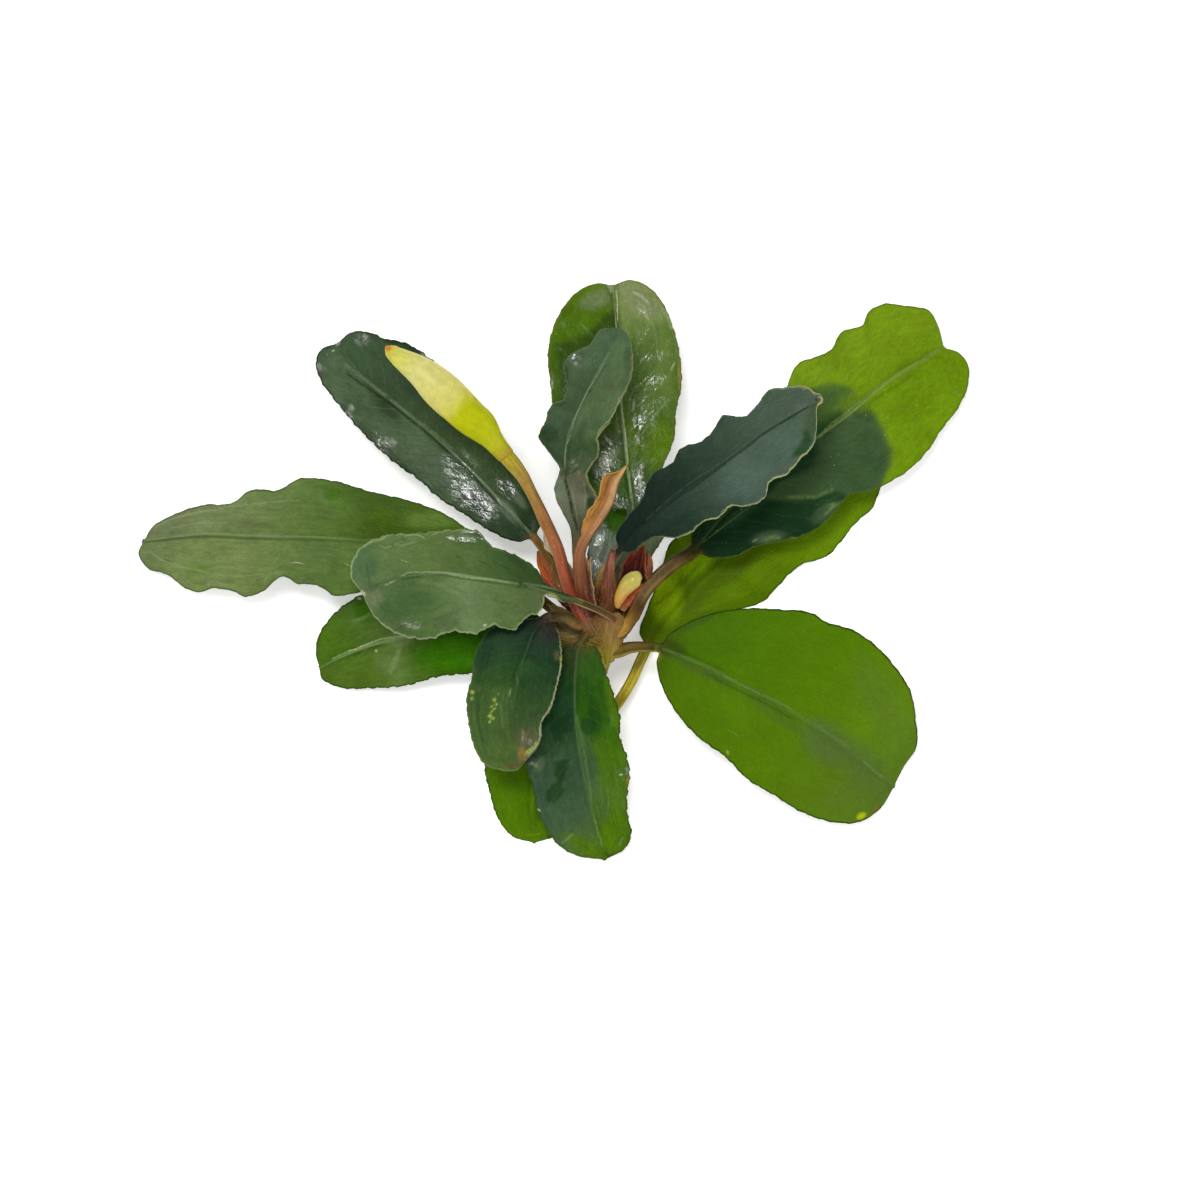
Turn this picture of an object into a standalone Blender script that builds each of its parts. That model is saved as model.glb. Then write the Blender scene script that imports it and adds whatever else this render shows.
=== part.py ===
"""Round wavy bucephalandra: a whole loose plant lying on its older leaves, as cut from its mat.

The origin is on the surface that the plant lies on, under the middle of the plant. +X is to the right
and +Y to the top of the plant as seen from above. Every length in this file is in millimetres until a
mesh or a curve is made.
"""
import math

import bmesh
import bpy
import numpy as np

MM = 0.001
COLLECTION = "round_wavy_bucephalandra"

# Leaf blades
BLADE_THICKNESS = 0.5
MARGIN_THICKNESS = 0.3
PETIOLE_RADIUS = 0.85
RIDGE_DEPTH = 0.8  # how far the midrib stands out below the blade, at its base
BASE_BLEND = 0.14  # the share of the blade over which the round petiole flattens out
TIP_END = 0.985  # the share of the blade where its last section is
ACROSS = (-1.0, -0.5, 0.0, 0.5, 1.0)  # points of one section, from the left margin to the right one
PETIOLE_STEP = 2.6
BLADE_STEP = 2.3
TREND_SPAN = 0.16  # share of a margin over which its waves even out

# The rhizome, from its cut end to its growing tip: x, y, z and radius
RHIZOME = [
    (2.6, -27.4, 3.1, 2.5),
    (3.4, -24.6, 4.0, 2.7),
    (4.3, -21.5, 5.2, 2.55),
    (5.0, -19.0, 6.3, 2.75),
    (5.7, -16.7, 7.4, 2.6),
    (6.4, -14.3, 8.5, 2.8),
    (7.0, -12.0, 9.6, 2.65),
    (7.4, -9.6, 10.9, 2.8),
    (7.3, -7.8, 12.2, 2.6),
    (6.9, -6.7, 13.4, 2.0),
    (6.6, -6.2, 14.2, 1.3),
]

# The flower: stalk and closed spathe, from below
FLOWER_STALK = [
    (4.1, -5.9, 14.9, 1.15),
    (2.7, -3.2, 15.9, 1.15),
    (1.6, 1.2, 17.2, 1.1),
    (0.0, 5.5, 18.0, 1.0),
    (-2.0, 9.9, 18.8, 0.95),
    (-5.2, 14.9, 19.4, 0.9),
    (-8.0, 18.7, 19.8, 1.0),
]
FLOWER_BUD = [
    (-8.3, 19.0, 19.8, 1.1),
    (-9.4, 20.4, 19.9, 1.9),
    (-11.4, 22.6, 20.1, 2.7),
    (-13.8, 24.9, 20.2, 3.2),
    (-17.0, 27.9, 20.4, 3.3),
    (-20.0, 30.5, 20.4, 2.8),
    (-22.6, 32.5, 20.3, 2.0),
    (-24.8, 34.1, 20.0, 1.1),
    (-26.2, 35.1, 19.8, 0.4),
]
YOUNG_BUD = [
    (10.5, -6.0, 15.7, 0.5),
    (11.0, -4.8, 16.0, 0.85),
    (11.9, -3.0, 16.3, 0.95),
    (12.9, -1.5, 16.5, 0.9),
    (13.7, -0.7, 16.6, 0.5),
]

# Leaves. petiole and midrib are x, y, z, left and right are the margins' x, y, all from the rhizome
# outwards. rise is how far the left and the right margin stand above the midrib where the blade is
# widest, and wave is how much a margin lifts for each millimetre that it pulls in.
LEAVES = {
    "leaf_far_left": {
        "petiole": [(3.8, -8.6, 10.0), (1.4, -7.3, 10.8), (-5.3, -1.9, 11.0), (-10.8, 1.9, 10.4)],
        "midrib": [(-10.8, 1.9, 10.4), (-19.6, 3.6, 10.0), (-35.5, 5.1, 8.2), (-46.7, 5.4, 6.0),
                   (-56.4, 5.7, 3.0), (-65.8, 4.6, 0.1)],
        "left": [(-10.9, 1.9), (-14.9, 0.0), (-20.4, -2.4), (-30.8, -3.5), (-34.8, -4.0), (-37.5, -2.4),
                 (-40.7, -2.1), (-42.9, -1.0), (-46.4, -3.4), (-48.8, -4.2), (-51.5, -3.2), (-54.4, -2.9),
                 (-56.6, -3.5), (-59.1, -2.6), (-61.4, -0.8), (-65.0, 0.5), (-66.3, 2.8), (-65.5, 4.6)],
        "right": [(-10.9, 1.9), (-12.0, 4.4), (-16.4, 8.3), (-22.5, 10.8), (-29.2, 12.4), (-35.6, 14.2),
                  (-40.8, 14.3), (-43.5, 12.7), (-48.3, 12.6), (-51.2, 10.6), (-55.8, 10.3),
                  (-61.0, 8.6), (-64.2, 6.7), (-65.5, 4.6)],
        "rise": (0.5, 1.2),
        "wave": 1.0,
        "colour": "grey_green",
    },
    "leaf_near_left": {
        "petiole": [(8.9, -8.6, 15.8), (7.3, -7.2, 17.4), (4.3, -5.4, 18.4)],
        "midrib": [(4.3, -5.4, 18.4), (-3.6, -2.7, 20.0), (-11.5, -1.3, 20.5), (-19.4, -0.4, 19.4),
                   (-25.0, -1.3, 17.4), (-30.4, -3.5, 14.5)],
        "left": [(4.3, -5.4), (2.1, -6.7), (0.5, -4.6), (-0.8, -4.2), (-2.0, -6.5), (-4.3, -7.6),
                 (-6.0, -9.4), (-9.6, -8.8), (-12.0, -10.0), (-16.0, -9.7), (-19.1, -10.8),
                 (-25.4, -9.7), (-28.1, -7.5), (-30.3, -3.5)],
        "right": [(4.3, -5.4), (0.3, -2.9), (-3.3, 0.7), (-6.5, 2.5), (-9.9, 3.9), (-11.5, 5.8),
                  (-17.1, 6.1), (-21.8, 5.6), (-25.3, 5.5), (-30.0, 3.7), (-31.8, 1.0), (-31.9, -1.2),
                  (-30.3, -3.5)],
        "rise": (0.6, 1.0),
        "wave": 0.9,
        "colour": "grey_green",
    },
    "leaf_lower_left": {
        "petiole": [(2.6, -13.8, 8.2), (1.3, -12.0, 8.6), (-1.3, -8.8, 8.4)],
        "midrib": [(-1.3, -8.8, 8.4), (-11.7, -9.3, 6.8), (-22.9, -10.7, 4.2), (-28.0, -11.7, 2.8),
                   (-33.3, -13.6, 1.1), (-37.5, -15.7, 0.1)],
        "left": [(-1.3, -8.8), (-2.9, -12.0), (-7.7, -14.7), (-12.8, -16.4), (-15.2, -16.6),
                 (-17.6, -16.8), (-23.7, -18.4), (-28.9, -18.8), (-34.8, -18.5), (-37.1, -17.2),
                 (-37.4, -15.6)],
        "right": [(-1.3, -8.8), (-3.7, -5.6), (-10.1, -2.9), (-18.1, -1.6), (-25.3, -2.1), (-31.2, -4.3),
                  (-35.6, -7.7), (-37.7, -11.2), (-37.9, -13.7), (-37.4, -15.6)],
        "rise": (-0.4, 0.8),
        "wave": 0.8,
        "colour": "bright_green",
    },
    "leaf_front_left": {
        "petiole": [(4.3, -8.8, 13.4), (1.9, -7.7, 15.2), (-0.7, -7.6, 16.4)],
        "midrib": [(-0.7, -7.6, 16.4), (-2.7, -9.4, 17.2), (-4.2, -12.8, 17.5), (-5.7, -18.2, 16.8),
                   (-6.5, -23.8, 14.8), (-4.6, -30.5, 10.4)],
        "left": [(-0.7, -7.6), (0.3, -8.6), (1.1, -11.1), (1.3, -15.1), (0.5, -18.7), (-0.5, -22.2),
                 (-1.9, -24.3), (-1.9, -26.2), (-2.4, -27.8), (-4.6, -30.5)],
        "right": [(-0.7, -7.6), (-4.1, -7.8), (-10.0, -9.6), (-12.5, -14.3), (-12.7, -16.7),
                  (-13.6, -20.2), (-13.2, -24.9), (-12.4, -28.2), (-10.8, -30.8), (-8.4, -31.7),
                  (-5.7, -31.7), (-4.6, -30.5)],
        "rise": (0.3, -0.6),
        "wave": 0.9,
        "colour": "dark_green",
    },
    "leaf_front": {
        "petiole": [(5.9, -10.5, 14.4), (4.7, -11.7, 14.9), (3.9, -13.4, 14.9)],
        "midrib": [(3.9, -13.4, 14.9), (3.5, -17.5, 14.0), (3.5, -22.6, 12.0), (4.6, -31.1, 7.6),
                   (5.7, -36.7, 4.6), (8.2, -46.5, 0.1)],
        "left": [(3.9, -13.4), (6.3, -13.2), (8.2, -16.2), (9.8, -19.9), (10.6, -23.9), (10.5, -26.3),
                 (11.7, -29.9), (12.1, -32.1), (11.7, -36.1), (11.9, -39.8), (12.4, -41.7),
                 (11.6, -44.2), (8.2, -46.3)],
        "right": [(3.9, -13.4), (1.1, -14.5), (-0.8, -19.1), (-2.7, -24.7), (-4.2, -31.0), (-3.1, -35.0),
                  (-2.6, -37.9), (-1.0, -41.4), (1.1, -44.1), (3.5, -45.5), (8.2, -46.3)],
        "rise": (0.4, -0.5),
        "wave": 0.8,
        "colour": "dark_green",
    },
    "leaf_under_front": {
        "petiole": [(0.3, -22.4, 3.9), (-0.9, -23.1, 3.5), (-1.8, -24.8, 3.0)],
        "midrib": [(-1.8, -24.8, 3.0), (-2.8, -30.4, 1.8), (-3.7, -37.6, 0.9), (-3.1, -43.7, 0.1)],
        "left": [(-1.8, -24.8), (-0.4, -27.6), (3.0, -30.0), (4.6, -33.6), (3.4, -38.0), (1.4, -41.9),
                 (-3.1, -43.6)],
        "right": [(-1.8, -24.8), (-5.3, -25.0), (-9.0, -26.9), (-10.9, -31.2), (-10.1, -35.6),
                  (-8.9, -39.5), (-6.6, -42.5), (-3.1, -43.6)],
        "rise": (-0.5, -0.5),
        "wave": 0.6,
        "colour": "bright_green",
    },
    "leaf_round_right": {
        "petiole": [(10.2, -13.7, 10.2), (11.9, -12.5, 10.9), (13.8, -11.9, 10.9), (16.2, -12.1, 10.3)],
        "midrib": [(16.2, -12.1, 10.3), (23.3, -14.8, 9.4), (33.7, -20.2, 7.4), (43.3, -26.0, 4.6),
                   (54.6, -34.7, 0.1)],
        "left": [(16.2, -12.1), (19.4, -9.6), (26.6, -6.7), (31.3, -6.2), (36.1, -6.4), (41.2, -7.0),
                 (43.3, -8.3), (47.6, -9.6), (51.2, -12.0), (54.9, -16.1), (56.8, -19.1), (57.8, -23.9),
                 (57.9, -28.4), (56.0, -31.4), (54.4, -34.6)],
        "right": [(16.2, -12.1), (17.0, -17.5), (20.2, -23.4), (23.4, -26.8), (27.3, -29.6),
                  (31.0, -33.3), (35.3, -35.9), (39.3, -38.4), (45.3, -40.3), (48.5, -40.3),
                  (52.4, -37.9), (54.4, -34.6)],
        "rise": (0.4, -0.4),
        "wave": 0.6,
        "colour": "bright_green",
    },
    "leaf_back_right": {
        "petiole": [(7.0, -24.6, 3.4), (8.4, -23.4, 3.4), (10.3, -21.2, 3.3), (12.2, -18.2, 2.9),
                    (14.6, -13.1, 1.8)],
        "midrib": [(14.6, -13.1, 1.8), (21.8, -3.5, 0.8), (32.2, 7.2, 0.7), (42.6, 17.9, 0.7),
                   (51.4, 26.4, 0.7)],
        "left": [(14.6, -13.1), (13.8, -10.6), (15.1, -6.1), (16.2, -3.2), (17.4, 0.3), (18.6, 4.0),
                 (21.2, 6.7), (25.0, 12.0), (30.6, 19.2), (37.8, 26.7), (44.2, 29.9), (48.5, 28.9),
                 (51.4, 26.4)],
        "right": [(14.6, -13.1), (21.8, -10.9), (29.8, -6.2), (33.3, -5.1), (35.7, -2.7), (39.4, 0.8),
                  (43.9, 2.4), (46.1, 4.8), (48.4, 7.7), (50.9, 9.9), (52.2, 13.1), (54.0, 18.4),
                  (53.2, 22.9), (51.4, 26.4)],
        "rise": (-0.5, -0.5),
        "wave": 0.6,
        "colour": "bright_green",
    },
    "leaf_long_right": {
        "petiole": [(11.2, -9.8, 11.8), (12.3, -8.5, 11.5), (14.0, -6.4, 10.6), (15.4, -3.2, 9.4),
                    (17.8, 0.3, 8.6), (21.8, 2.8, 8.0)],
        "midrib": [(21.8, 2.8, 8.0), (26.5, 7.9, 7.2), (32.9, 14.0, 6.6), (47.3, 25.0, 4.6),
                   (55.3, 31.4, 2.4), (62.6, 35.6, 0.1)],
        "left": [(21.8, 2.9), (22.1, 6.4), (25.0, 11.9), (30.6, 19.4), (34.5, 25.2), (37.3, 29.3),
                 (38.5, 32.2), (44.4, 35.2), (46.0, 37.9), (49.2, 38.9), (50.5, 41.3), (52.9, 42.4),
                 (56.1, 42.1), (60.1, 41.3), (61.6, 38.6), (62.4, 35.5)],
        "right": [(21.8, 2.9), (24.2, 2.1), (29.0, 2.2), (32.2, 3.7), (36.1, 4.6), (40.1, 5.6),
                  (42.2, 6.8), (45.4, 9.9), (47.0, 11.9), (50.5, 12.6), (52.9, 13.7), (56.5, 15.9),
                  (59.7, 19.1), (62.0, 22.6), (64.5, 25.8), (66.3, 30.3), (66.1, 33.1), (64.8, 34.7),
                  (62.4, 35.5)],
        "rise": (0.8, 0.0),
        "wave": 0.8,
        "colour": "bright_green",
    },
    "leaf_dark_right": {
        "petiole": [(8.3, -4.9, 14.6), (8.7, -1.6, 17.0), (10.3, 2.8, 19.4)],
        "midrib": [(10.3, 2.8, 19.4), (17.7, 10.2, 21.8), (25.6, 15.7, 22.0), (33.5, 21.7, 20.2),
                   (42.1, 27.0, 16.4)],
        "left": [(10.3, 2.8), (9.8, 4.2), (11.9, 8.3), (14.1, 11.0), (15.0, 13.7), (16.1, 15.2),
                 (18.8, 16.7), (20.1, 18.9), (23.7, 20.3), (25.4, 22.0), (26.7, 24.1), (30.3, 24.1),
                 (32.7, 26.5), (34.0, 28.2), (36.6, 28.7), (39.2, 29.0), (42.0, 26.9)],
        "right": [(10.3, 2.8), (13.3, 3.7), (16.1, 5.1), (19.8, 5.1), (22.1, 6.1), (23.5, 7.5),
                  (26.2, 8.3), (28.0, 10.0), (30.3, 10.0), (33.3, 11.3), (34.3, 14.0), (36.6, 14.9),
                  (39.3, 17.8), (40.8, 19.2), (41.7, 23.6), (42.0, 26.9)],
        "rise": (1.2, 0.3),
        "wave": 1.0,
        "colour": "blue_green",
    },
    "leaf_top_round": {
        "petiole": [(9.1, -5.0, 11.8), (9.3, -1.0, 12.4), (10.9, 3.9, 12.4), (12.4, 7.7, 11.8)],
        "midrib": [(12.4, 7.7, 11.8), (11.7, 16.7, 10.4), (10.9, 26.2, 7.8), (10.2, 36.7, 3.8),
                   (9.4, 45.6, 0.1)],
        "left": [(12.4, 7.8), (9.7, 10.2), (7.4, 11.9), (5.5, 14.0), (3.1, 17.8), (1.4, 21.5),
                 (0.0, 26.3), (-0.4, 29.9), (-0.8, 33.9), (-0.2, 37.9), (1.4, 41.5), (4.3, 44.7),
                 (7.4, 45.8), (9.4, 45.4)],
        "right": [(12.4, 7.8), (15.4, 12.4), (17.6, 17.0), (19.1, 20.7), (19.5, 25.5), (20.3, 29.0),
                  (20.3, 32.3), (20.0, 34.7), (18.9, 39.0), (17.3, 42.7), (15.1, 45.2), (12.2, 46.3),
                  (9.4, 45.4)],
        "rise": (0.6, 0.4),
        "wave": 0.6,
        "colour": "light_green",
    },
    "leaf_top_wavy": {
        "petiole": [(5.9, -4.6, 13.7), (4.9, -0.8, 15.0), (4.0, 4.7, 16.0)],
        "midrib": [(4.0, 4.7, 16.0), (2.5, 12.6, 17.0), (1.9, 16.5, 17.4), (2.2, 20.5, 17.8),
                   (4.6, 26.5, 17.4), (7.4, 31.9, 16.2), (10.6, 38.5, 13.8)],
        "left": [(4.0, 4.7), (1.6, 8.7), (0.3, 12.9), (1.1, 15.8), (-0.5, 18.5), (-2.2, 21.2),
                 (-1.3, 23.0), (0.0, 26.1), (1.6, 26.8), (2.2, 28.4), (1.9, 32.9), (3.5, 34.4),
                 (5.9, 35.6), (7.4, 37.8), (10.6, 38.4)],
        "right": [(4.0, 4.7), (5.2, 8.7), (6.5, 10.7), (5.5, 14.8), (7.3, 18.9), (7.1, 20.8),
                  (8.7, 23.0), (10.3, 26.1), (11.4, 28.1), (12.5, 31.3), (12.5, 34.4), (11.9, 37.0),
                  (10.6, 38.4)],
        "rise": (1.2, 0.9),
        "wave": 1.3,
        "colour": "grey_green",
    },
    "leaf_upper_left": {
        "petiole": [(4.6, -6.0, 11.2), (1.1, -1.3, 11.4), (-2.6, 4.6, 10.6)],
        "midrib": [(-2.6, 4.6, 10.6), (-8.5, 11.1, 9.6), (-14.8, 17.5, 8.4), (-24.4, 25.8, 5.6),
                   (-29.2, 29.5, 3.4), (-34.7, 36.3, 0.1)],
        "left": [(-2.6, 4.6), (-6.1, 4.6), (-10.1, 6.3), (-14.1, 8.9), (-18.5, 11.8), (-21.2, 14.3),
                 (-24.4, 16.5), (-27.6, 19.2), (-32.4, 24.2), (-35.1, 27.5), (-37.3, 30.7),
                 (-37.9, 33.4), (-37.0, 35.3), (-34.6, 36.1)],
        "right": [(-2.6, 4.6), (-2.0, 7.6), (-4.5, 13.0), (-7.7, 18.8), (-11.7, 25.8), (-16.4, 31.0),
                  (-20.0, 33.9), (-21.5, 35.0), (-24.4, 36.4), (-26.8, 36.8), (-29.5, 37.9),
                  (-32.4, 37.9), (-34.6, 36.1)],
        "rise": (0.4, 0.8),
        "wave": 0.9,
        "colour": "dark_green",
    },
    "leaf_hidden_back": {
        "petiole": [(6.6, -5.0, 11.2), (6.9, -3.2, 10.6), (7.8, -1.1, 9.6)],
        "midrib": [(7.8, -1.1, 9.6), (10.3, 3.9, 8.6), (12.1, 10.3, 7.2), (12.2, 19.1, 5.4)],
        "left": [(7.8, -1.1), (5.8, -0.8), (5.5, 2.4), (6.2, 5.5), (7.8, 9.5), (8.4, 13.5), (9.7, 17.2),
                 (12.2, 19.1)],
        "right": [(7.8, -1.1), (11.9, 0.0), (16.2, 2.7), (18.1, 5.5), (18.3, 9.8), (17.0, 14.3),
                  (15.1, 17.5), (12.2, 19.1)],
        "rise": (0.4, -0.4),
        "wave": 0.6,
        "colour": "grey_green",
    },
    "new_leaf": {
        "petiole": [(6.2, -5.2, 15.6), (4.9, -2.2, 17.9), (4.1, 1.5, 19.6)],
        "midrib": [(4.1, 1.5, 19.6), (5.5, 5.0, 21.6), (7.4, 9.1, 24.0), (9.2, 12.5, 26.2),
                   (11.4, 16.2, 28.4)],
        "left": [(4.1, 1.5), (3.5, 3.9), (4.6, 6.7), (5.4, 8.6), (6.7, 10.6), (7.6, 13.0), (8.1, 14.6),
                 (9.2, 15.2), (11.4, 16.3)],
        "right": [(4.1, 1.5), (5.2, 1.0), (6.3, 4.6), (8.5, 9.1), (10.3, 13.0), (11.4, 16.3)],
        "rise": (1.4, 1.4),
        "wave": 0.5,
        "colour": "young_brown",
    },
    "sheath_left": {
        "petiole": [],
        "midrib": [(3.9, -6.6, 9.3), (0.4, -2.1, 9.0), (-2.4, 3.0, 9.0)],
        "left": [(3.1, -7.0), (-0.7, -1.9), (-2.6, 0.9), (-2.4, 3.0)],
        "right": [(4.7, -6.1), (1.6, -2.1), (-0.4, 1.2), (-2.4, 3.0)],
        "rise": (0.4, 0.4),
        "wave": 0.0,
        "colour": "sheath_orange",
    },
    "sheath_pale": {
        "petiole": [],
        "midrib": [(4.2, -5.2, 12.8), (0.9, 1.1, 13.2), (-1.3, 6.6, 13.0)],
        "left": [(3.4, -5.3), (-0.5, 1.1), (-1.9, 4.6), (-1.3, 6.6)],
        "right": [(4.8, -5.0), (2.2, 1.1), (0.3, 4.6), (-1.3, 6.6)],
        "rise": (0.3, 0.3),
        "wave": 0.0,
        "colour": "sheath_pale",
    },
    "sheath_maroon": {
        "petiole": [],
        "midrib": [(10.9, -7.4, 13.6), (12.7, -2.4, 14.0), (14.1, 3.1, 15.4)],
        "left": [(9.7, -6.8), (10.6, -1.6), (11.9, 1.5), (14.1, 3.1)],
        "right": [(12.5, -7.9), (15.0, -2.9), (16.2, 1.2), (14.1, 3.1)],
        "rise": (1.6, 1.6),
        "wave": 0.0,
        "colour": "sheath_maroon",
    },
}

# Surface colours, linear red, green and blue, with their roughness
COLOURS = {
    "grey_green": ((0.110, 0.180, 0.070), 0.38),
    "dark_green": ((0.050, 0.115, 0.045), 0.32),
    "blue_green": ((0.028, 0.075, 0.045), 0.34),
    "light_green": ((0.150, 0.260, 0.050), 0.30),
    "bright_green": ((0.150, 0.270, 0.015), 0.36),
    "young_brown": ((0.420, 0.190, 0.050), 0.42),
    "sheath_orange": ((0.480, 0.110, 0.040), 0.45),
    "sheath_pale": ((0.700, 0.620, 0.500), 0.50),
    "sheath_maroon": ((0.110, 0.022, 0.018), 0.40),
    "rhizome": ((0.300, 0.210, 0.035), 0.55),
    "flower_stalk": ((0.320, 0.150, 0.040), 0.40),
    "flower_bud": ((0.780, 0.740, 0.300), 0.45),
    "young_bud": ((0.600, 0.480, 0.120), 0.40),
}


def clear_scene():
    for item in list(bpy.data.objects):
        bpy.data.objects.remove(item, do_unlink=True)


def make_material(name):
    colour, roughness = COLOURS[name]
    material = bpy.data.materials.new(name)
    material.use_nodes = True
    shader = material.node_tree.nodes["Principled BSDF"]
    shader.inputs["Base Color"].default_value = (*colour, 1.0)
    shader.inputs["Roughness"].default_value = roughness
    shader.inputs["Metallic"].default_value = 0.0
    material.diffuse_color = (*colour, 1.0)
    return material


def smooth_curve(points, shares):
    """The points at these shares of the way along a smooth curve through the points given."""
    points = np.array(points, float)
    steps = np.linalg.norm(np.diff(points, axis=0), axis=1)
    knots = np.concatenate(([0.0], np.cumsum(steps))) / steps.sum()
    slopes = np.gradient(points, knots, axis=0)
    shares = np.clip(shares, 0.0, 1.0)
    start = np.clip(np.searchsorted(knots, shares, side="right") - 1, 0, len(knots) - 2)
    span = (knots[start + 1] - knots[start])[:, None]
    t = (shares - knots[start])[:, None] / span
    from_start = (1 + 2 * t) * (1 - t) ** 2 * points[start] + t * (1 - t) ** 2 * span * slopes[start]
    from_end = t * t * (3 - 2 * t) * points[start + 1] - t * t * (1 - t) * span * slopes[start + 1]
    return from_start + from_end


def path_length(points):
    if len(points) < 2:
        return 0.0
    return float(np.linalg.norm(np.diff(np.array(points, float), axis=0), axis=1).sum())


def side_and_up(path):
    """For each point of a path, the unit vectors to its right and away from the surface below."""
    along = np.gradient(path, axis=0)
    along /= np.linalg.norm(along, axis=1)[:, None]
    side = np.cross(along, (0.0, 0.0, 1.0))
    side /= np.linalg.norm(side, axis=1)[:, None]
    return side, np.cross(side, along)


def margin_lift(margin, midrib, shares, wave):
    """How far a margin lifts where it pulls in towards the midrib, and dips where it bulges."""
    fine = np.linspace(0.0, 1.0, 101)
    reach = smooth_curve(margin, fine) - smooth_curve(midrib, fine)[:, :2]
    reach = np.linalg.norm(reach, axis=1)
    window = np.hanning(int(TREND_SPAN * len(fine)) * 2 + 1)
    padded = np.pad(reach, len(window) // 2, mode="reflect", reflect_type="odd")
    trend = np.convolve(padded, window / window.sum(), mode="valid")
    lift = wave * (trend - reach) * np.sin(np.pi * fine) ** 0.5
    return np.interp(shares, fine, lift), np.interp(shares, fine, reach / reach.max())


def round_section(centre, side, up, radius):
    """A ring round the petiole, in the order of a blade's section."""
    count = len(ACROSS)
    turns = [math.pi * (1.0 - (i + 0.5) / count) for i in range(count)]
    turns += [-turn for turn in reversed(turns)]
    return [centre + radius * (math.cos(turn) * side + math.sin(turn) * up) for turn in turns]


def blade_sections(leaf, shares, middle, side, up):
    """Closed sections of a blade: its upper side from left to right, then its lower side back."""
    edges = []
    for margin, rise in zip((leaf["left"], leaf["right"]), leaf["rise"]):
        lift, fullness = margin_lift(margin, leaf["midrib"], shares, leaf["wave"])
        height = middle[:, 2] + rise * fullness + lift
        edges.append(np.column_stack((smooth_curve(margin, shares), height)))
    sections = []
    for i, share in enumerate(shares):
        upper, lower = [], []
        for across in ACROSS:
            edge = edges[0][i] if across < 0 else edges[1][i]
            point = middle[i] + (edge - middle[i]) * abs(across)
            point[2] = max(point[2], BLADE_THICKNESS / 2)
            half = (BLADE_THICKNESS + (MARGIN_THICKNESS - BLADE_THICKNESS) * abs(across)) / 2
            ridge = RIDGE_DEPTH * (1.0 - share) * (across == 0.0) * bool(leaf["petiole"])
            upper.append(point + up[i] * half)
            lower.append(point - up[i] * (half + ridge))
        section = upper + lower[::-1]
        if leaf["petiole"] and share < BASE_BLEND:
            flat = share / BASE_BLEND
            flat = flat * flat * (3.0 - 2.0 * flat)
            ring = round_section(middle[i], side[i], up[i], PETIOLE_RADIUS)
            section = [a * (1.0 - flat) + b * flat for a, b in zip(ring, section)]
        sections.append(section)
    return sections


def leaf_sections(leaf):
    """Every section of a leaf, from the foot of its petiole to the tip of its blade."""
    spine = leaf["petiole"][:-1] + leaf["midrib"]
    blade_start = path_length(spine[:len(leaf["petiole"])]) / path_length(spine)
    count = max(8, round(path_length(leaf["midrib"]) / BLADE_STEP))
    even = np.linspace(0.0, 1.0, count + 1)
    shares = TIP_END * (0.75 * even + 0.25 * (0.5 - 0.5 * np.cos(np.pi * even)))
    count = max(2, round(path_length(leaf["petiole"]) / PETIOLE_STEP)) if leaf["petiole"] else 0
    before = np.linspace(0.0, blade_start, count, endpoint=False)
    path = smooth_curve(spine, np.concatenate((before, blade_start + (1.0 - blade_start) * shares)))
    side, up = side_and_up(path)
    rings = [round_section(path[i], side[i], up[i], PETIOLE_RADIUS) for i in range(count)]
    return rings + blade_sections(leaf, shares, path[count:], side[count:], up[count:])


def place(item, parent, collection):
    item.parent = parent
    collection.objects.link(item)


def make_leaf(name, leaf, parent, collection):
    """One closed body, lofted through its sections, with its own origin at the foot of the leaf."""
    sections = leaf_sections(leaf)
    foot = np.mean(sections[0], axis=0)
    mesh = bmesh.new()
    rings = []
    for section in sections:
        ring = []
        for point in section:
            x, y, z = (point[0], point[1], max(point[2], 0.0)) - foot
            ring.append(mesh.verts.new((x * MM, y * MM, z * MM)))
        rings.append(ring)
    for near, far in zip(rings, rings[1:]):
        for i in range(len(near)):
            after = (i + 1) % len(near)
            mesh.faces.new((near[i], near[after], far[after], far[i]))
    mesh.faces.new(rings[0][::-1])
    mesh.faces.new(rings[-1])
    bmesh.ops.recalc_face_normals(mesh, faces=mesh.faces)
    data = bpy.data.meshes.new(name)
    mesh.to_mesh(data)
    mesh.free()
    data.shade_smooth()
    data.materials.append(make_material(leaf["colour"]))
    item = bpy.data.objects.new(name, data)
    item.location = foot * MM
    place(item, parent, collection)


def make_stem(name, points, sides, parent, collection):
    """A round stem through points of x, y, z and radius, as a bevelled curve with filled ends."""
    curve = bpy.data.curves.new(name, "CURVE")
    curve.dimensions = "3D"
    curve.bevel_depth = MM
    curve.bevel_resolution = sides // 2 - 2
    curve.use_fill_caps = True
    spline = curve.splines.new("POLY")
    spline.points.add(len(points) - 1)
    foot = np.array(points[0][:3])
    for target, (x, y, z, radius) in zip(spline.points, points):
        target.co = (*((np.array((x, y, z)) - foot) * MM), 1.0)
        target.radius = radius
    curve.materials.append(make_material(name))
    item = bpy.data.objects.new(name, curve)
    item.location = foot * MM
    place(item, parent, collection)


def main():
    clear_scene()
    collection = bpy.data.collections.new(COLLECTION)
    bpy.context.scene.collection.children.link(collection)
    plant = bpy.data.objects.new("plant", None)
    collection.objects.link(plant)
    make_stem("rhizome", RHIZOME, 12, plant, collection)
    make_stem("flower_stalk", FLOWER_STALK, 8, plant, collection)
    make_stem("flower_bud", FLOWER_BUD, 12, plant, collection)
    make_stem("young_bud", YOUNG_BUD, 8, plant, collection)
    for name, leaf in LEAVES.items():
        make_leaf(name, leaf, plant, collection)


main()
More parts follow.
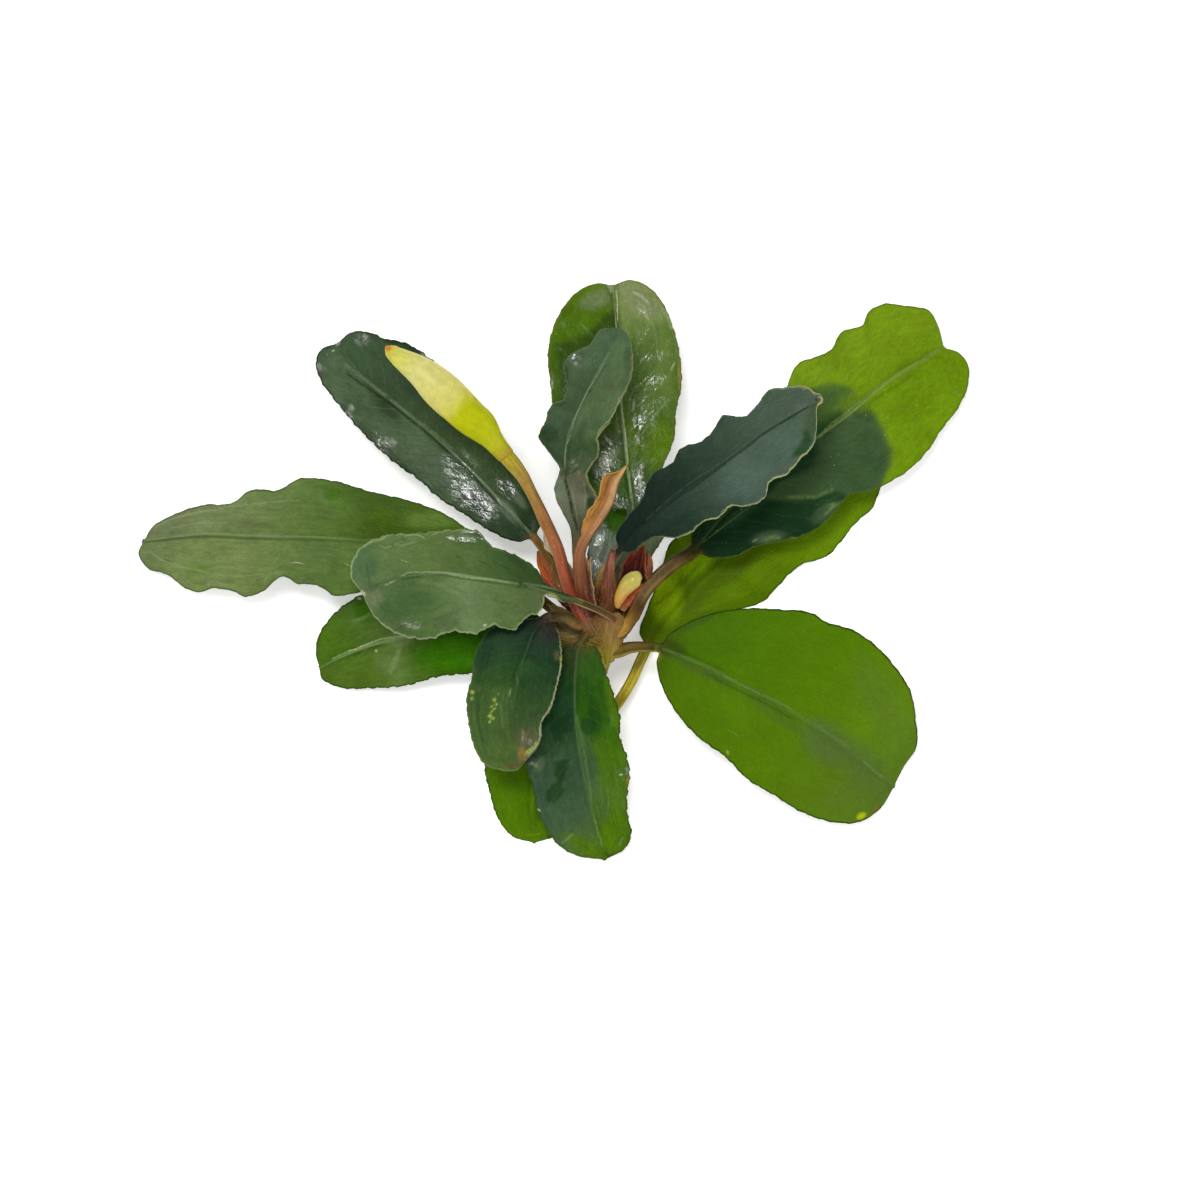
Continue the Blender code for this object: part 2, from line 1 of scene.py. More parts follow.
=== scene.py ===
"""Round wavy bucephalandra, dressed: a loose plant lying on its older leaves, seen from above.

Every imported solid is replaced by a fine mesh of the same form. The lists of the stem, the leaves and the
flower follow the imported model's values, and differ a little from them in some hidden margins, in some
petioles and in the young leaf's path. Lengths are in millimetres until a mesh, a camera or a lamp is made,
and colours are sRGB values from 0 to 255 until a material or a vertex colour is made.
"""

import math

import bpy
import numpy as np
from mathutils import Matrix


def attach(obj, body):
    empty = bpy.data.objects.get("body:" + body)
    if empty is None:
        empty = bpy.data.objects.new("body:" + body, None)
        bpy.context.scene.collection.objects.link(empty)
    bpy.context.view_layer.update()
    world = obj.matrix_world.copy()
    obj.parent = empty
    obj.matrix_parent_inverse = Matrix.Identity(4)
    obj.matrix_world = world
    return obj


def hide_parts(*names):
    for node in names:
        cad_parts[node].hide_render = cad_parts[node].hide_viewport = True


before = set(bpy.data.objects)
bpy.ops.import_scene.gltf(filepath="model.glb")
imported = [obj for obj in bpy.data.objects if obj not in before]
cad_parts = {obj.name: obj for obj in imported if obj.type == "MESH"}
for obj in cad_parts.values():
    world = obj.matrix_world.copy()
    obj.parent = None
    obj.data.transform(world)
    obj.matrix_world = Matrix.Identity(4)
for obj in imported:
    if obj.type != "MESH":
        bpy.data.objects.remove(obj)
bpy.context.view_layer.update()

MM = 0.001

# The camera looks straight down. The middle of the picture is over (x, y), and the picture is 192 mm
# across on the surface that the plant lies on.
CAMERA_X, CAMERA_Y, CAMERA_HEIGHT = 7.44, -4.8, 1500.0
PICTURE_WIDTH = 192.0
SENSOR_WIDTH = 36.0
FAR_END = 10.0  # metres that the camera sees

# The lamps are bright enough to leave the floor white, so every colour of the plant is made darker by
# this factor and looks right under them.
PLANT_TONE = 0.7
FLOOR_GLOW = 0.35  # the floor is a light table, so shadows on it stay pale
FLOOR_HALF = 2.5  # metres from the middle of the floor to its edges
FLOOR_GREYS = ((0.90, 0.90, 0.90, 1.0), (0.92, 0.92, 0.92, 1.0))
SKY_STRENGTH = 0.42
WHITE = (1.0, 1.0, 1.0, 1.0)
# Each lamp: name, place, diameter and power
LAMPS = (
    ("key", (-120.0, 360.0, 1150.0), 400.0, 6.8), ("glint", (-300.0, 334.0, 1113.0), 200.0, 2.4),
    ("left", (-1100.0, 200.0, 800.0), 900.0, 5.4), ("right", (1100.0, -100.0, 800.0), 900.0, 4.8),
    ("front", (0.0, -1100.0, 800.0), 900.0, 4.8),
)

# Leaf blades
BLADE_THICKNESS = 0.44
MARGIN_THICKNESS = 0.26
PETIOLE_RADIUS = 0.85
RIDGE_RADIUS = (0.8, 0.25)  # the midrib below the blade, at the blade's base and at its tip
CHANNEL_DEPTH, CHANNEL_WIDTH = 0.2, 0.42  # the midrib's channel on the upper side
TIP_END = 0.997  # the share of the blade where its last section is
BLADE_STATIONS = 180
HALF_COLUMNS = 27  # points of one section, from the midrib to one margin
CROWDING = 0.09  # how much closer they lie at the midrib and at the margin
PETIOLE_STEP = 0.4  # from one section of a petiole to the next
PETIOLE_RIBS, PETIOLE_GROOVE = 0.025, 0.16  # their height and its depth, as shares of the radius
TREND_SPAN = 0.16  # share of a margin over which its waves even out
LOWEST = 0.02  # no point is lower than this
WET_IOR = 1.7
# the third kind of stroke is mostly painted glints, with some pale spots and tips
STROKE_KINDS = ("pale", "dark", "glint_and_spot")  # fine lines and dots painted on a blade
FLECKS = (205, 215, 120)
# Where a piece lies on its sheet: the sides' first corner and size, and the middles and radius of its ends
SIDES_CORNER, SIDES_SIZE = (0.005, 0.03), (0.99, 0.96)
END_PLACES, END_HEIGHT, END_RADIUS = (0.02, 0.05), 0.01, 0.008
# Scales, stalks and buds
SCALE_STATIONS, SCALE_COLUMNS = 80, 31
SHEET = 0.2  # thickness of the spathe and of the rolled young leaf
THREADS, DOTS = (196, 150, 110), (226, 196, 160)  # pale lines and dots on them
WARTS = (92, 58, 20)


# The rhizome, from its cut end to its growing tip: x, y, z and radius. Colours along a piece are stops of
# share of the way, red, green and blue.
RHIZOME = [
    (2.6, -27.4, 3.1, 2.5), (3.4, -24.6, 4.0, 2.7), (4.3, -21.5, 5.2, 2.55), (5.0, -19.0, 6.3, 2.75),
    (5.7, -16.7, 7.4, 2.6), (6.4, -14.3, 8.5, 2.8), (7.0, -12.0, 9.6, 2.65), (7.4, -9.6, 10.9, 2.8),
    (7.3, -7.8, 12.2, 2.6), (6.9, -6.7, 13.4, 2.0), (6.6, -6.2, 14.2, 1.3),
]
RHIZOME_COLOURS = [
    (0.0, 150, 140, 84), (0.06, 104, 84, 40), (0.3, 124, 108, 44), (0.5, 150, 134, 44), (0.62, 164, 148, 26),
    (0.72, 160, 134, 36), (0.85, 138, 104, 44), (1.0, 116, 74, 36),
]

# The flower: stalk and closed spathe, and the young bud beside it, each from below
FLOWER_STALK = [
    (6.2, -9.6, 12.4, 1.6), (5.2, -7.8, 13.9, 1.35), (4.1, -5.9, 14.9, 1.25), (2.9, -3.6, 15.8, 1.1),
    (2.1, -1.6, 16.5, 1.0), (0.8, 3.1, 17.5, 1.0), (-1.3, 7.8, 18.4, 1.0), (-3.6, 12.6, 19.1, 0.9),
    (-4.9, 14.9, 19.4, 1.05), (-6.3, 16.7, 19.6, 1.22), (-7.6, 18.2, 19.8, 1.25), (-8.3, 19.0, 19.8, 1.2),
]
STALK_COLOURS = [
    (0.0, 114, 90, 42), (0.07, 112, 78, 40), (0.11, 132, 56, 36), (0.2, 150, 60, 42), (0.32, 172, 88, 60),
    (0.42, 164, 92, 58), (0.58, 158, 104, 54), (0.74, 160, 122, 60), (0.84, 166, 138, 56),
    (0.92, 172, 154, 44), (1.0, 182, 174, 24),
]
FLOWER_BUD = [
    (-7.3, 17.9, 19.8, 1.3), (-8.6, 19.4, 19.9, 1.45), (-9.5, 20.5, 19.9, 1.65), (-10.4, 21.6, 20.0, 2.1),
    (-11.4, 22.7, 20.1, 2.5), (-13.1, 24.1, 20.2, 2.7), (-14.9, 25.8, 20.3, 2.85), (-16.7, 27.5, 20.4, 2.98),
    (-18.5, 29.2, 20.4, 2.85), (-20.0, 30.6, 20.4, 2.5), (-21.6, 31.8, 20.3, 2.12), (-23.3, 32.9, 20.2, 1.7),
    (-24.8, 33.9, 20.0, 1.25), (-25.8, 34.7, 19.9, 0.8), (-26.3, 35.2, 19.8, 0.12),
]
SPATHE_COLOURS = [
    (0.0, 170, 148, 46), (0.08, 178, 166, 34), (0.3, 212, 202, 88), (0.5, 217, 209, 112),
    (0.75, 220, 213, 130), (0.9, 210, 208, 94), (0.98, 202, 184, 70), (1.0, 202, 176, 60),
]
SPATHE_BAND = ((-16.2, 23.8), (-12.3, 28.0))  # where the spathe turns from yellow-green to cream
SPATHE_TIP = (-26.0, 35.0)
SPATHE_FLATNESS = 0.92  # its height over its width
YOUNG_BUD = [
    (10.2, -6.0, 15.6, 0.35), (10.4, -5.0, 16.0, 0.75), (10.8, -4.0, 16.3, 0.98), (11.5, -2.9, 16.6, 1.22),
    (12.3, -2.0, 16.8, 1.36), (13.1, -1.5, 16.9, 1.28), (13.8, -1.3, 16.9, 0.85), (14.1, -1.3, 16.9, 0.2),
]
BUD_COLOURS = [
    (0.0, 196, 146, 60), (0.3, 206, 160, 76), (0.5, 200, 176, 84), (0.75, 194, 182, 84), (1.0, 204, 192, 104),
]

# The rolled young leaf, from inside the crown to its tip: x, y, z and the roll's radius. NEW_LIP is how
# far its free margin stands out at each share of the blade, which starts at NEW_LEAF_BLADE.
NEW_LEAF = [
    (5.4, -6.7, 14.2, 1.4), (4.8, -4.5, 15.8, 1.25), (4.4, -2.0, 17.9, 1.12), (4.1, 1.5, 19.6, 0.98),
    (4.5, 3.6, 20.9, 0.88), (5.7, 5.8, 22.2, 0.84), (7.1, 7.8, 23.3, 0.82), (8.8, 10.7, 24.7, 0.82),
    (9.9, 14.0, 26.5, 0.7), (10.8, 15.3, 27.6, 0.4), (11.5, 16.2, 28.2, 0.1),
]
NEW_LEAF_BLADE = 0.5
NEW_LIP = [
    (0.0, 0.1), (0.06, 0.66), (0.11, 0.75), (0.14, 1.3), (0.21, 1.15), (0.31, 1.6), (0.4, 1.15), (0.45, 1.45),
    (0.49, 1.1), (0.58, 1.2), (0.64, 1.3), (0.72, 1.45), (0.78, 1.4), (0.82, 1.0), (0.87, 0.5), (0.91, 0.0),
    (1.0, 0.0),
]
NEW_LEAF_COLOURS = [
    (0.0, 80, 36, 24), (0.16, 112, 58, 32), (0.34, 134, 80, 46), (0.46, 150, 96, 58), (0.6, 176, 128, 78),
    (0.75, 188, 148, 98), (0.9, 196, 156, 104), (0.96, 212, 174, 104), (1.0, 220, 188, 116),
]
LIP_COLOURS = [(0.0, 176, 124, 44), (0.3, 184, 134, 50), (0.6, 160, 106, 30), (1.0, 156, 106, 28)]

# Leaves. petiole and midrib are x, y, z, left and right are the margins' x, y, all from the rhizome
# outwards. rise is how far the left and the right margin stand above the midrib where the blade is
# widest, and wave is how much a margin lifts for each millimetre that it pulls in.
LEAVES = {
    "leaf_far_left": {
        "petiole": [(3.8, -8.6, 10.0), (1.4, -7.3, 10.8), (-5.3, -1.9, 11.0), (-10.8, 1.9, 10.4)],
        "midrib": [
            (-10.8, 1.9, 10.4), (-19.6, 3.6, 10.0), (-35.5, 5.1, 8.2), (-46.7, 5.4, 6.0), (-56.4, 5.7, 3.0),
            (-65.8, 4.6, 0.1),
        ],
        "left": [
            (-10.9, 1.9), (-14.9, 0.0), (-20.4, -2.4), (-30.8, -3.5), (-34.8, -4.0), (-37.5, -2.4),
            (-40.7, -2.1), (-42.9, -1.0), (-46.4, -3.4), (-48.8, -4.2), (-51.5, -3.2), (-54.4, -2.9),
            (-56.6, -3.5), (-59.1, -2.6), (-61.4, -0.8), (-65.0, 0.5), (-66.3, 2.8), (-65.5, 4.6),
        ],
        "right": [
            (-10.9, 1.9), (-12.0, 4.4), (-16.4, 8.3), (-22.5, 10.8), (-29.2, 12.4), (-35.6, 14.2),
            (-40.8, 14.3), (-43.5, 12.7), (-48.3, 12.6), (-51.2, 10.6), (-55.8, 10.3), (-61.0, 8.6),
            (-64.2, 6.7), (-65.5, 4.6),
        ],
        "rise": (0.5, 1.2), "wave": 1.0, "slot": "grey_green_leaf",
    },
    "leaf_near_left": {
        "petiole": [(9.6, -7.8, 15.0), (7.4, -6.5, 16.9), (4.3, -5.2, 18.4)],
        "midrib": [
            (4.3, -5.2, 18.4), (-3.6, -2.7, 20.0), (-11.5, -1.3, 20.5), (-19.4, -0.4, 19.4),
            (-25.0, -1.3, 17.4), (-30.4, -3.5, 14.5),
        ],
        "left": [
            (4.3, -5.2), (2.1, -6.4), (0.5, -4.6), (-0.8, -4.2), (-2.0, -6.5), (-4.3, -7.6), (-6.0, -9.4),
            (-9.6, -8.8), (-12.0, -10.0), (-16.0, -9.7), (-19.1, -10.8), (-25.4, -9.7), (-28.1, -7.5),
            (-30.3, -3.5),
        ],
        "right": [
            (4.3, -5.2), (0.3, -2.9), (-3.3, 0.7), (-6.5, 2.5), (-9.9, 3.9), (-11.5, 5.8), (-17.1, 6.1),
            (-21.8, 5.6), (-25.3, 5.5), (-30.0, 3.7), (-31.8, 1.0), (-31.9, -1.2), (-30.3, -3.5),
        ],
        "rise": (0.6, 1.0), "wave": 0.9, "slot": "grey_green_leaf",
    },
    "leaf_lower_left": {
        "petiole": [(2.6, -13.8, 8.2), (1.3, -12.0, 8.6), (-1.3, -8.8, 8.4)],
        "midrib": [
            (-1.3, -8.8, 8.4), (-11.7, -9.3, 6.8), (-22.9, -10.7, 4.2), (-28.0, -11.7, 2.8),
            (-33.3, -13.6, 1.1), (-37.5, -15.7, 0.1),
        ],
        "left": [
            (-1.3, -8.8), (-2.9, -12.0), (-7.7, -14.7), (-12.8, -16.4), (-15.2, -16.6), (-17.6, -16.8),
            (-23.7, -18.4), (-28.9, -18.8), (-34.8, -18.5), (-37.1, -17.2), (-37.4, -15.6),
        ],
        "right": [
            (-1.3, -8.8), (-3.7, -5.6), (-10.1, -2.9), (-18.1, -1.6), (-25.3, -2.1), (-31.2, -4.3),
            (-35.6, -7.7), (-37.7, -11.2), (-37.9, -13.7), (-37.4, -15.6),
        ],
        "rise": (-0.4, 0.8), "wave": 0.8, "slot": "bright_green_leaf",
    },
    "leaf_front_left": {
        "petiole": [(4.3, -8.8, 13.4), (1.9, -7.7, 15.2), (-0.7, -7.6, 16.4)],
        "midrib": [
            (-0.7, -7.6, 16.4), (-2.7, -9.4, 17.2), (-4.2, -12.8, 17.5), (-5.7, -18.2, 16.8),
            (-6.5, -23.8, 14.8), (-4.6, -30.5, 10.4),
        ],
        "left": [
            (-0.7, -7.6), (0.3, -8.6), (1.1, -11.1), (1.3, -15.1), (0.5, -18.7), (-0.5, -22.2), (-1.9, -24.3),
            (-1.9, -26.2), (-2.4, -27.8), (-4.6, -30.5),
        ],
        "right": [
            (-0.7, -7.6), (-4.1, -7.8), (-10.0, -9.6), (-12.5, -14.3), (-12.7, -16.7), (-13.6, -20.2),
            (-13.2, -24.9), (-12.4, -28.2), (-10.8, -30.8), (-8.4, -31.7), (-5.7, -31.7), (-4.6, -30.5),
        ],
        "rise": (0.3, -0.6), "wave": 0.9, "slot": "dark_green_leaf",
    },
    "leaf_front": {
        "petiole": [(6.6, -8.6, 11.4), (5.4, -10.0, 13.3), (4.3, -11.6, 14.9)],
        "midrib": [
            (4.3, -11.6, 14.9), (3.5, -17.5, 14.0), (3.5, -22.6, 12.0), (4.6, -31.1, 7.6), (5.7, -36.7, 4.6),
            (8.2, -46.5, 0.1),
        ],
        "left": [
            (4.3, -11.6), (6.5, -12.2), (8.1, -15.8), (9.5, -19.7), (10.6, -23.9), (10.5, -26.3),
            (11.7, -29.9), (12.1, -32.1), (11.7, -36.1), (11.9, -39.8), (12.4, -41.7), (11.6, -44.2),
            (8.2, -46.3),
        ],
        "right": [
            (4.3, -11.6), (1.9, -12.2), (0.5, -15.0), (-0.8, -19.1), (-2.7, -24.7), (-4.2, -31.0),
            (-3.1, -35.0), (-2.6, -37.9), (-1.0, -41.4), (1.1, -44.1), (3.5, -45.5), (8.2, -46.3),
        ],
        "rise": (0.4, -0.5), "wave": 0.8, "slot": "dark_green_leaf",
    },
    "leaf_under_front": {
        "petiole": [(0.3, -22.4, 3.9), (-0.9, -23.1, 3.5), (-1.8, -24.8, 3.0)],
        "midrib": [(-1.8, -24.8, 3.0), (-2.8, -30.4, 1.8), (-3.7, -37.6, 0.9), (-3.1, -43.7, 0.1)],
        "left": [
            (-1.8, -24.8), (-0.4, -27.6), (3.0, -30.0), (4.6, -33.6), (3.4, -38.0), (1.4, -41.9),
            (-3.1, -43.6),
        ],
        "right": [
            (-1.8, -24.8), (-5.3, -25.0), (-9.0, -26.9), (-10.9, -31.2), (-10.1, -35.6), (-8.9, -39.5),
            (-6.6, -42.5), (-3.1, -43.6),
        ],
        "rise": (-0.5, -0.5), "wave": 0.6, "slot": "bright_green_leaf",
    },
    "leaf_round_right": {
        "petiole": [(10.2, -12.8, 10.3), (12.2, -12.35, 10.8), (13.9, -12.2, 10.8), (16.2, -12.3, 10.3)],
        "midrib": [
            (16.2, -12.3, 10.3), (23.3, -14.8, 9.4), (33.7, -20.2, 7.4), (43.3, -26.0, 4.6),
            (54.6, -34.7, 0.1),
        ],
        "left": [
            (16.2, -12.3), (19.4, -9.6), (26.6, -6.7), (31.3, -6.2), (36.1, -6.4), (41.2, -7.0), (43.3, -8.3),
            (47.6, -9.6), (51.2, -12.0), (54.9, -16.1), (56.8, -19.1), (57.8, -23.9), (57.9, -28.4),
            (56.0, -31.4), (54.4, -34.6),
        ],
        "right": [
            (16.2, -12.3), (17.0, -17.5), (20.2, -23.4), (23.4, -26.8), (27.3, -29.6), (31.0, -33.3),
            (35.3, -35.9), (39.3, -38.4), (45.3, -40.3), (48.5, -40.3), (52.4, -37.9), (54.4, -34.6),
        ],
        "rise": (0.4, -0.4), "wave": 0.6, "slot": "bright_green_leaf",
    },
    "leaf_back_right": {
        "petiole": [
            (7.0, -24.6, 3.4), (8.4, -23.4, 3.4), (10.3, -21.2, 3.3), (12.2, -18.2, 2.9), (14.6, -13.1, 1.8),
        ],
        "midrib": [
            (14.6, -13.1, 1.8), (21.8, -3.5, 0.8), (32.2, 7.2, 0.7), (42.6, 17.9, 0.7), (51.4, 26.4, 0.7),
        ],
        "left": [
            (14.6, -13.1), (13.8, -10.6), (15.1, -6.1), (16.2, -3.2), (17.4, 0.3), (18.6, 4.0), (21.2, 6.7),
            (25.0, 12.0), (30.6, 19.2), (37.8, 26.7), (44.2, 29.9), (48.5, 28.9), (51.4, 26.4),
        ],
        "right": [
            (14.6, -13.1), (21.8, -10.9), (29.8, -6.2), (33.3, -5.1), (35.7, -2.7), (39.4, 0.8), (43.9, 2.4),
            (46.1, 4.8), (48.4, 7.7), (50.9, 9.9), (52.2, 13.1), (54.0, 18.4), (53.2, 22.9), (51.4, 26.4),
        ],
        "rise": (-0.5, -0.5), "wave": 0.6, "slot": "bright_green_leaf",
    },
    "leaf_long_right": {
        "petiole": [
            (10.2, -10.0, 12.5), (12.2, -7.9, 13.9), (13.1, -6.4, 14.9), (13.9, -4.6, 15.4),
            (14.8, -3.1, 15.0), (16.3, -1.5, 13.6), (17.7, -0.2, 11.8), (19.5, 1.2, 9.8), (21.8, 2.6, 8.0),
        ],
        "midrib": [
            (21.8, 2.6, 8.0), (26.5, 7.9, 7.2), (32.9, 14.0, 6.6), (47.3, 25.0, 4.6), (55.3, 31.4, 2.4),
            (62.6, 35.6, 0.1),
        ],
        "left": [
            (21.8, 2.6), (22.1, 6.4), (25.0, 11.9), (30.6, 19.4), (34.5, 25.2), (37.3, 29.3), (38.5, 32.2),
            (44.4, 35.2), (46.0, 37.9), (49.2, 38.9), (50.5, 41.3), (52.9, 42.4), (56.1, 42.1), (60.1, 41.3),
            (61.6, 38.6), (62.4, 35.5),
        ],
        "right": [
            (21.8, 2.9), (24.2, 2.1), (29.0, 2.2), (32.2, 3.7), (36.1, 4.6), (40.1, 5.6), (42.2, 6.8),
            (45.4, 9.9), (47.0, 11.9), (50.5, 12.6), (52.9, 13.7), (56.5, 15.9), (59.7, 19.1), (62.0, 22.6),
            (64.5, 25.8), (66.3, 30.3), (66.1, 33.1), (64.8, 34.7), (62.4, 35.5),
        ],
        "rise": (0.8, 0.0), "wave": 0.8, "slot": "bright_green_leaf",
    },
    "leaf_dark_right": {
        "petiole": [(8.3, -4.9, 13.6), (8.5, -1.6, 16.0), (9.2, 1.2, 18.0), (10.3, 2.8, 19.4)],
        "midrib": [
            (10.3, 2.8, 19.4), (17.7, 10.2, 21.8), (25.6, 15.7, 22.0), (33.5, 21.7, 20.2),
            (42.75, 26.9, 16.2),
        ],
        "left": [
            (10.3, 2.8), (9.8, 4.2), (11.9, 8.3), (14.1, 11.0), (15.0, 13.7), (16.1, 15.2), (18.8, 16.7),
            (20.1, 18.9), (23.7, 20.3), (25.4, 22.0), (26.7, 24.1), (30.3, 24.1), (32.7, 26.5), (34.0, 28.2),
            (36.6, 28.7), (39.2, 29.0), (40.5, 28.7), (41.5, 27.9), (42.2, 27.7), (42.7, 26.9),
        ],
        "right": [
            (10.3, 2.8), (11.3, 2.3), (12.8, 2.8), (14.4, 4.2), (16.1, 5.1), (19.8, 5.1), (22.1, 6.1),
            (23.5, 7.5), (26.2, 8.3), (28.0, 10.0), (30.3, 10.0), (33.3, 11.3), (34.3, 14.0), (36.6, 14.9),
            (39.3, 17.8), (40.8, 19.2), (41.7, 23.6), (41.7, 25.4), (42.0, 26.2), (42.7, 26.9),
        ],
        "rise": (1.2, 0.3), "wave": 1.0, "slot": "blue_green_leaf",
    },
    "leaf_top_round": {
        "petiole": [(9.1, -5.0, 11.8), (9.3, -1.0, 12.4), (10.9, 3.9, 12.4), (12.4, 7.7, 11.8)],
        "midrib": [
            (12.4, 7.7, 11.8), (11.7, 16.7, 10.4), (10.9, 26.2, 7.8), (10.2, 36.7, 3.8), (9.4, 45.6, 0.1),
        ],
        "left": [
            (12.4, 7.6), (9.4, 9.7), (7.2, 11.6), (5.4, 13.9), (3.1, 17.8), (1.4, 21.5), (0.0, 26.3),
            (-0.4, 29.9), (-0.8, 33.9), (-0.2, 37.9), (1.4, 41.5), (4.3, 44.7), (7.4, 45.8), (9.4, 45.4),
        ],
        "right": [
            (12.4, 7.8), (15.4, 12.4), (17.6, 17.0), (19.1, 20.7), (19.5, 25.5), (20.3, 29.0), (20.3, 32.3),
            (20.0, 34.7), (18.9, 39.0), (17.3, 42.7), (15.1, 45.2), (12.2, 46.3), (9.4, 45.4),
        ],
        "rise": (0.6, 0.4), "wave": 0.6, "slot": "light_green_leaf",
    },
    "leaf_top_wavy": {
        "petiole": [(5.7, -4.6, 13.7), (4.4, -0.8, 15.0), (3.9, 2.4, 15.7), (3.8, 4.7, 16.0)],
        "midrib": [
            (3.8, 4.7, 16.0), (2.5, 12.6, 17.0), (1.9, 16.5, 17.4), (2.2, 20.5, 17.8), (4.6, 26.5, 17.4),
            (7.4, 31.9, 16.2), (10.6, 38.5, 13.8),
        ],
        "left": [
            (3.8, 4.7), (1.6, 8.7), (0.3, 12.9), (1.1, 15.8), (-0.5, 18.5), (-2.2, 21.2), (-1.3, 23.0),
            (0.0, 26.1), (1.6, 26.8), (2.2, 28.4), (1.9, 32.9), (3.5, 34.4), (5.9, 35.6), (7.4, 37.8),
            (10.6, 38.4),
        ],
        "right": [
            (3.8, 4.7), (5.4, 6.8), (6.3, 8.7), (7.1, 10.4), (7.0, 11.5), (6.3, 12.7), (5.4, 14.6),
            (7.3, 18.9), (7.1, 20.8), (8.7, 23.0), (10.3, 26.1), (11.4, 28.1), (12.5, 31.3), (12.5, 34.4),
            (11.9, 37.0), (10.6, 38.4),
        ],
        "rise": (1.2, 0.9), "wave": 1.3, "slot": "grey_green_leaf",
    },
    "leaf_upper_left": {
        "petiole": [
            (3.9, -5.1, 12.0), (2.1, -3.5, 13.0), (0.7, -1.5, 13.8), (-0.2, 0.9, 13.6), (-1.3, 2.8, 12.4),
            (-2.6, 4.6, 10.6),
        ],
        "midrib": [
            (-2.6, 4.6, 10.6), (-8.5, 11.1, 9.6), (-14.8, 17.5, 8.4), (-24.4, 25.8, 5.6), (-29.2, 29.5, 3.4),
            (-34.7, 36.3, 0.1),
        ],
        "left": [
            (-2.6, 4.6), (-6.1, 4.6), (-10.1, 6.3), (-14.1, 8.9), (-18.5, 11.8), (-21.2, 14.3), (-24.4, 16.5),
            (-27.6, 19.2), (-32.4, 24.2), (-35.1, 27.5), (-37.3, 30.7), (-37.9, 33.4), (-37.0, 35.3),
            (-34.6, 36.1),
        ],
        "right": [
            (-2.6, 4.6), (-2.0, 7.6), (-4.5, 13.0), (-7.7, 18.8), (-11.7, 25.8), (-16.4, 31.0), (-20.0, 33.9),
            (-21.5, 35.0), (-24.4, 36.4), (-26.8, 36.8), (-29.5, 37.9), (-32.4, 37.9), (-34.6, 36.1),
        ],
        "rise": (0.4, 0.8), "wave": 0.9, "slot": "dark_green_leaf",
    },
    "leaf_hidden_back": {
        "petiole": [(7.0, -7.0, 11.4), (7.3, -6.0, 11.2), (7.7, -4.8, 10.8)],
        "midrib": [
            (7.7, -4.8, 10.8), (8.6, -0.6, 9.6), (10.3, 3.9, 8.6), (12.1, 10.3, 7.2), (12.2, 19.1, 5.4),
        ],
        "left": [
            (7.7, -4.8), (6.1, -4.0), (5.8, -1.4), (5.5, 2.4), (6.2, 5.5), (7.8, 9.5), (8.4, 13.5),
            (9.7, 17.2), (12.2, 19.1),
        ],
        "right": [
            (7.7, -4.8), (10.6, -3.8), (12.6, -1.8), (14.6, 0.8), (16.4, 3.4), (17.5, 5.2), (18.2, 7.5),
            (18.3, 9.8), (17.0, 14.3), (15.1, 17.5), (12.2, 19.1),
        ],
        "rise": (0.4, -0.4), "wave": 0.6, "slot": "grey_green_leaf",
    },
}

# How a leaf looks where its own entry in LOOKS says nothing else. blade, right_blade, under and petiole are
# stops of share, red, green and blue: blade is the upper side, or its left half where there is a
# right_blade. The stops of midrib and margin are (share, value). A patch is
# (colour, strength, x, y, half length, half width, turn), a zone is (colour, strength, softness, outline),
# a wet place is (strength, x, y, half length, half width, turn), and a bump is (height, x, y, half length,
# half width, turn). Some blade stops, patches and zones are painted light, painted shade and painted sheen,
# as said at each leaf. midrib is its line's colour and strength, and margin is its line's colour and its
# strength on the left and on the right. midrib_shade is the strength, the place beside the midrib and the
# half width of the midrib's dark side, which is painted shade of its channel. pale is the colour of the pale
# strokes, some of them painted sheen, and spark the colour of the strokes of the third kind, mostly painted
# glints. frill and nibble are waves of the margin, up and down and in and
# out, each (count, height). pucker is the size and the height of the lumps on the blade. flare is how much
# wider the petiole is at its foot, and over what length that fades. petiole_sides are the colours of the
# petiole's left and right side.
COMMON_LOOK = {
    "roughness": 0.44, "wet_roughness": 0.14, "coat": 0.0, "specular": 0.07, "relief": 0.12, "bulge": 0.45,
    "frill": [(5.3, 0.2), (9.1, 0.13), (14.7, 0.06)], "nibble": [(19.3, 0.05), (31.7, 0.04), (57.0, 0.03)],
    "pucker": (5.0, 0.06), "petiole_size": 1.0, "flare": (0.8, 2.2), "vein_count": 17.0, "vein_sweep": 0.16,
    "veins": 0.06, "net": 0.06, "mottle": 0.12, "streaks": 0.05, "flecks": 0.0, "fleck_scale": 0.55,
    "margin_width": 0.28, "margin": ((46, 62, 18), 0.6, 0.6),
    "midrib": ((128, 146, 98), [(0.0, 0.0), (0.12, 0.5), (0.85, 0.45), (0.97, 0.0)]), "midrib_width": 0.34,
    "midrib_shade": (0.4, 0.5, 0.5), "dark": (36, 62, 18), "vein": (132, 150, 92), "pale": (150, 166, 112),
    "glint_and_spot": (214, 218, 160), "under": [(0.0, 104, 122, 62), (1.0, 112, 132, 74)],
    "petiole": [(0.0, 132, 66, 36), (0.5, 122, 96, 44), (1.0, 92, 96, 32)], "petiole_sides": (None, None),
}
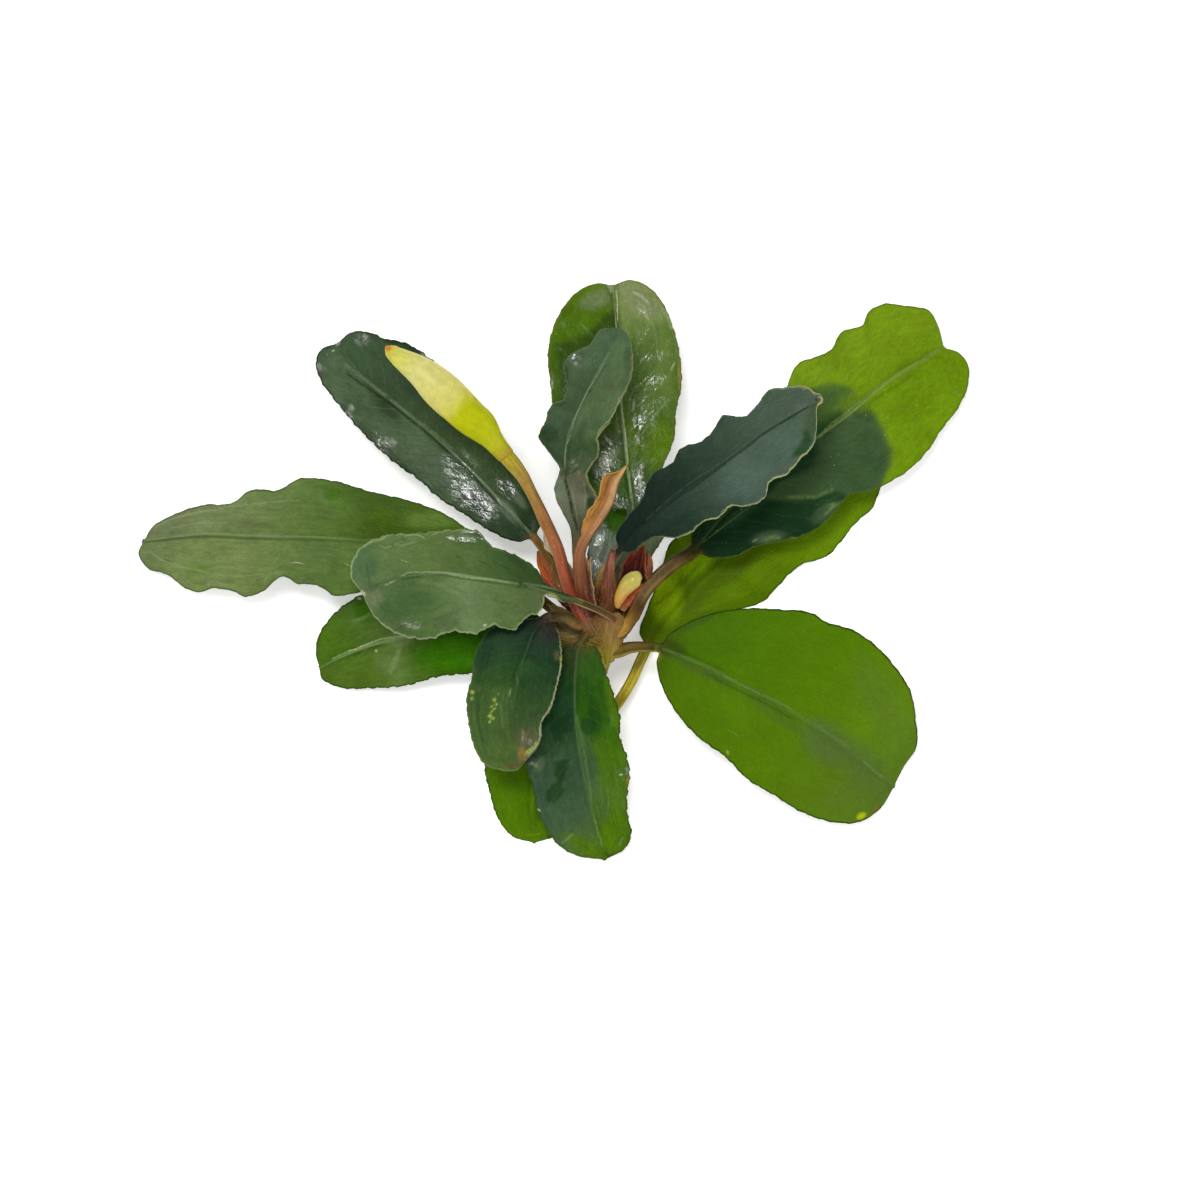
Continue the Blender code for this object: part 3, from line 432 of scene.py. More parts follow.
LOOKS = {
    "leaf_far_left": {
        "seed": 11,
        "blade": [
            (0.0, 68, 96, 16), (0.28, 76, 106, 28), (0.48, 94, 120, 58), (0.66, 110, 128, 70),
            (0.83, 115, 133, 74), (1.0, 104, 116, 74),
        ],
        "right_blade": [
            (0.0, 66, 94, 14), (0.3, 70, 100, 18), (0.48, 88, 114, 49), (0.66, 106, 125, 70),
            (0.83, 116, 131, 84), (1.0, 108, 118, 78),
        ],
        "patches": [
            ((66, 112, 2), 0.95, -35.0, 12.0, 1.5, 1.1, 20), ((72, 104, 4), 0.9, -27.4, 8.4, 2.4, 1.6, 0),
            ((92, 124, 40), 0.6, -56.6, 0.2, 2.6, 1.2, 0), ((96, 104, 66), 0.5, -48.0, 7.4, 4.0, 1.0, 0),
            # the patch at -19.4, 7.8 is painted light, brightening the shade that the near left leaf casts
            # here
            ((60, 92, 6), 0.5, -30.0, 12.0, 10.0, 1.6, -12), ((106, 140, 54), 0.7, -19.4, 7.8, 5.0, 1.6, 0),
        ],
        "midrib": (
            (136, 154, 110), [(0.0, 0.0), (0.3, 0.25), (0.5, 0.5), (0.75, 0.75), (0.97, 0.7), (1.0, 0.0)],
        ),
        "midrib_width": 0.27, "midrib_shade": (0.85, -0.5, 0.4), "dark": (54, 78, 24),
        "pale": (146, 160, 116), "streaks": 0.1, "frill": [(5.3, 0.22), (8.3, 0.16), (13.1, 0.08)],
        "margin": ((56, 70, 26), 0.6, 0.6),
        "petiole": [(0.0, 120, 66, 36), (0.35, 112, 90, 46), (1.0, 104, 98, 50)],
        "petiole_sides": ((82, 58, 30), None),
    },
    "leaf_near_left": {
        "seed": 23, "petiole_size": 0.66, "flare": (0.0, 1.5),
        "blade": [
            (0.0, 60, 66, 34), (0.1, 72, 90, 48), (0.23, 82, 102, 57), (0.36, 88, 112, 60),
            (0.5, 104, 128, 80), (0.66, 82, 106, 56), (0.84, 76, 102, 55), (1.0, 92, 108, 72),
        ],
        "right_blade": [
            (0.0, 56, 66, 32), (0.12, 46, 64, 28), (0.23, 50, 73, 32), (0.36, 66, 92, 44), (0.5, 84, 108, 54),
            (0.65, 92, 116, 60), (0.82, 98, 122, 70), (0.93, 88, 112, 70), (1.0, 100, 118, 80),
        ],
        "patches": [
            ((66, 96, 48), 0.95, -23.0, -5.4, 5.4, 2.2, 6), ((46, 70, 28), 0.8, -3.4, 0.4, 4.4, 1.6, -34),
            ((74, 104, 66), 0.7, -29.6, 1.0, 2.4, 3.4, 0), ((178, 166, 104), 0.95, -0.3, -4.6, 1.3, 0.9, -10),
            ((82, 102, 58), 0.8, -17.0, -8.4, 2.6, 1.0, 10),
            ((112, 122, 88), 0.6, -28.4, -4.4, 1.8, 1.6, -60),
        ],
        "wet": [(1.0, -13.2, 5.2, 3.4, 1.1, 4), (0.8, -22.6, -8.8, 2.4, 0.8, 0)],
        "bumps": [
            (0.7, -0.2, -4.6, 1.4, 1.2, 0), (0.35, -25.4, 4.6, 2.2, 0.8, 20), (0.35, -21.6, 5.0, 2.2, 0.8, 0),
            (-0.4, -23.4, 4.4, 0.7, 1.2, 0), (0.3, -13.4, 4.6, 3.0, 1.0, 0),
        ],
        "midrib": ((140, 160, 116), [(0.0, 0.1), (0.25, 0.25), (0.4, 0.7), (0.62, 0.85), (0.72, 0.0)]),
        "midrib_shade": (0.5, -0.5, 0.4),
        "margin": (
            (146, 158, 118), [(0.0, 0.9), (0.2, 0.6), (1.0, 0.85)], [(0.0, 0.0), (0.6, 0.2), (1.0, 0.9)],
        ),
        "margin_width": 0.3, "pale": (150, 168, 122), "glint_and_spot": (204, 208, 164), "pucker": (5.0, 0.11),
        "nibble": [(19.3, 0.1), (31.7, 0.08), (57.0, 0.05)],
        "petiole": [(0.0, 112, 70, 36), (0.5, 88, 64, 34), (1.0, 76, 72, 38)],
        "petiole_sides": ((172, 146, 96), (160, 128, 84)),
    },
    "leaf_lower_left": {
        "seed": 37, "specular": 0.03,
        "blade": [
            (0.0, 44, 90, 2), (0.34, 50, 102, 2), (0.46, 58, 103, 1), (0.55, 76, 112, 26),
            (0.64, 94, 122, 54), (0.76, 80, 111, 28), (1.0, 74, 100, 26),
        ],
        "right_blade": [
            (0.0, 46, 92, 2), (0.42, 50, 100, 1), (0.6, 78, 110, 36), (0.73, 80, 108, 42),
            (0.86, 76, 112, 20), (1.0, 74, 104, 26),
        ],
        "patches": [
            # the patch at -15.6, -13.4 is painted light, brightening the shade that the near left leaf casts
            # here
            ((48, 98, 0), 0.9, -30.4, -6.6, 1.8, 2.2, 30), ((72, 142, 2), 0.9, -15.6, -13.4, 6.8, 2.6, 4),
            ((132, 162, 92), 0.7, -24.5, -11.2, 2.4, 1.1, 0),
            ((100, 126, 62), 0.6, -26.4, -14.4, 2.0, 2.6, 100),
            ((58, 96, 4), 0.6, -33.6, -13.4, 3.0, 1.0, 20),
        ],
        "midrib": ((146, 168, 116), [(0.0, 0.0), (0.3, 0.1), (0.5, 0.6), (0.9, 0.6), (1.0, 0.1)]),
        "midrib_shade": (0.3, -0.6, 0.4), "pale": (162, 180, 128), "margin": ((36, 66, 4), 0.7, 0.7),
        "flecks": 0.15, "streaks": 0.06, "nibble": [(19.3, 0.08), (31.7, 0.06), (57.0, 0.05)],
    },
    "leaf_front_left": {
        "seed": 41,
        "blade": [
            (0.0, 40, 40, 30), (0.15, 26, 46, 28), (0.3, 22, 54, 28), (0.45, 34, 66, 30), (0.57, 48, 77, 33),
            (0.71, 60, 86, 44), (0.85, 82, 96, 58), (1.0, 86, 96, 58),
        ],
        "right_blade": [
            (0.0, 36, 38, 30), (0.12, 18, 42, 28), (0.25, 24, 58, 28), (0.4, 38, 72, 28), (0.46, 44, 78, 30),
            (0.5, 62, 90, 40), (0.7, 67, 94, 42), (0.85, 80, 106, 45), (1.0, 72, 96, 50),
        ],
        "patches": [
            ((44, 36, 32), 0.8, -0.6, -9.2, 2.6, 1.4, -60), ((16, 46, 28), 0.6, -10.6, -13.4, 3.4, 1.4, 70),
            ((40, 82, 30), 0.5, -4.0, -15.6, 2.4, 1.6, 0), ((152, 128, 66), 0.8, -4.9, -29.2, 0.8, 1.5, 0),
            ((96, 92, 60), 0.5, 0.6, -13.6, 0.5, 0.9, 0), ((92, 88, 56), 0.6, -4.2, -26.6, 1.6, 2.0, 90),
            ((110, 96, 52), 0.6, -6.0, -31.0, 2.2, 0.5, 10),
        ],
        "margin": (
            (166, 162, 118), [(0.0, 0.0), (0.22, 0.5), (0.4, 0.5), (1.0, 0.4)],
            [(0.0, 0.1), (0.8, 0.1), (1.0, 0.5)],
        ),
        "midrib": ((82, 108, 64), [(0.0, 0.0), (0.2, 0.3), (0.6, 0.25), (1.0, 0.0)]),
        "midrib_shade": (0.2, 0.5, 0.5), "dark": (18, 42, 22), "pale": (172, 172, 136),
        "glint_and_spot": (186, 200, 84), "streaks": 0.12, "wet": [(0.7, -2.6, -28.6, 1.6, 0.8, -50)],
        "petiole": [(0.0, 118, 72, 38), (0.5, 112, 90, 48), (1.0, 62, 52, 36)],
        "petiole_sides": ((70, 52, 30), None),
    },
    "leaf_front": {
        "seed": 53, "specular": 0.03,
        "blade": [
            (0.0, 84, 70, 34), (0.03, 72, 72, 30), (0.1, 50, 88, 28), (0.22, 42, 83, 13), (0.35, 48, 92, 8),
            (0.5, 74, 114, 10), (0.7, 78, 112, 26), (0.8, 79, 115, 8), (1.0, 70, 102, 4),
        ],
        "right_blade": [
            (0.0, 70, 60, 34), (0.03, 52, 60, 30), (0.17, 32, 66, 28), (0.3, 28, 64, 32), (0.42, 42, 72, 40),
            (0.52, 54, 80, 54), (0.61, 58, 86, 58), (0.76, 66, 93, 60), (0.85, 84, 112, 52),
            (0.92, 76, 108, 20), (1.0, 70, 100, 6),
        ],
        "patches": [
            ((34, 78, 14), 0.8, 6.6, -22.4, 4.4, 1.1, 100), ((62, 92, 56), 0.85, 5.8, -31.5, 6.5, 1.5, 100),
            ((74, 104, 44), 0.7, 7.4, -37.5, 4.0, 1.5, 100), ((80, 118, 4), 0.9, 9.6, -42.0, 3.6, 2.2, 70),
            ((80, 116, 8), 0.9, 4.6, -43.8, 3.4, 1.2, -30), ((84, 120, 10), 0.7, 9.4, -21.0, 5.0, 1.0, 100),
            ((26, 62, 30), 0.8, 1.4, -22.8, 4.4, 1.8, 80), ((158, 140, 56), 0.85, 12.0, -33.6, 1.3, 0.35, 90),
            # the patch at -2.2, -31.0 is a painted highlight, and the one at -1.8, -35.0 is painted sheen
            ((96, 112, 84), 0.7, -2.2, -31.0, 1.6, 0.9, 70), ((82, 70, 18), 0.7, 9.4, -45.8, 1.0, 0.6, 0),
            ((56, 80, 60), 0.5, -1.8, -35.0, 4.0, 1.2, 100),
        ],
        "zones": [
            (
                (26, 60, 24), 0.85, 0.3,
                [
                    (0.4, -30.6), (1.7, -30.1), (2.5, -30.4), (2.2, -31.9), (1.7, -33.4), (1.2, -34.2),
                    (0.3, -32.7),
                ],
            ),
            (
                (28, 64, 24), 0.8, 0.3,
                [
                    (-0.5, -34.2), (1.1, -33.4), (1.9, -35.0), (1.2, -36.2), (0.1, -37.4), (-1.0, -36.8),
                    (-1.1, -35.4),
                ],
            ),
            (
                (20, 54, 28), 0.75, 0.35,
                [
                    (0.7, -23.1), (2.8, -22.9), (3.0, -25.6), (1.5, -25.8), (1.4, -27.4), (0.2, -27.2),
                    (-0.6, -24.8),
                ],
            ),
            (
                (26, 66, 26), 0.75, 0.35,
                [(4.6, -23.4), (6.6, -24.0), (6.9, -25.6), (5.4, -26.4), (4.3, -25.2)],
            ),
        ],
        "wet": [(0.9, 11.4, -32.2, 1.2, 1.0, 90), (0.6, -3.4, -30.8, 1.4, 0.7, 60)],
        "bumps": [(0.3, 11.2, -32.2, 1.6, 0.8, 90), (-0.3, -0.8, -29.4, 1.4, 0.8, 0)],
        "midrib": ((110, 134, 96), [(0.0, 0.2), (0.2, 0.35), (0.5, 0.3), (0.75, 0.2), (1.0, 0.0)]),
        "midrib_shade": (0.35, -0.6, 0.4), "dark": (22, 54, 22), "pale": (140, 162, 112),
        "glint_and_spot": (224, 226, 176), "roughness": 0.4, "streaks": 0.1,
        "nibble": [(19.3, 0.09), (31.7, 0.06), (57.0, 0.05)],
        "petiole": [(0.0, 110, 84, 40), (0.7, 104, 84, 42), (1.0, 84, 80, 40)], "petiole_size": 0.6,
        "flare": (0.0, 1.0),
    },
    "leaf_under_front": {
        "seed": 59, "specular": 0.03,
        "blade": [(0.0, 66, 106, 1), (0.5, 78, 119, 1), (0.8, 84, 123, 1), (1.0, 84, 124, 3)],
        "patches": [((58, 92, 0), 0.6, -2.0, -36.0, 6.0, 0.9, 78)],
        "midrib": ((96, 124, 40), [(0.0, 0.3), (1.0, 0.1)]), "midrib_shade": (0.2, 0.5, 0.4),
        "dark": (40, 66, 4), "glint_and_spot": (170, 190, 40), "margin": ((40, 70, 2), 0.6, 0.7), "mottle": 0.07,
        "petiole": [(0.0, 130, 110, 30), (1.0, 96, 104, 14)],
    },
    "leaf_round_right": {
        "seed": 61, "flare": (1.5, 2.6), "petiole_size": 0.85, "specular": 0.03,
        "blade": [
            (0.0, 62, 84, 8), (0.12, 70, 108, 1), (0.3, 76, 116, 1), (0.55, 84, 122, 1), (0.75, 93, 129, 12),
            (1.0, 90, 120, 34),
        ],
        "right_blade": [
            (0.0, 60, 84, 8), (0.12, 76, 110, 2), (0.3, 81, 119, 2), (0.55, 86, 122, 3), (0.75, 88, 120, 18),
            (1.0, 88, 116, 40),
        ],
        "patches": [
            ((52, 74, 12), 0.9, 18.6, -12.4, 2.8, 1.5, -20), ((58, 84, 18), 0.6, 23.0, -8.2, 4.0, 0.8, 26),
            ((72, 98, 30), 0.75, 24.0, -16.2, 6.0, 1.0, -26),
            ((76, 104, 32), 0.55, 35.0, -22.4, 7.0, 1.5, -36),
            ((84, 110, 48), 0.8, 43.6, -27.6, 5.0, 3.4, -40),
            ((92, 122, 34), 0.6, 52.4, -21.0, 8.5, 3.2, -62),
            ((84, 112, 46), 0.7, 49.6, -31.4, 5.4, 3.0, -52), ((90, 118, 34), 0.5, 47.5, -35.4, 6.0, 2.2, 18),
            ((178, 190, 10), 1.0, 49.2, -39.3, 0.9, 0.55, 30),
            ((120, 108, 30), 0.7, 51.4, -38.3, 1.2, 0.4, 45),
        ],
        "midrib": ((104, 132, 70), [(0.0, 0.3), (0.2, 0.15), (0.5, 0.2), (0.95, 0.3), (1.0, 0.0)]),
        "midrib_shade": (0.25, 0.7, 0.6), "frill": [(4.3, 0.16), (9.7, 0.08), (15.1, 0.05)], "bulge": 0.35,
        "veins": 0.02, "net": 0.03, "mottle": 0.06, "streaks": 0.02, "dark": (46, 76, 4),
        "pale": (118, 146, 84), "glint_and_spot": (196, 214, 120), "margin": ((34, 60, 2), 0.8, 0.75),
        "roughness": 0.48,
        "petiole": [(0.0, 124, 100, 34), (0.4, 104, 82, 38), (0.8, 96, 80, 34), (1.0, 76, 78, 22)],
        "petiole_sides": ((66, 54, 26), (160, 146, 58)),
    },
    "leaf_back_right": {
        "seed": 67, "specular": 0.03,
        "blade": [(0.0, 100, 132, 3), (0.3, 104, 138, 3), (0.6, 104, 140, 3), (1.0, 98, 130, 6)],
        "patches": [
            ((84, 112, 2), 0.6, 27.0, -1.5, 10.0, 1.6, 40), ((92, 126, 4), 0.5, 30.0, -6.6, 8.0, 2.4, 32),
            # these two patches are painted light, brightening the shade of the long right leaf's petiole and
            # blade
            ((172, 214, 8), 0.95, 18.0, -4.4, 2.8, 4.4, 0), ((152, 198, 6), 0.95, 22.8, 1.8, 4.8, 2.4, 40),
            ((110, 150, 4), 0.6, 27.0, -4.6, 4.0, 2.0, 20),
        ],
        "midrib": ((92, 104, 20), [(0.0, 0.5), (0.3, 0.4), (1.0, 0.3)]), "midrib_shade": (0.5, -0.5, 0.5),
        "vein_sweep": 0.3, "net": 0.03, "mottle": 0.07, "dark": (58, 78, 2), "pale": (128, 158, 44),
        "glint_and_spot": (186, 206, 60), "margin": ((58, 84, 2), 0.7, 0.7), "roughness": 0.46,
        # the petiole's own yellow is made brighter near the blade and on its right side: painted light
        # against the round right leaf's shade
        "petiole": [
            (0.0, 150, 136, 34), (0.4, 188, 168, 50), (0.7, 206, 186, 60), (0.9, 232, 214, 84),
            (1.0, 150, 150, 30),
        ],
        "petiole_sides": ((124, 100, 16), (210, 196, 80)),
    },
    "leaf_long_right": {
        "seed": 71, "petiole_size": 1.3, "flare": (0.0, 2.2), "specular": 0.04,
        # The dark lower half of this blade, in the blade stops, the zones of 24, 58, 30 and 34, 70, 28 and
        # the patches at 28.0, 5.0, 30.0, 9.0 and 45.4, 27.6, is painted shade where the dark right leaf lies
        # over it and the back right leaf under it; the zone of 62, 88, 50 is painted sheen over that shade,
        # and the patch at 34.2, 5.2 is a painted highlight.
        "blade": [
            (0.0, 18, 50, 22), (0.3, 18, 52, 24), (0.5, 44, 74, 42), (0.75, 114, 143, 30),
            (1.0, 116, 144, 22),
        ],
        "right_blade": [
            (0.0, 16, 50, 22), (0.3, 20, 54, 26), (0.45, 36, 68, 36), (0.55, 62, 86, 48), (0.62, 66, 90, 50),
            (0.75, 98, 132, 3), (1.0, 106, 138, 8),
        ],
        "zones": [
            (
                (116, 148, 14), 1.0, 0.4,
                [
                    (36.0, 27.6), (44.1, 29.9), (47.3, 29.2), (49.6, 27.2), (51.2, 25.2), (53.1, 22.1),
                    (54.1, 19.0), (53.9, 16.6), (52.6, 13.8), (52.4, 11.0), (72.0, 16.0), (72.0, 48.0),
                    (34.0, 46.0), (30.0, 30.0),
                ],
            ),
            (
                (106, 141, 2), 0.9, 2.6,
                [
                    (46.0, 27.0), (58.0, 35.0), (63.0, 36.0), (68.0, 34.0), (68.0, 24.0), (60.0, 15.0),
                    (53.0, 13.0), (54.6, 19.0), (51.8, 25.0),
                ],
            ),
            (
                (62, 88, 50), 0.9, 0.5,
                [
                    (33.6, 11.3), (39.4, 11.0), (44.8, 12.6), (47.6, 11.6), (51.4, 12.2), (53.4, 17.0),
                    (52.8, 21.0), (50.6, 25.4), (48.0, 25.0), (44.0, 20.6), (40.4, 15.8), (36.0, 14.0),
                ],
            ),
            (
                (24, 58, 30), 0.8, 0.6,
                [(33.0, 12.2), (37.0, 14.6), (42.0, 18.6), (41.0, 20.0), (35.4, 16.6), (30.6, 13.0)],
            ),
            ((34, 70, 28), 0.8, 0.7, [(42.6, 20.8), (46.8, 24.2), (45.8, 25.6), (41.2, 22.6)]),
        ],
        "patches": [
            ((124, 146, 58), 0.7, 46.4, 34.8, 5.0, 3.0, 30), ((104, 134, 30), 0.7, 43.0, 31.0, 3.0, 2.0, 30),
            ((54, 84, 48), 0.7, 45.4, 27.6, 4.0, 1.4, 10), ((94, 118, 52), 0.8, 49.6, 29.2, 3.4, 1.0, 34),
            ((92, 112, 84), 0.5, 34.2, 5.2, 3.2, 1.1, 10), ((124, 148, 62), 0.6, 47.6, 36.0, 3.4, 2.6, 30),
            ((82, 102, 68), 0.5, 43.4, 9.2, 3.0, 1.2, 36), ((16, 46, 24), 0.6, 28.0, 5.0, 5.0, 1.6, 10),
            ((44, 74, 46), 0.7, 30.0, 9.0, 5.0, 1.0, 38), ((74, 60, 24), 0.8, 20.6, 2.6, 2.4, 1.2, 30),
        ],
        "midrib": (
            (150, 170, 104), [(0.0, 0.1), (0.3, 0.1), (0.5, 0.35), (0.62, 0.5), (0.95, 0.5), (1.0, 0.1)],
        ),
        "midrib_width": 0.38, "midrib_shade": (0.25, -0.8, 0.6), "margin": ((84, 104, 10), 0.6, 0.6),
        "veins": 0.04, "net": 0.05, "flecks": 0.6, "fleck_scale": 0.8, "dark": (24, 52, 20),
        "pale": (128, 150, 84), "glint_and_spot": (206, 214, 110), "pucker": (4.0, 0.09), "relief": 0.2,
        "petiole": [
            (0.0, 150, 118, 48), (0.14, 170, 128, 56), (0.24, 138, 104, 44), (0.36, 86, 62, 32),
            (0.5, 124, 102, 64), (0.7, 118, 96, 58), (0.85, 96, 78, 42), (1.0, 66, 60, 22),
        ],
        "petiole_sides": ((66, 44, 28), (104, 78, 32)),
    },
    "leaf_dark_right": {
        "seed": 73,
        # The blade stops grow from dark blue-green at the base to a lighter grey-green towards the tip: its
        # own colour with painted sheen over the outer half. The patches at 29.6, 13.6 and 39.6, 25.4 are
        # painted sheen too.
        "blade": [
            (0.0, 12, 28, 22), (0.15, 16, 34, 25), (0.34, 27, 47, 33), (0.5, 46, 67, 50), (0.65, 64, 84, 66),
            (0.8, 74, 92, 74), (1.0, 80, 98, 78),
        ],
        "right_blade": [
            (0.0, 14, 30, 23), (0.15, 21, 40, 29), (0.3, 32, 53, 39), (0.45, 54, 76, 59), (0.56, 74, 95, 80),
            (0.8, 78, 99, 83), (1.0, 80, 98, 70),
        ],
        "patches": [
            ((84, 104, 92), 0.5, 29.6, 13.6, 5.0, 2.2, 34), ((66, 90, 52), 0.7, 40.8, 23.2, 3.2, 0.9, 88),
            ((120, 92, 60), 0.2, 36.6, 16.0, 1.6, 0.4, 30), ((92, 104, 92), 0.5, 39.6, 25.4, 1.6, 1.0, 0),
        ],
        "zones": [
            (
                (34, 66, 30), 0.85, 0.35,
                [
                    (39.5, 21.8), (40.2, 22.1), (41.0, 20.5), (40.3, 18.9), (39.1, 18.0), (37.8, 17.7),
                    (38.0, 18.6), (38.9, 19.5), (39.5, 20.8),
                ],
            ),
        ],
        "bumps": [(0.25, 42.4, 26.9, 0.5, 0.6, 0)],
        "midrib": ((34, 54, 38), [(0.0, 0.1), (0.3, 0.4), (0.7, 0.7), (1.0, 0.4)]), "midrib_width": 0.28,
        "midrib_shade": (0.0, 0.5, 0.4),
        "margin": (
            (174, 176, 116), [(0.0, 0.0), (0.8, 0.0), (0.87, 0.5), (1.0, 0.7)],
            [(0.0, 0.0), (0.2, 0.3), (0.3, 0.75), (1.0, 0.95)],
        ),
        "margin_width": 0.26, "dark": (20, 38, 28), "pale": (104, 124, 104), "glint_and_spot": (206, 180, 104),
        "vein": (104, 124, 108), "veins": 0.04, "net": 0.05, "mottle": 0.08, "streaks": 0.07,
        "frill": [(6.3, 0.3), (10.1, 0.18), (15.7, 0.08)],
        "petiole": [(0.0, 100, 60, 40), (0.5, 110, 70, 48), (0.9, 110, 74, 60), (1.0, 36, 40, 32)],
        "petiole_size": 0.6, "flare": (0.0, 1.0), "under": [(0.0, 86, 98, 66), (1.0, 96, 112, 80)],
    },
    "leaf_top_round": {
        "seed": 79, "specular": 0.03,
        "blade": [
            (0.0, 60, 94, 36), (0.25, 66, 100, 36), (0.5, 72, 104, 12), (0.76, 77, 110, 9),
            (0.9, 86, 118, 12), (1.0, 100, 128, 50),
        ],
        "right_blade": [
            (0.0, 72, 98, 60), (0.17, 74, 102, 48), (0.3, 86, 118, 26), (0.5, 92, 122, 46),
            (0.68, 90, 119, 44), (0.84, 124, 144, 80), (1.0, 134, 146, 92),
        ],
        # this zone is a painted shadow of the top wavy leaf, along its edge
        "zones": [
            (
                (50, 78, 18), 0.9, 0.7,
                [
                    (0.2, 36.0), (4.2, 36.9), (6.4, 38.6), (8.4, 40.8), (10.4, 41.6), (10.8, 37.0),
                    (8.0, 34.6), (4.0, 33.4), (2.4, 32.4), (2.6, 28.4), (2.4, 26.0), (0.6, 26.4), (1.2, 30.0),
                ],
            ),
        ],
        "patches": [
            ((124, 146, 84), 0.9, 6.8, 43.2, 3.0, 1.6, 20), ((100, 122, 60), 0.6, 9.6, 43.6, 1.4, 2.4, 0),
            ((142, 152, 100), 0.7, 14.0, 42.6, 4.6, 2.0, -40),
            ((114, 140, 62), 0.7, 17.8, 32.4, 6.0, 1.6, 92), ((160, 154, 60), 0.6, 20.1, 31.0, 3.0, 0.35, 92),
            ((98, 133, 4), 0.9, 17.0, 20.0, 4.4, 2.2, 74), ((104, 130, 60), 0.7, 14.6, 27.0, 4.0, 1.8, 60),
            ((78, 108, 20), 0.7, 12.6, 33.0, 6.0, 1.2, 92), ((72, 100, 36), 0.8, 9.2, 20.6, 3.0, 1.4, 100),
            # the patch at 8.4, 17.4 is a painted highlight on the glossy base, and the one at 10.6, 23.6 is
            # painted light, brightening the top wavy leaf's shade
            ((168, 184, 140), 0.8, 8.4, 17.4, 2.6, 1.3, 50), ((136, 156, 98), 0.7, 10.6, 23.6, 2.4, 0.8, 90),
            ((28, 80, 6), 0.95, 9.6, 8.0, 1.6, 2.6, 20), ((82, 104, 56), 0.6, 13.0, 11.0, 2.4, 1.4, 60),
        ],
        "wet": [
            (1.0, 8.6, 18.0, 4.6, 2.6, 60), (1.0, 13.2, 25.4, 5.4, 1.1, 98), (1.0, 13.8, 13.6, 3.8, 1.1, 96),
            (0.5, 15.0, 32.0, 9.0, 3.4, 88), (0.7, 6.8, 43.0, 3.0, 1.8, 20), (1.0, 10.4, 10.4, 2.2, 1.6, -40),
            (0.5, 14.6, 42.4, 4.0, 2.0, -42),
        ],
        "midrib": ((186, 198, 150), [(0.0, 0.3), (0.15, 0.5), (0.6, 0.7), (0.97, 0.5), (1.0, 0.0)]),
        "midrib_width": 0.25, "midrib_shade": (0.5, -0.5, 0.4), "veins": 0.1, "vein_count": 13.0, "net": 0.12,
        "flecks": 0.7, "fleck_scale": 1.3, "vein": (150, 166, 110), "dark": (40, 66, 14),
        "pale": (206, 212, 168), "glint_and_spot": (234, 238, 214), "bulge": 0.6, "pucker": (3.4, 0.09), "relief": 0.3,
        "roughness": 0.36, "coat": 0.05, "wet_roughness": 0.17, "margin": ((110, 108, 52), 0.5, 0.6),
        "petiole": [(0.0, 130, 92, 52), (0.3, 126, 120, 92), (1.0, 96, 106, 66)],
    },
    "leaf_top_wavy": {
        "seed": 83,
        "blade": [
            (0.0, 80, 84, 54), (0.1, 96, 102, 78), (0.2, 112, 120, 98), (0.27, 98, 108, 84),
            (0.33, 62, 82, 54), (0.5, 62, 84, 56), (0.7, 72, 96, 62), (0.9, 76, 100, 70), (1.0, 70, 94, 64),
        ],
        "right_blade": [
            (0.0, 76, 80, 54), (0.1, 92, 94, 72), (0.2, 110, 112, 88), (0.27, 98, 104, 78),
            (0.33, 72, 88, 54), (0.42, 60, 84, 48), (0.5, 80, 102, 64), (0.7, 82, 104, 66),
            (0.9, 80, 104, 68), (1.0, 70, 94, 62),
        ],
        "patches": [
            ((36, 62, 32), 0.8, -0.8, 21.4, 1.9, 1.6, 0), ((50, 76, 44), 0.7, 4.0, 20.4, 3.6, 0.8, 72),
            ((116, 110, 90), 0.45, 4.2, 14.0, 2.0, 1.2, 70), ((34, 60, 28), 0.95, 6.0, 10.4, 1.5, 0.8, 80),
            ((168, 140, 84), 0.8, 6.6, 12.2, 0.7, 0.35, -60), ((52, 74, 48), 0.6, 1.4, 30.4, 3.6, 0.9, 84),
            ((90, 112, 84), 0.6, 4.2, 33.0, 1.6, 1.4, 0), ((54, 80, 42), 0.6, 12.0, 33.0, 2.6, 0.9, 90),
        ],
        "wet": [(1.0, 3.4, 33.4, 1.0, 0.8, 0), (0.5, 3.4, 16.0, 2.4, 1.0, 80)],
        "bumps": [
            (0.5, 3.2, 33.6, 1.5, 1.2, 0), (-0.5, 2.4, 15.4, 2.4, 0.6, 30), (0.4, 5.0, 14.0, 1.8, 0.9, 70),
        ],
        "midrib": ((134, 152, 116), [(0.0, 0.0), (0.31, 0.0), (0.34, 0.3), (0.75, 0.35), (0.9, 0.0)]),
        "midrib_width": 0.2, "midrib_shade": (0.6, 0.5, 0.4),
        "margin": (
            (150, 150, 100), [(0.0, 0.0), (1.0, 0.1)], [(0.0, 0.3), (0.4, 0.7), (0.8, 0.4), (1.0, 0.0)],
        ),
        "margin_width": 0.26, "frill": [(5.3, 0.26), (8.9, 0.2), (14.7, 0.08)], "dark": (34, 54, 30),
        "pale": (146, 160, 122), "glint_and_spot": (210, 222, 206), "pucker": (3.6, 0.1), "mottle": 0.13,
        "petiole": [(0.0, 122, 56, 42), (0.5, 96, 84, 56), (1.0, 84, 84, 54)],
        "under": [(0.0, 98, 108, 66), (1.0, 106, 122, 80)],
    },
    "leaf_upper_left": {
        "seed": 89,
        "blade": [
            (0.0, 46, 66, 38), (0.1, 52, 74, 44), (0.3, 66, 88, 58), (0.5, 72, 94, 62), (0.7, 70, 92, 60),
            (0.9, 77, 99, 68), (1.0, 68, 90, 60),
        ],
        "right_blade": [
            (0.0, 40, 64, 38), (0.15, 50, 74, 40), (0.35, 64, 88, 44), (0.55, 54, 76, 40), (0.75, 52, 76, 44),
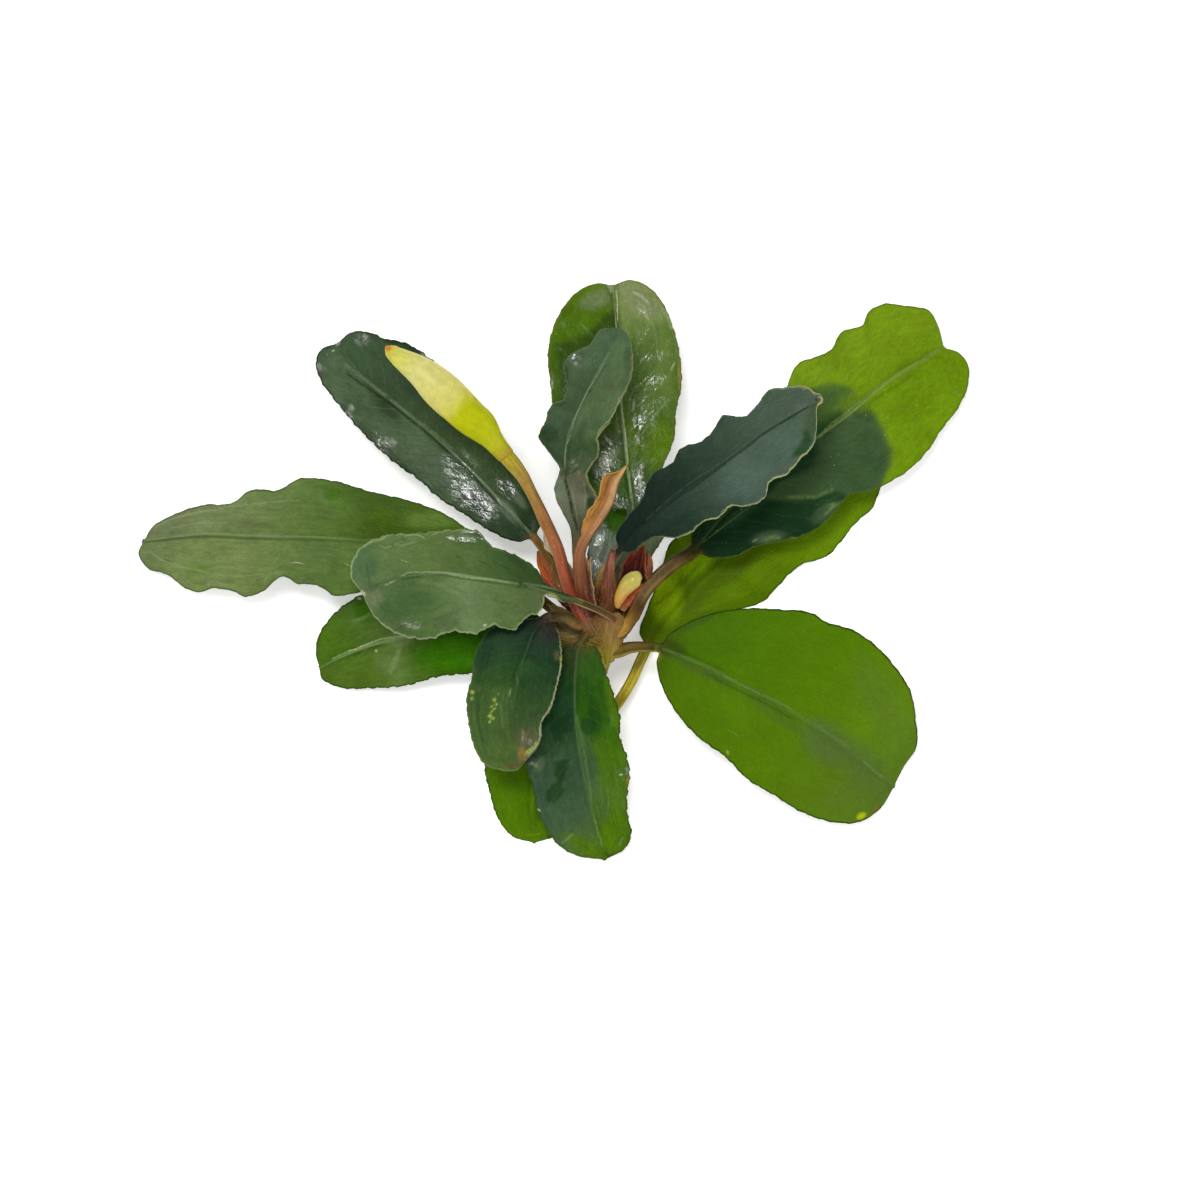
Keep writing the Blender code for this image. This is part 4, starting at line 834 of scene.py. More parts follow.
            (0.9, 55, 79, 48), (1.0, 60, 82, 52),
        ],
        "patches": [
            # the pale grey patches at -12.0, 13.0, -7.2, 9.4 and -5.4, 11.2 are painted sheen on the glossy
            # base of the blade
            ((34, 56, 30), 0.8, -4.4, 7.0, 3.0, 1.4, 120), ((96, 112, 88), 0.45, -12.0, 13.0, 5.0, 2.0, 136),
            ((42, 60, 34), 0.6, -26.0, 18.4, 8.0, 0.7, 136), ((34, 50, 28), 0.7, -24.6, 36.0, 4.0, 0.8, -24),
            ((52, 76, 30), 0.7, -18.0, 27.4, 4.0, 1.8, 130), ((130, 116, 60), 0.8, -2.6, 5.0, 0.9, 0.7, -45),
            ((40, 64, 34), 0.7, -26.4, 25.4, 3.0, 1.0, 136), ((46, 70, 40), 0.5, -22.0, 30.0, 5.0, 2.0, 130),
            ((30, 56, 30), 0.7, -5.6, 5.6, 2.6, 1.2, 130), ((46, 66, 38), 0.7, -27.6, 28.8, 3.0, 1.8, 136),
            ((112, 130, 104), 0.75, -7.2, 9.4, 3.0, 1.0, 130),
            ((112, 130, 102), 0.7, -5.4, 11.2, 2.0, 0.8, 130),
        ],
        "wet": [
            (1.0, -12.6, 11.0, 4.8, 2.0, 140), (1.0, -7.4, 12.8, 2.6, 1.1, 136),
            (0.8, -27.0, 20.2, 2.4, 1.1, 130), (0.9, -33.2, 25.6, 1.6, 1.0, 130),
            (0.7, -37.0, 31.8, 2.0, 0.8, 90), (0.7, -30.6, 36.8, 1.4, 1.1, 0),
            (0.7, -14.6, 16.2, 3.4, 2.4, 136),
        ],
        "midrib": ((128, 148, 112), [(0.0, 0.5), (0.2, 0.6), (0.4, 0.5), (0.55, 0.25), (1.0, 0.2)]),
        "midrib_width": 0.3, "midrib_shade": (0.6, -0.55, 0.35), "margin": ((30, 28, 16), 0.85, 0.5),
        "roughness": 0.36, "coat": 0.02, "wet_roughness": 0.17, "relief": 0.16, "dark": (22, 44, 22),
        "pale": (120, 142, 104), "glint_and_spot": (206, 208, 190), "mottle": 0.15,
        "nibble": [(19.3, 0.08), (31.7, 0.07), (57.0, 0.05)],
        "petiole": [(0.0, 112, 66, 34), (0.3, 118, 80, 36), (0.6, 104, 78, 26), (1.0, 126, 92, 34)],
        "petiole_sides": ((140, 74, 36), (84, 60, 24)), "petiole_size": 0.8, "flare": (0.0, 1.0),
    },
    "leaf_hidden_back": {
        "seed": 97,
        # The grey and whitish green of the lower blade stops and of the pale patches at 7.0, 3.2, 11.0, -0.4
        # and 15.4, 3.3 is painted sheen; the leaf's own green shows in the zone and towards the tip.
        "blade": [
            (0.0, 120, 134, 110), (0.25, 146, 162, 138), (0.45, 138, 160, 130), (0.6, 96, 132, 74),
            (0.66, 62, 106, 14), (1.0, 56, 98, 10),
        ],
        "right_blade": [
            (0.0, 112, 124, 96), (0.3, 120, 142, 108), (0.6, 90, 124, 64), (0.7, 56, 98, 10),
            (1.0, 50, 90, 8),
        ],
        "patches": [
            ((40, 66, 30), 0.8, 11.4, 8.4, 4.0, 0.7, 62), ((160, 176, 150), 0.6, 7.0, 3.2, 3.4, 0.7, 78),
            ((120, 140, 108), 0.9, 11.0, -0.4, 2.6, 1.6, 60), ((112, 130, 92), 0.9, 15.4, 3.3, 2.6, 1.8, 50),
        ],
        "zones": [
            (
                (58, 106, 4), 1.0, 0.5,
                [(8.4, 6.4), (9.6, 6.0), (12.0, 6.6), (14.0, 9.0), (12.0, 12.0), (9.0, 13.0), (7.0, 10.0)],
            ),
        ],
        "wet": [(1.0, 7.6, 3.6, 4.4, 1.8, 78), (0.8, 12.0, -0.2, 2.0, 1.2, 60)],
        "midrib": ((140, 152, 124), [(0.0, 0.3), (1.0, 0.3)]), "midrib_shade": (0.4, -0.5, 0.4),
        "dark": (48, 62, 40), "pale": (156, 168, 144), "glint_and_spot": (204, 214, 196), "streaks": 0.14,
        "petiole": [(0.0, 118, 66, 36), (0.5, 110, 76, 32), (1.0, 104, 84, 40)],
    },
}

# Fine lines and dots on the blades. Each is a strength, a half width and the places that it runs through.
# Strokes of the third kind are mostly painted glints, with some pale spots and tips; some wide pale strokes
# are painted sheen and some dark strokes beside a midrib are painted shade.
STROKES = {
    "leaf_far_left": {
        "pale": [
            (0.55, 0.24, -64.4, 6.5, -62.0, 7.8, -58.8, 8.8, -55.7, 9.4, -52.0, 9.9),
            (0.4, 0.24, -52.8, 9.9, -49.1, 10.3, -45.1, 10.8, -40.0, 11.1),
            (0.3, 0.2, -62.8, 6.2, -59.6, 7.0, -55.6, 7.5, -51.6, 7.5),
            (0.5, 0.22, -64.8, 3.2, -62.8, 1.7, -60.0, 0.6, -57.1, 0.0, -54.5, -0.6),
            (0.35, 0.25, -55.5, -0.3, -52.4, -1.0, -49.2, -1.0, -45.8, -0.5),
            (0.35, 0.5, -54.5, 10.2, -52.2, 10.2, -50.0, 11.0),
            (0.35, 0.5, -55.6, -2.2, -53.5, -2.2, -51.3, -2.7),
            (0.3, 0.35, -46.4, -2.3, -45.4, -0.8, -43.2, -0.2),
        ],
        "dark": [(0.5, 0.22, -62.4, 1.9, -60.6, 1.0), (0.3, 0.6, -48.0, 7.3, -43.9, 6.7)],
        "glint_and_spot": [(0.6, 0.13, -42.1, 1.1, -40.8, 1.2, -39.5, 0.9), (0.4, 0.13, -33.4, 1.1, -32.3, 0.6)],
    },
    "leaf_near_left": {
        "pale": [
            (0.8, 0.22, -24.3, -1.2, -22.9, -0.5, -20.2, -0.4, -17.0, -0.5, -13.9, -1.2, -9.9, -1.6, -6.5,
             -2.1),
            (0.8, 0.15, -24.2, 1.7, -23.4, 1.2, -22.6, 1.2),
            (0.85, 0.2, -30.5, -3.2, -31.8, -1.6, -32.1, 0.1, -31.6, 1.8, -30.7, 3.3, -29.4, 4.2, -28.0, 4.5,
             -26.9, 4.8, -26.1, 5.5, -25.1, 5.8, -24.4, 5.3),
            (0.55, 0.2, -27.6, 3.9, -26.4, 3.4, -25.1, 3.9, -23.8, 4.5, -23.5, 5.0),
            (0.6, 0.2, -23.7, 4.7, -23.2, 5.3, -21.9, 5.6, -20.5, 5.2, -20.0, 4.5),
            (0.4, 0.25, -25.4, 3.9, -24.0, 3.7, -22.6, 4.2, -21.3, 4.4),
            (0.5, 0.2, -19.4, 5.3, -17.5, 6.1, -15.3, 6.3, -13.1, 6.1),
            (0.35, 0.3, -5.2, -2.1, -1.2, -2.7, 1.9, -3.5),
            # this wide stroke is painted sheen
            (0.16, 0.6, -21.3, -1.6, -17.8, -2.4, -14.7, -4.0, -12.8, -5.7),
            # the stroke at -15.3, 5.6 is a painted highlight
            (0.3, 0.3, -28.8, -3.2, -27.7, -5.3), (0.45, 0.5, -15.3, 5.6, -13.7, 5.3, -12.1, 4.7),
        ],
        "dark": [
            # the first stroke here is painted shade beside the midrib
            (0.7, 0.3, -24.2, -1.6, -22.3, -1.2, -20.2, -1.2), (0.6, 0.16, -12.3, 2.0, -11.2, 1.2, -9.6, 0.3),
            (0.6, 0.16, -8.7, 1.0, -7.6, 0.3, -6.3, -0.2), (0.5, 0.2, -15.5, 2.1, -14.3, 1.8),
            (0.9, 0.5, -5.8, -2.6, -4.7, -2.3, -3.6, -2.7),
            (0.35, 0.35, -27.3, -2.1, -28.6, -3.5, -27.5, -5.4, -26.1, -6.9),
            (0.3, 0.5, -21.0, -8.7, -17.8, -7.5, -14.4, -6.5),
            (0.35, 0.3, -29.6, 1.5, -29.1, -1.6, -28.8, -4.2),
        ],
        "glint_and_spot": [
            # these are mostly painted glints
            (0.4, 0.25, -26.9, -2.6, -25.8, -2.1, -24.7, -1.6),
            (0.35, 0.45, -23.5, -9.1, -22.1, -8.9, -20.9, -9.2), (0.9, 0.3, -11.0, -8.9, -10.4, -8.7),
            (0.8, 0.16, -6.5, -6.1), (0.5, 0.3, -32.6, 0.7, -31.8, 0.6),
            (0.9, 0.4, -31.0, -3.7, -30.2, -3.5, -29.6, -4.2),
        ],
    },
    "leaf_lower_left": {
        "pale": [
            (0.7, 0.2, -35.7, -14.4, -34.1, -13.6, -32.2, -12.8, -30.6, -12.5),
            (0.8, 0.26, -31.2, -12.5, -29.3, -11.7, -27.4, -11.0, -25.1, -10.7, -22.6, -10.4),
            # this wide stroke is painted sheen
            (0.3, 0.7, -26.4, -16.8, -25.1, -14.4, -24.5, -12.0),
            (0.25, 0.4, -32.5, -8.3, -30.5, -7.7, -28.9, -6.7),
        ],
        "dark": [
            (0.35, 0.35, -32.5, -13.7, -30.1, -12.9, -26.9, -11.8), (0.3, 0.4, -35.7, -13.1, -33.3, -12.3),
        ],
        "glint_and_spot": [
            (0.6, 0.15, -33.3, -13.1, -31.5, -12.6, -29.6, -11.7), (0.9, 0.33, -28.3, -12.9),
            # the stroke at -31.4, -4.5 is a painted glint
            (0.9, 0.2, -29.3, -9.6), (0.8, 0.3, -31.4, -4.5, -30.6, -4.6),
        ],
    },
    "leaf_front_left": {
        "pale": [
            (0.9, 0.2, 1.3, -14.6, 1.1, -16.2, 0.6, -18.4, 0.0, -20.6, -0.6, -22.1, -1.6, -23.5, -2.1, -25.1,
             -2.1, -26.6, -2.5, -27.8, -3.5, -28.9, -4.3, -29.7),
            (0.5, 0.5, -3.5, -26.7, -3.8, -27.9), (0.14, 0.3, -5.5, -18.7, -5.8, -15.9),
            (0.14, 0.3, -8.4, -20.6, -7.9, -25.4), (0.35, 0.25, -6.6, -18.6, -7.0, -20.2),
            (0.4, 0.4, -4.8, -25.1, -4.8, -27.8),
        ],
        "dark": [
            (0.5, 0.35, -5.2, -13.5, -6.2, -16.7, -6.5, -19.0),
            (0.4, 0.4, -11.9, -19.0, -11.9, -23.8, -10.9, -27.8),
        ],
        "glint_and_spot": [
            # the first is a painted highlight on the curled tip
            (0.7, 0.45, -2.4, -27.0, -3.0, -28.1, -4.0, -28.9, -4.6, -29.5),
            (0.5, 0.2, 1.1, -13.5, 1.3, -15.6), (0.9, 0.5, -9.3, -20.6), (0.8, 0.4, -9.0, -21.3),
            (0.7, 0.35, -9.8, -21.7), (0.8, 0.36, -9.2, -22.0), (0.7, 0.3, -9.7, -22.5),
            (0.9, 0.5, -10.0, -23.2), (0.8, 0.45, -9.5, -23.5), (0.6, 0.4, -10.0, -24.1),
            (0.5, 0.35, -8.6, -19.7), (0.7, 0.55, -12.8, -19.4), (0.6, 0.5, -12.8, -20.4),
            (0.3, 0.2, -12.5, -24.6), (0.3, 0.2, -11.1, -21.7), (0.35, 0.15, -6.5, -21.7),
        ],
    },
    "leaf_front": {
        "pale": [
            (0.22, 0.4, 3.6, -22.6, 4.6, -27.4, 5.5, -32.7, 6.2, -37.4),
            # the stroke at -3.4, -30.6 is a painted highlight
            (0.55, 0.16, 6.2, -38.7, 6.8, -40.6, 7.3, -42.8), (0.5, 0.5, -3.4, -30.6, -2.4, -31.5),
            (0.12, 0.5, 8.2, -22.6, 9.3, -23.2, 9.5, -24.5, 8.4, -25.2),
            (0.14, 0.3, 8.6, -34.0, 8.9, -36.7, 8.4, -39.6), (0.1, 0.25, 9.8, -30.3, 10.3, -35.1),
            (0.35, 0.3, 7.4, -42.3, 7.8, -44.7), (0.3, 0.3, 10.3, -44.4, 11.3, -42.3),
            (0.35, 0.35, 1.1, -43.9, 3.5, -41.8),
        ],
        "dark": [
            (0.5, 0.4, 2.4, -15.6, 2.5, -19.9), (0.5, 0.2, 1.1, -25.6, 0.2, -26.6, 0.6, -28.0),
            (0.4, 0.16, 1.6, -26.4, 1.4, -28.2),
            (0.6, 0.22, -2.7, -28.5, -1.9, -29.6, -0.8, -28.8, -1.1, -27.9),
            (0.5, 0.3, -3.5, -29.0, -2.7, -29.8), (0.45, 0.7, 5.8, -21.5, 6.5, -24.7, 6.2, -27.9),
            (0.4, 0.5, 7.8, -45.2, 9.4, -45.9),
        ],
        "glint_and_spot": [
            # these are painted glints, but the dot at 8.4, -26.0 is a pale fleck
            (0.5, 0.35, -3.9, -31.0, -3.1, -30.7), (0.5, 0.22, -2.6, -38.0, -2.0, -38.6),
            (0.95, 0.2, 8.4, -26.0), (0.95, 0.34, 10.9, -32.6), (0.9, 0.22, 11.6, -32.5),
            (0.8, 0.16, 10.5, -32.7), (0.9, 0.2, 11.3, -33.5), (0.7, 0.15, 11.9, -31.7),
            (0.7, 0.15, 10.8, -34.0),
        ],
    },
    "leaf_under_front": {
        "dark": [(0.8, 0.4, -1.0, -43.0, -0.6, -42.4)],
        "glint_and_spot": [
            (0.7, 0.35, -7.6, -32.0), (0.5, 0.25, -7.1, -32.5),
            (0.25, 0.2, -4.6, -42.5, -3.0, -42.3, -1.6, -42.1), (0.7, 0.2, -0.4, -42.9),
        ],
    },
    "leaf_round_right": {
        "pale": [
            (0.3, 0.35, 17.0, -12.4, 20.2, -13.7, 23.3, -15.0, 26.9, -16.7),
            (0.55, 0.3, 25.2, -15.9, 28.6, -17.6, 31.4, -19.1),
            (0.5, 0.34, 30.0, -18.4, 34.5, -20.4, 36.9, -21.7, 39.3, -23.3),
            (0.3, 0.4, 38.4, -22.6, 42.5, -25.2, 47.3, -28.4),
            (0.4, 0.4, 49.2, -30.2, 51.4, -32.3, 53.0, -33.4),
        ],
        "dark": [
            (0.45, 0.35, 23.8, -16.2, 28.4, -18.6, 33.6, -21.2, 38.6, -24.0),
            (0.35, 0.3, 18.6, -12.3, 23.3, -14.2, 27.6, -16.2), (0.6, 0.25, 27.7, -29.2, 28.3, -30.1),
        ],
        "glint_and_spot": [
            (0.95, 0.3, 48.7, -40.9), (0.9, 0.16, 22.4, -19.9), (0.7, 0.14, 28.1, -8.3),
            (0.5, 0.12, 33.7, -10.5), (0.7, 0.14, 29.4, -25.2), (0.5, 0.14, 38.7, -27.9),
            (0.4, 0.1, 23.4, -26.0), (0.5, 0.3, 28.0, -29.5, 27.6, -28.7),
        ],
    },
    "leaf_back_right": {
        "pale": [
            (0.35, 0.16, 23.4, -0.3, 27.0, -0.8, 30.6, -0.5), (0.3, 0.2, 22.6, -6.4, 26.6, -5.1, 30.6, -4.3),
            (0.45, 0.16, 21.8, -6.7, 25.4, -6.2, 29.0, -6.4, 31.4, -5.9), (0.3, 0.15, 44.2, 4.0, 45.8, 5.1),
            (0.25, 0.2, 18.3, 1.6, 21.8, 4.8),
        ],
        "dark": [
            (0.35, 0.6, 15.8, -5.9, 19.0, -3.5, 21.8, -0.8, 24.1, 1.6),
            (0.5, 0.2, 32.4, 1.4, 33.7, 1.9, 35.1, 1.6), (0.45, 0.2, 33.0, 2.2, 34.3, 1.3),
            (0.4, 0.16, 39.1, 1.6, 40.4, 2.1), (0.4, 0.2, 37.8, -1.1, 38.9, -0.6),
        ],
        "glint_and_spot": [
            (0.5, 0.15, 23.9, -3.5), (0.4, 0.12, 18.8, -5.8), (0.5, 0.14, 46.9, 9.0), (0.4, 0.14, 45.2, 7.2),
        ],
    },
    "leaf_long_right": {
        "pale": [
            (0.55, 0.4, 42.0, 20.8, 44.4, 23.2, 47.3, 25.5, 49.8, 27.5),
            (0.5, 0.45, 49.2, 27.1, 52.7, 29.7, 56.1, 31.7, 59.3, 33.6, 62.0, 35.6),
            # the stroke at 33.0, 4.6 is a painted highlight
            (0.3, 0.2, 23.4, 4.0, 27.3, 7.1, 31.6, 10.3), (0.45, 0.6, 33.0, 4.6, 34.6, 5.2, 36.6, 5.2),
            (0.4, 0.3, 39.3, 4.8, 37.7, 5.2), (0.5, 0.35, 43.0, 8.6, 44.4, 9.9, 46.0, 11.1),
            (0.4, 0.3, 43.5, 10.3, 45.4, 10.7), (0.35, 0.5, 36.9, 11.6, 41.7, 11.6, 44.9, 13.0),
            (0.5, 0.25, 61.5, 35.3, 62.9, 36.3, 63.4, 37.4), (0.3, 0.4, 63.6, 28.7, 65.2, 27.9),
        ],
        "dark": [
            (0.3, 0.4, 50.5, 26.8, 54.5, 29.3, 57.7, 31.4), (0.6, 0.3, 45.1, 9.4, 46.0, 10.3),
            # the stroke at 35.3, 14.3 is a painted shadow under the dark right leaf's edge
            (0.35, 0.6, 35.3, 14.3, 39.3, 16.2, 42.5, 17.2), (0.35, 0.16, 59.4, 36.7),
        ],
        "glint_and_spot": [
            (0.25, 0.25, 31.6, 4.4, 32.6, 5.0), (0.7, 0.16, 54.8, 16.3), (0.5, 0.2, 54.2, 15.1),
            (0.5, 0.16, 59.2, 19.6), (0.45, 0.14, 58.2, 18.4), (0.6, 0.2, 62.4, 36.0, 63.1, 36.4),
            (0.35, 0.16, 60.1, 22.3), (0.3, 0.12, 49.9, 34.7), (0.3, 0.14, 53.7, 39.9),
            (0.3, 0.14, 56.1, 37.5), (0.4, 0.16, 65.8, 29.1),
        ],
    },
    "leaf_dark_right": {
        "pale": [
            (0.22, 0.2, 14.4, 7.6, 18.2, 11.0, 22.6, 14.3, 26.0, 16.4),
            (0.3, 0.18, 25.4, 16.1, 29.4, 18.9, 33.2, 21.9, 38.0, 24.9, 40.6, 26.5),
            (0.75, 0.14, 41.9, 25.7, 41.9, 23.6, 41.6, 21.7, 41.2, 19.8, 40.3, 18.1, 39.0, 17.0, 37.9, 15.9,
             37.0, 14.8),
            (0.8, 0.15, 37.3, 14.9, 35.8, 14.3, 34.6, 14.1, 34.1, 12.9, 33.8, 11.8, 32.4, 10.7, 30.3, 10.0,
             27.9, 9.9),
            (0.8, 0.18, 28.3, 9.9, 26.8, 9.4, 26.2, 8.1, 25.1, 7.5, 23.7, 7.3, 22.6, 6.9, 21.9, 5.8, 20.7,
             5.1, 18.8, 5.0),
            (0.6, 0.15, 36.3, 28.7, 37.8, 29.0, 39.0, 29.0), (0.4, 0.3, 35.2, 14.8, 36.5, 15.2),
        ],
        "dark": [
            (0.7, 0.16, 17.6, 9.9, 25.6, 15.5, 33.4, 21.4, 40.8, 26.1), (0.9, 0.2, 41.4, 27.0, 41.9, 26.8),
            (0.4, 0.5, 14.5, 3.9, 17.7, 6.2, 21.6, 8.6),
        ],
        "glint_and_spot": [
            (0.9, 0.2, 41.7, 27.3, 42.3, 27.4, 42.6, 26.9, 42.2, 26.3, 41.8, 26.1),
            (0.6, 0.14, 39.1, 28.9, 39.5, 28.5, 40.3, 28.7, 41.1, 28.0, 41.6, 27.4),
        ],
    },
    "leaf_top_round": {
        "pale": [
            (0.85, 0.15, 10.0, 45.0, 10.2, 43.1, 10.2, 41.2, 10.3, 39.4),
            (0.9, 0.17, 10.6, 28.2, 10.9, 25.5, 11.4, 22.3, 11.7, 19.1, 11.9, 16.5),
            (0.5, 0.2, 12.1, 15.9, 12.2, 13.5, 12.4, 10.6),
            (0.14, 0.3, 18.9, 27.8, 16.2, 24.7, 14.6, 22.3, 12.5, 19.9),
            (0.1, 0.25, 13.8, 43.0, 16.2, 38.3, 17.0, 31.9), (0.5, 0.5, 8.4, 45.7, 9.2, 45.2, 9.4, 44.1),
            (0.5, 0.25, 18.6, 31.5, 19.5, 33.4), (0.3, 0.35, 17.0, 42.3, 18.2, 40.4, 19.0, 38.0),
        ],
        "dark": [
            # the strokes at 10.1, 27.1 and 11.6, 15.1 are painted shade beside the midrib
            (0.5, 0.35, 10.1, 27.1, 10.5, 23.1, 10.8, 19.1), (0.25, 0.25, 9.7, 44.4, 9.8, 39.9),
            (0.4, 0.4, 11.6, 15.1, 11.7, 11.1), (0.4, 0.4, 9.8, 45.9, 10.5, 45.4),
            (0.4, 0.4, 8.2, 19.5, 9.3, 18.7),
        ],
        # these are mostly painted glints
        "glint_and_spot": [
            (0.45, 0.35, 12.9, 27.4, 12.7, 25.1), (0.5, 0.35, 12.9, 24.5, 13.0, 22.3),
            (0.35, 0.4, 13.3, 21.6, 13.5, 19.7), (0.45, 0.4, 13.3, 16.2, 13.8, 14.0, 14.0, 11.9),
            (0.5, 0.35, 7.9, 21.6, 8.7, 20.5, 9.7, 19.7), (0.45, 0.5, 8.1, 18.6, 8.9, 17.1, 10.0, 16.2),
            (0.6, 0.4, 9.8, 10.8, 10.9, 9.5), (0.85, 0.16, 9.7, 9.8, 10.8, 9.0, 11.9, 8.2),
            (0.55, 0.2, -0.2, 30.3, -0.1, 28.7), (0.3, 0.4, 12.4, 44.6, 14.2, 43.6, 15.6, 42.2),
            (0.25, 0.3, 12.9, 42.3, 14.4, 41.2, 15.4, 39.6),
        ],
    },
    "leaf_top_wavy": {
        "pale": [
            (0.5, 0.16, 9.0, 34.6, 7.9, 32.4, 6.8, 30.3, 5.5, 28.3, 4.3, 25.9, 3.3, 23.5, 2.7, 21.3),
            (0.65, 0.15, 2.9, 21.6, 2.1, 19.7, 1.9, 17.8, 1.8, 16.0, 1.9, 14.8),
            (0.3, 0.2, 2.9, 13.4, 3.3, 10.8, 3.9, 8.0),
            (0.85, 0.18, 10.6, 27.6, 10.1, 25.6, 9.3, 24.0, 8.1, 22.9, 7.1, 21.8, 7.0, 20.5),
            (0.6, 0.18, 7.0, 20.5, 7.3, 18.8), (0.5, 0.2, 5.6, 14.4, 6.3, 12.8, 7.0, 11.6),
            (0.4, 0.3, 12.4, 36.4, 12.8, 34.8, 12.5, 32.9), (0.4, 0.2, 4.8, 14.2, 5.2, 11.8, 4.9, 9.4),
        ],
        "dark": [
            (0.5, 0.25, 3.2, 21.0, 2.5, 18.9, 2.3, 16.9),
            (0.95, 0.34, 1.8, 14.6, 2.3, 12.8, 2.7, 11.0, 3.1, 9.2, 3.6, 7.4, 4.0, 5.8),
            (0.9, 0.18, 7.6, 25.7), (0.6, 0.4, 5.5, 27.9, 6.3, 28.9),
            (0.4, 0.3, 5.0, 13.4, 5.6, 12.2, 6.2, 11.4), (0.4, 0.5, 1.1, 27.2, 2.2, 29.2, 2.2, 32.4),
            (0.6, 0.6, 5.6, 11.6, 6.1, 10.0, 5.6, 8.6),
        ],
        # these two dots are a painted glint
        "glint_and_spot": [(0.8, 0.42, 3.2, 33.5), (0.35, 0.5, 3.6, 32.6)],
    },
    "leaf_upper_left": {
        "pale": [
            (0.45, 0.45, -33.7, 33.2, -30.0, 30.3, -26.0, 27.3),
            (0.45, 0.4, -26.3, 27.5, -22.0, 24.0, -18.0, 21.0, -15.7, 18.8),
            (0.95, 0.2, -15.9, 18.7, -13.6, 16.4, -11.0, 13.8, -8.9, 11.3, -6.4, 8.6),
            (0.5, 0.25, -6.5, 8.7, -5.0, 7.0, -3.2, 5.1), (0.6, 0.25, -36.4, 35.8, -35.3, 36.6, -34.5, 36.3),
            (0.3, 0.5, -28.3, 21.0, -26.8, 19.9),
        ],
        "dark": [
            # these first three are painted shade beside the midrib
            (0.75, 0.3, -33.2, 31.6, -29.2, 28.7, -25.3, 26.0, -21.3, 22.8),
            (0.7, 0.25, -21.5, 23.1, -18.0, 20.0, -15.6, 17.8),
            (0.6, 0.25, -15.5, 17.6, -13.2, 15.6, -10.7, 12.7, -8.5, 10.2),
            (0.7, 0.4, -36.7, 35.2, -35.6, 35.8, -34.1, 36.8),
            (0.7, 0.5, -26.9, 36.9, -24.5, 36.4, -22.6, 35.3, -21.0, 34.2),
        ],
        # these are painted glints
        "glint_and_spot": [
            (0.8, 0.2, -9.1, 11.6, -8.0, 10.1), (0.8, 0.35, -35.3, 35.2, -35.1, 34.9),
            (0.5, 0.3, -34.9, 35.8, -34.0, 36.5), (0.35, 0.6, -37.7, 33.2, -37.1, 31.6),
            (0.45, 0.6, -30.6, 37.6, -29.6, 36.8), (0.45, 0.6, -32.6, 26.5, -31.8, 25.3),
            (0.4, 0.5, -33.1, 25.5, -32.1, 24.5), (0.45, 0.7, -27.1, 20.7, -26.2, 19.6),
            (0.35, 0.6, -26.0, 20.9, -24.9, 19.9), (0.4, 0.3, -21.3, 34.6, -20.0, 33.7, -19.0, 32.9),
        ],
    },
    "leaf_hidden_back": {
        # these pale strokes are painted sheen
        "pale": [
            (0.5, 0.3, 7.6, 4.0, 7.0, 1.6, 6.2, -0.8), (0.4, 0.3, 9.0, 4.7, 8.6, 1.6, 7.4, -0.8),
            (0.4, 0.3, 15.4, 4.0, 15.1, 2.4),
        ],
        "dark": [(0.5, 0.25, 8.4, 5.5, 7.9, 2.4, 7.0, -0.3), (0.4, 0.3, 9.7, 6.7, 9.2, 4.0)],
        # these are painted glints
        "glint_and_spot": [
            (0.4, 0.4, 8.1, 5.4, 7.6, 3.2), (0.6, 0.25, 9.3, 9.7, 10.0, 9.4),
            (0.4, 0.3, 10.9, 0.0, 10.6, 1.2),
        ],
    },
}

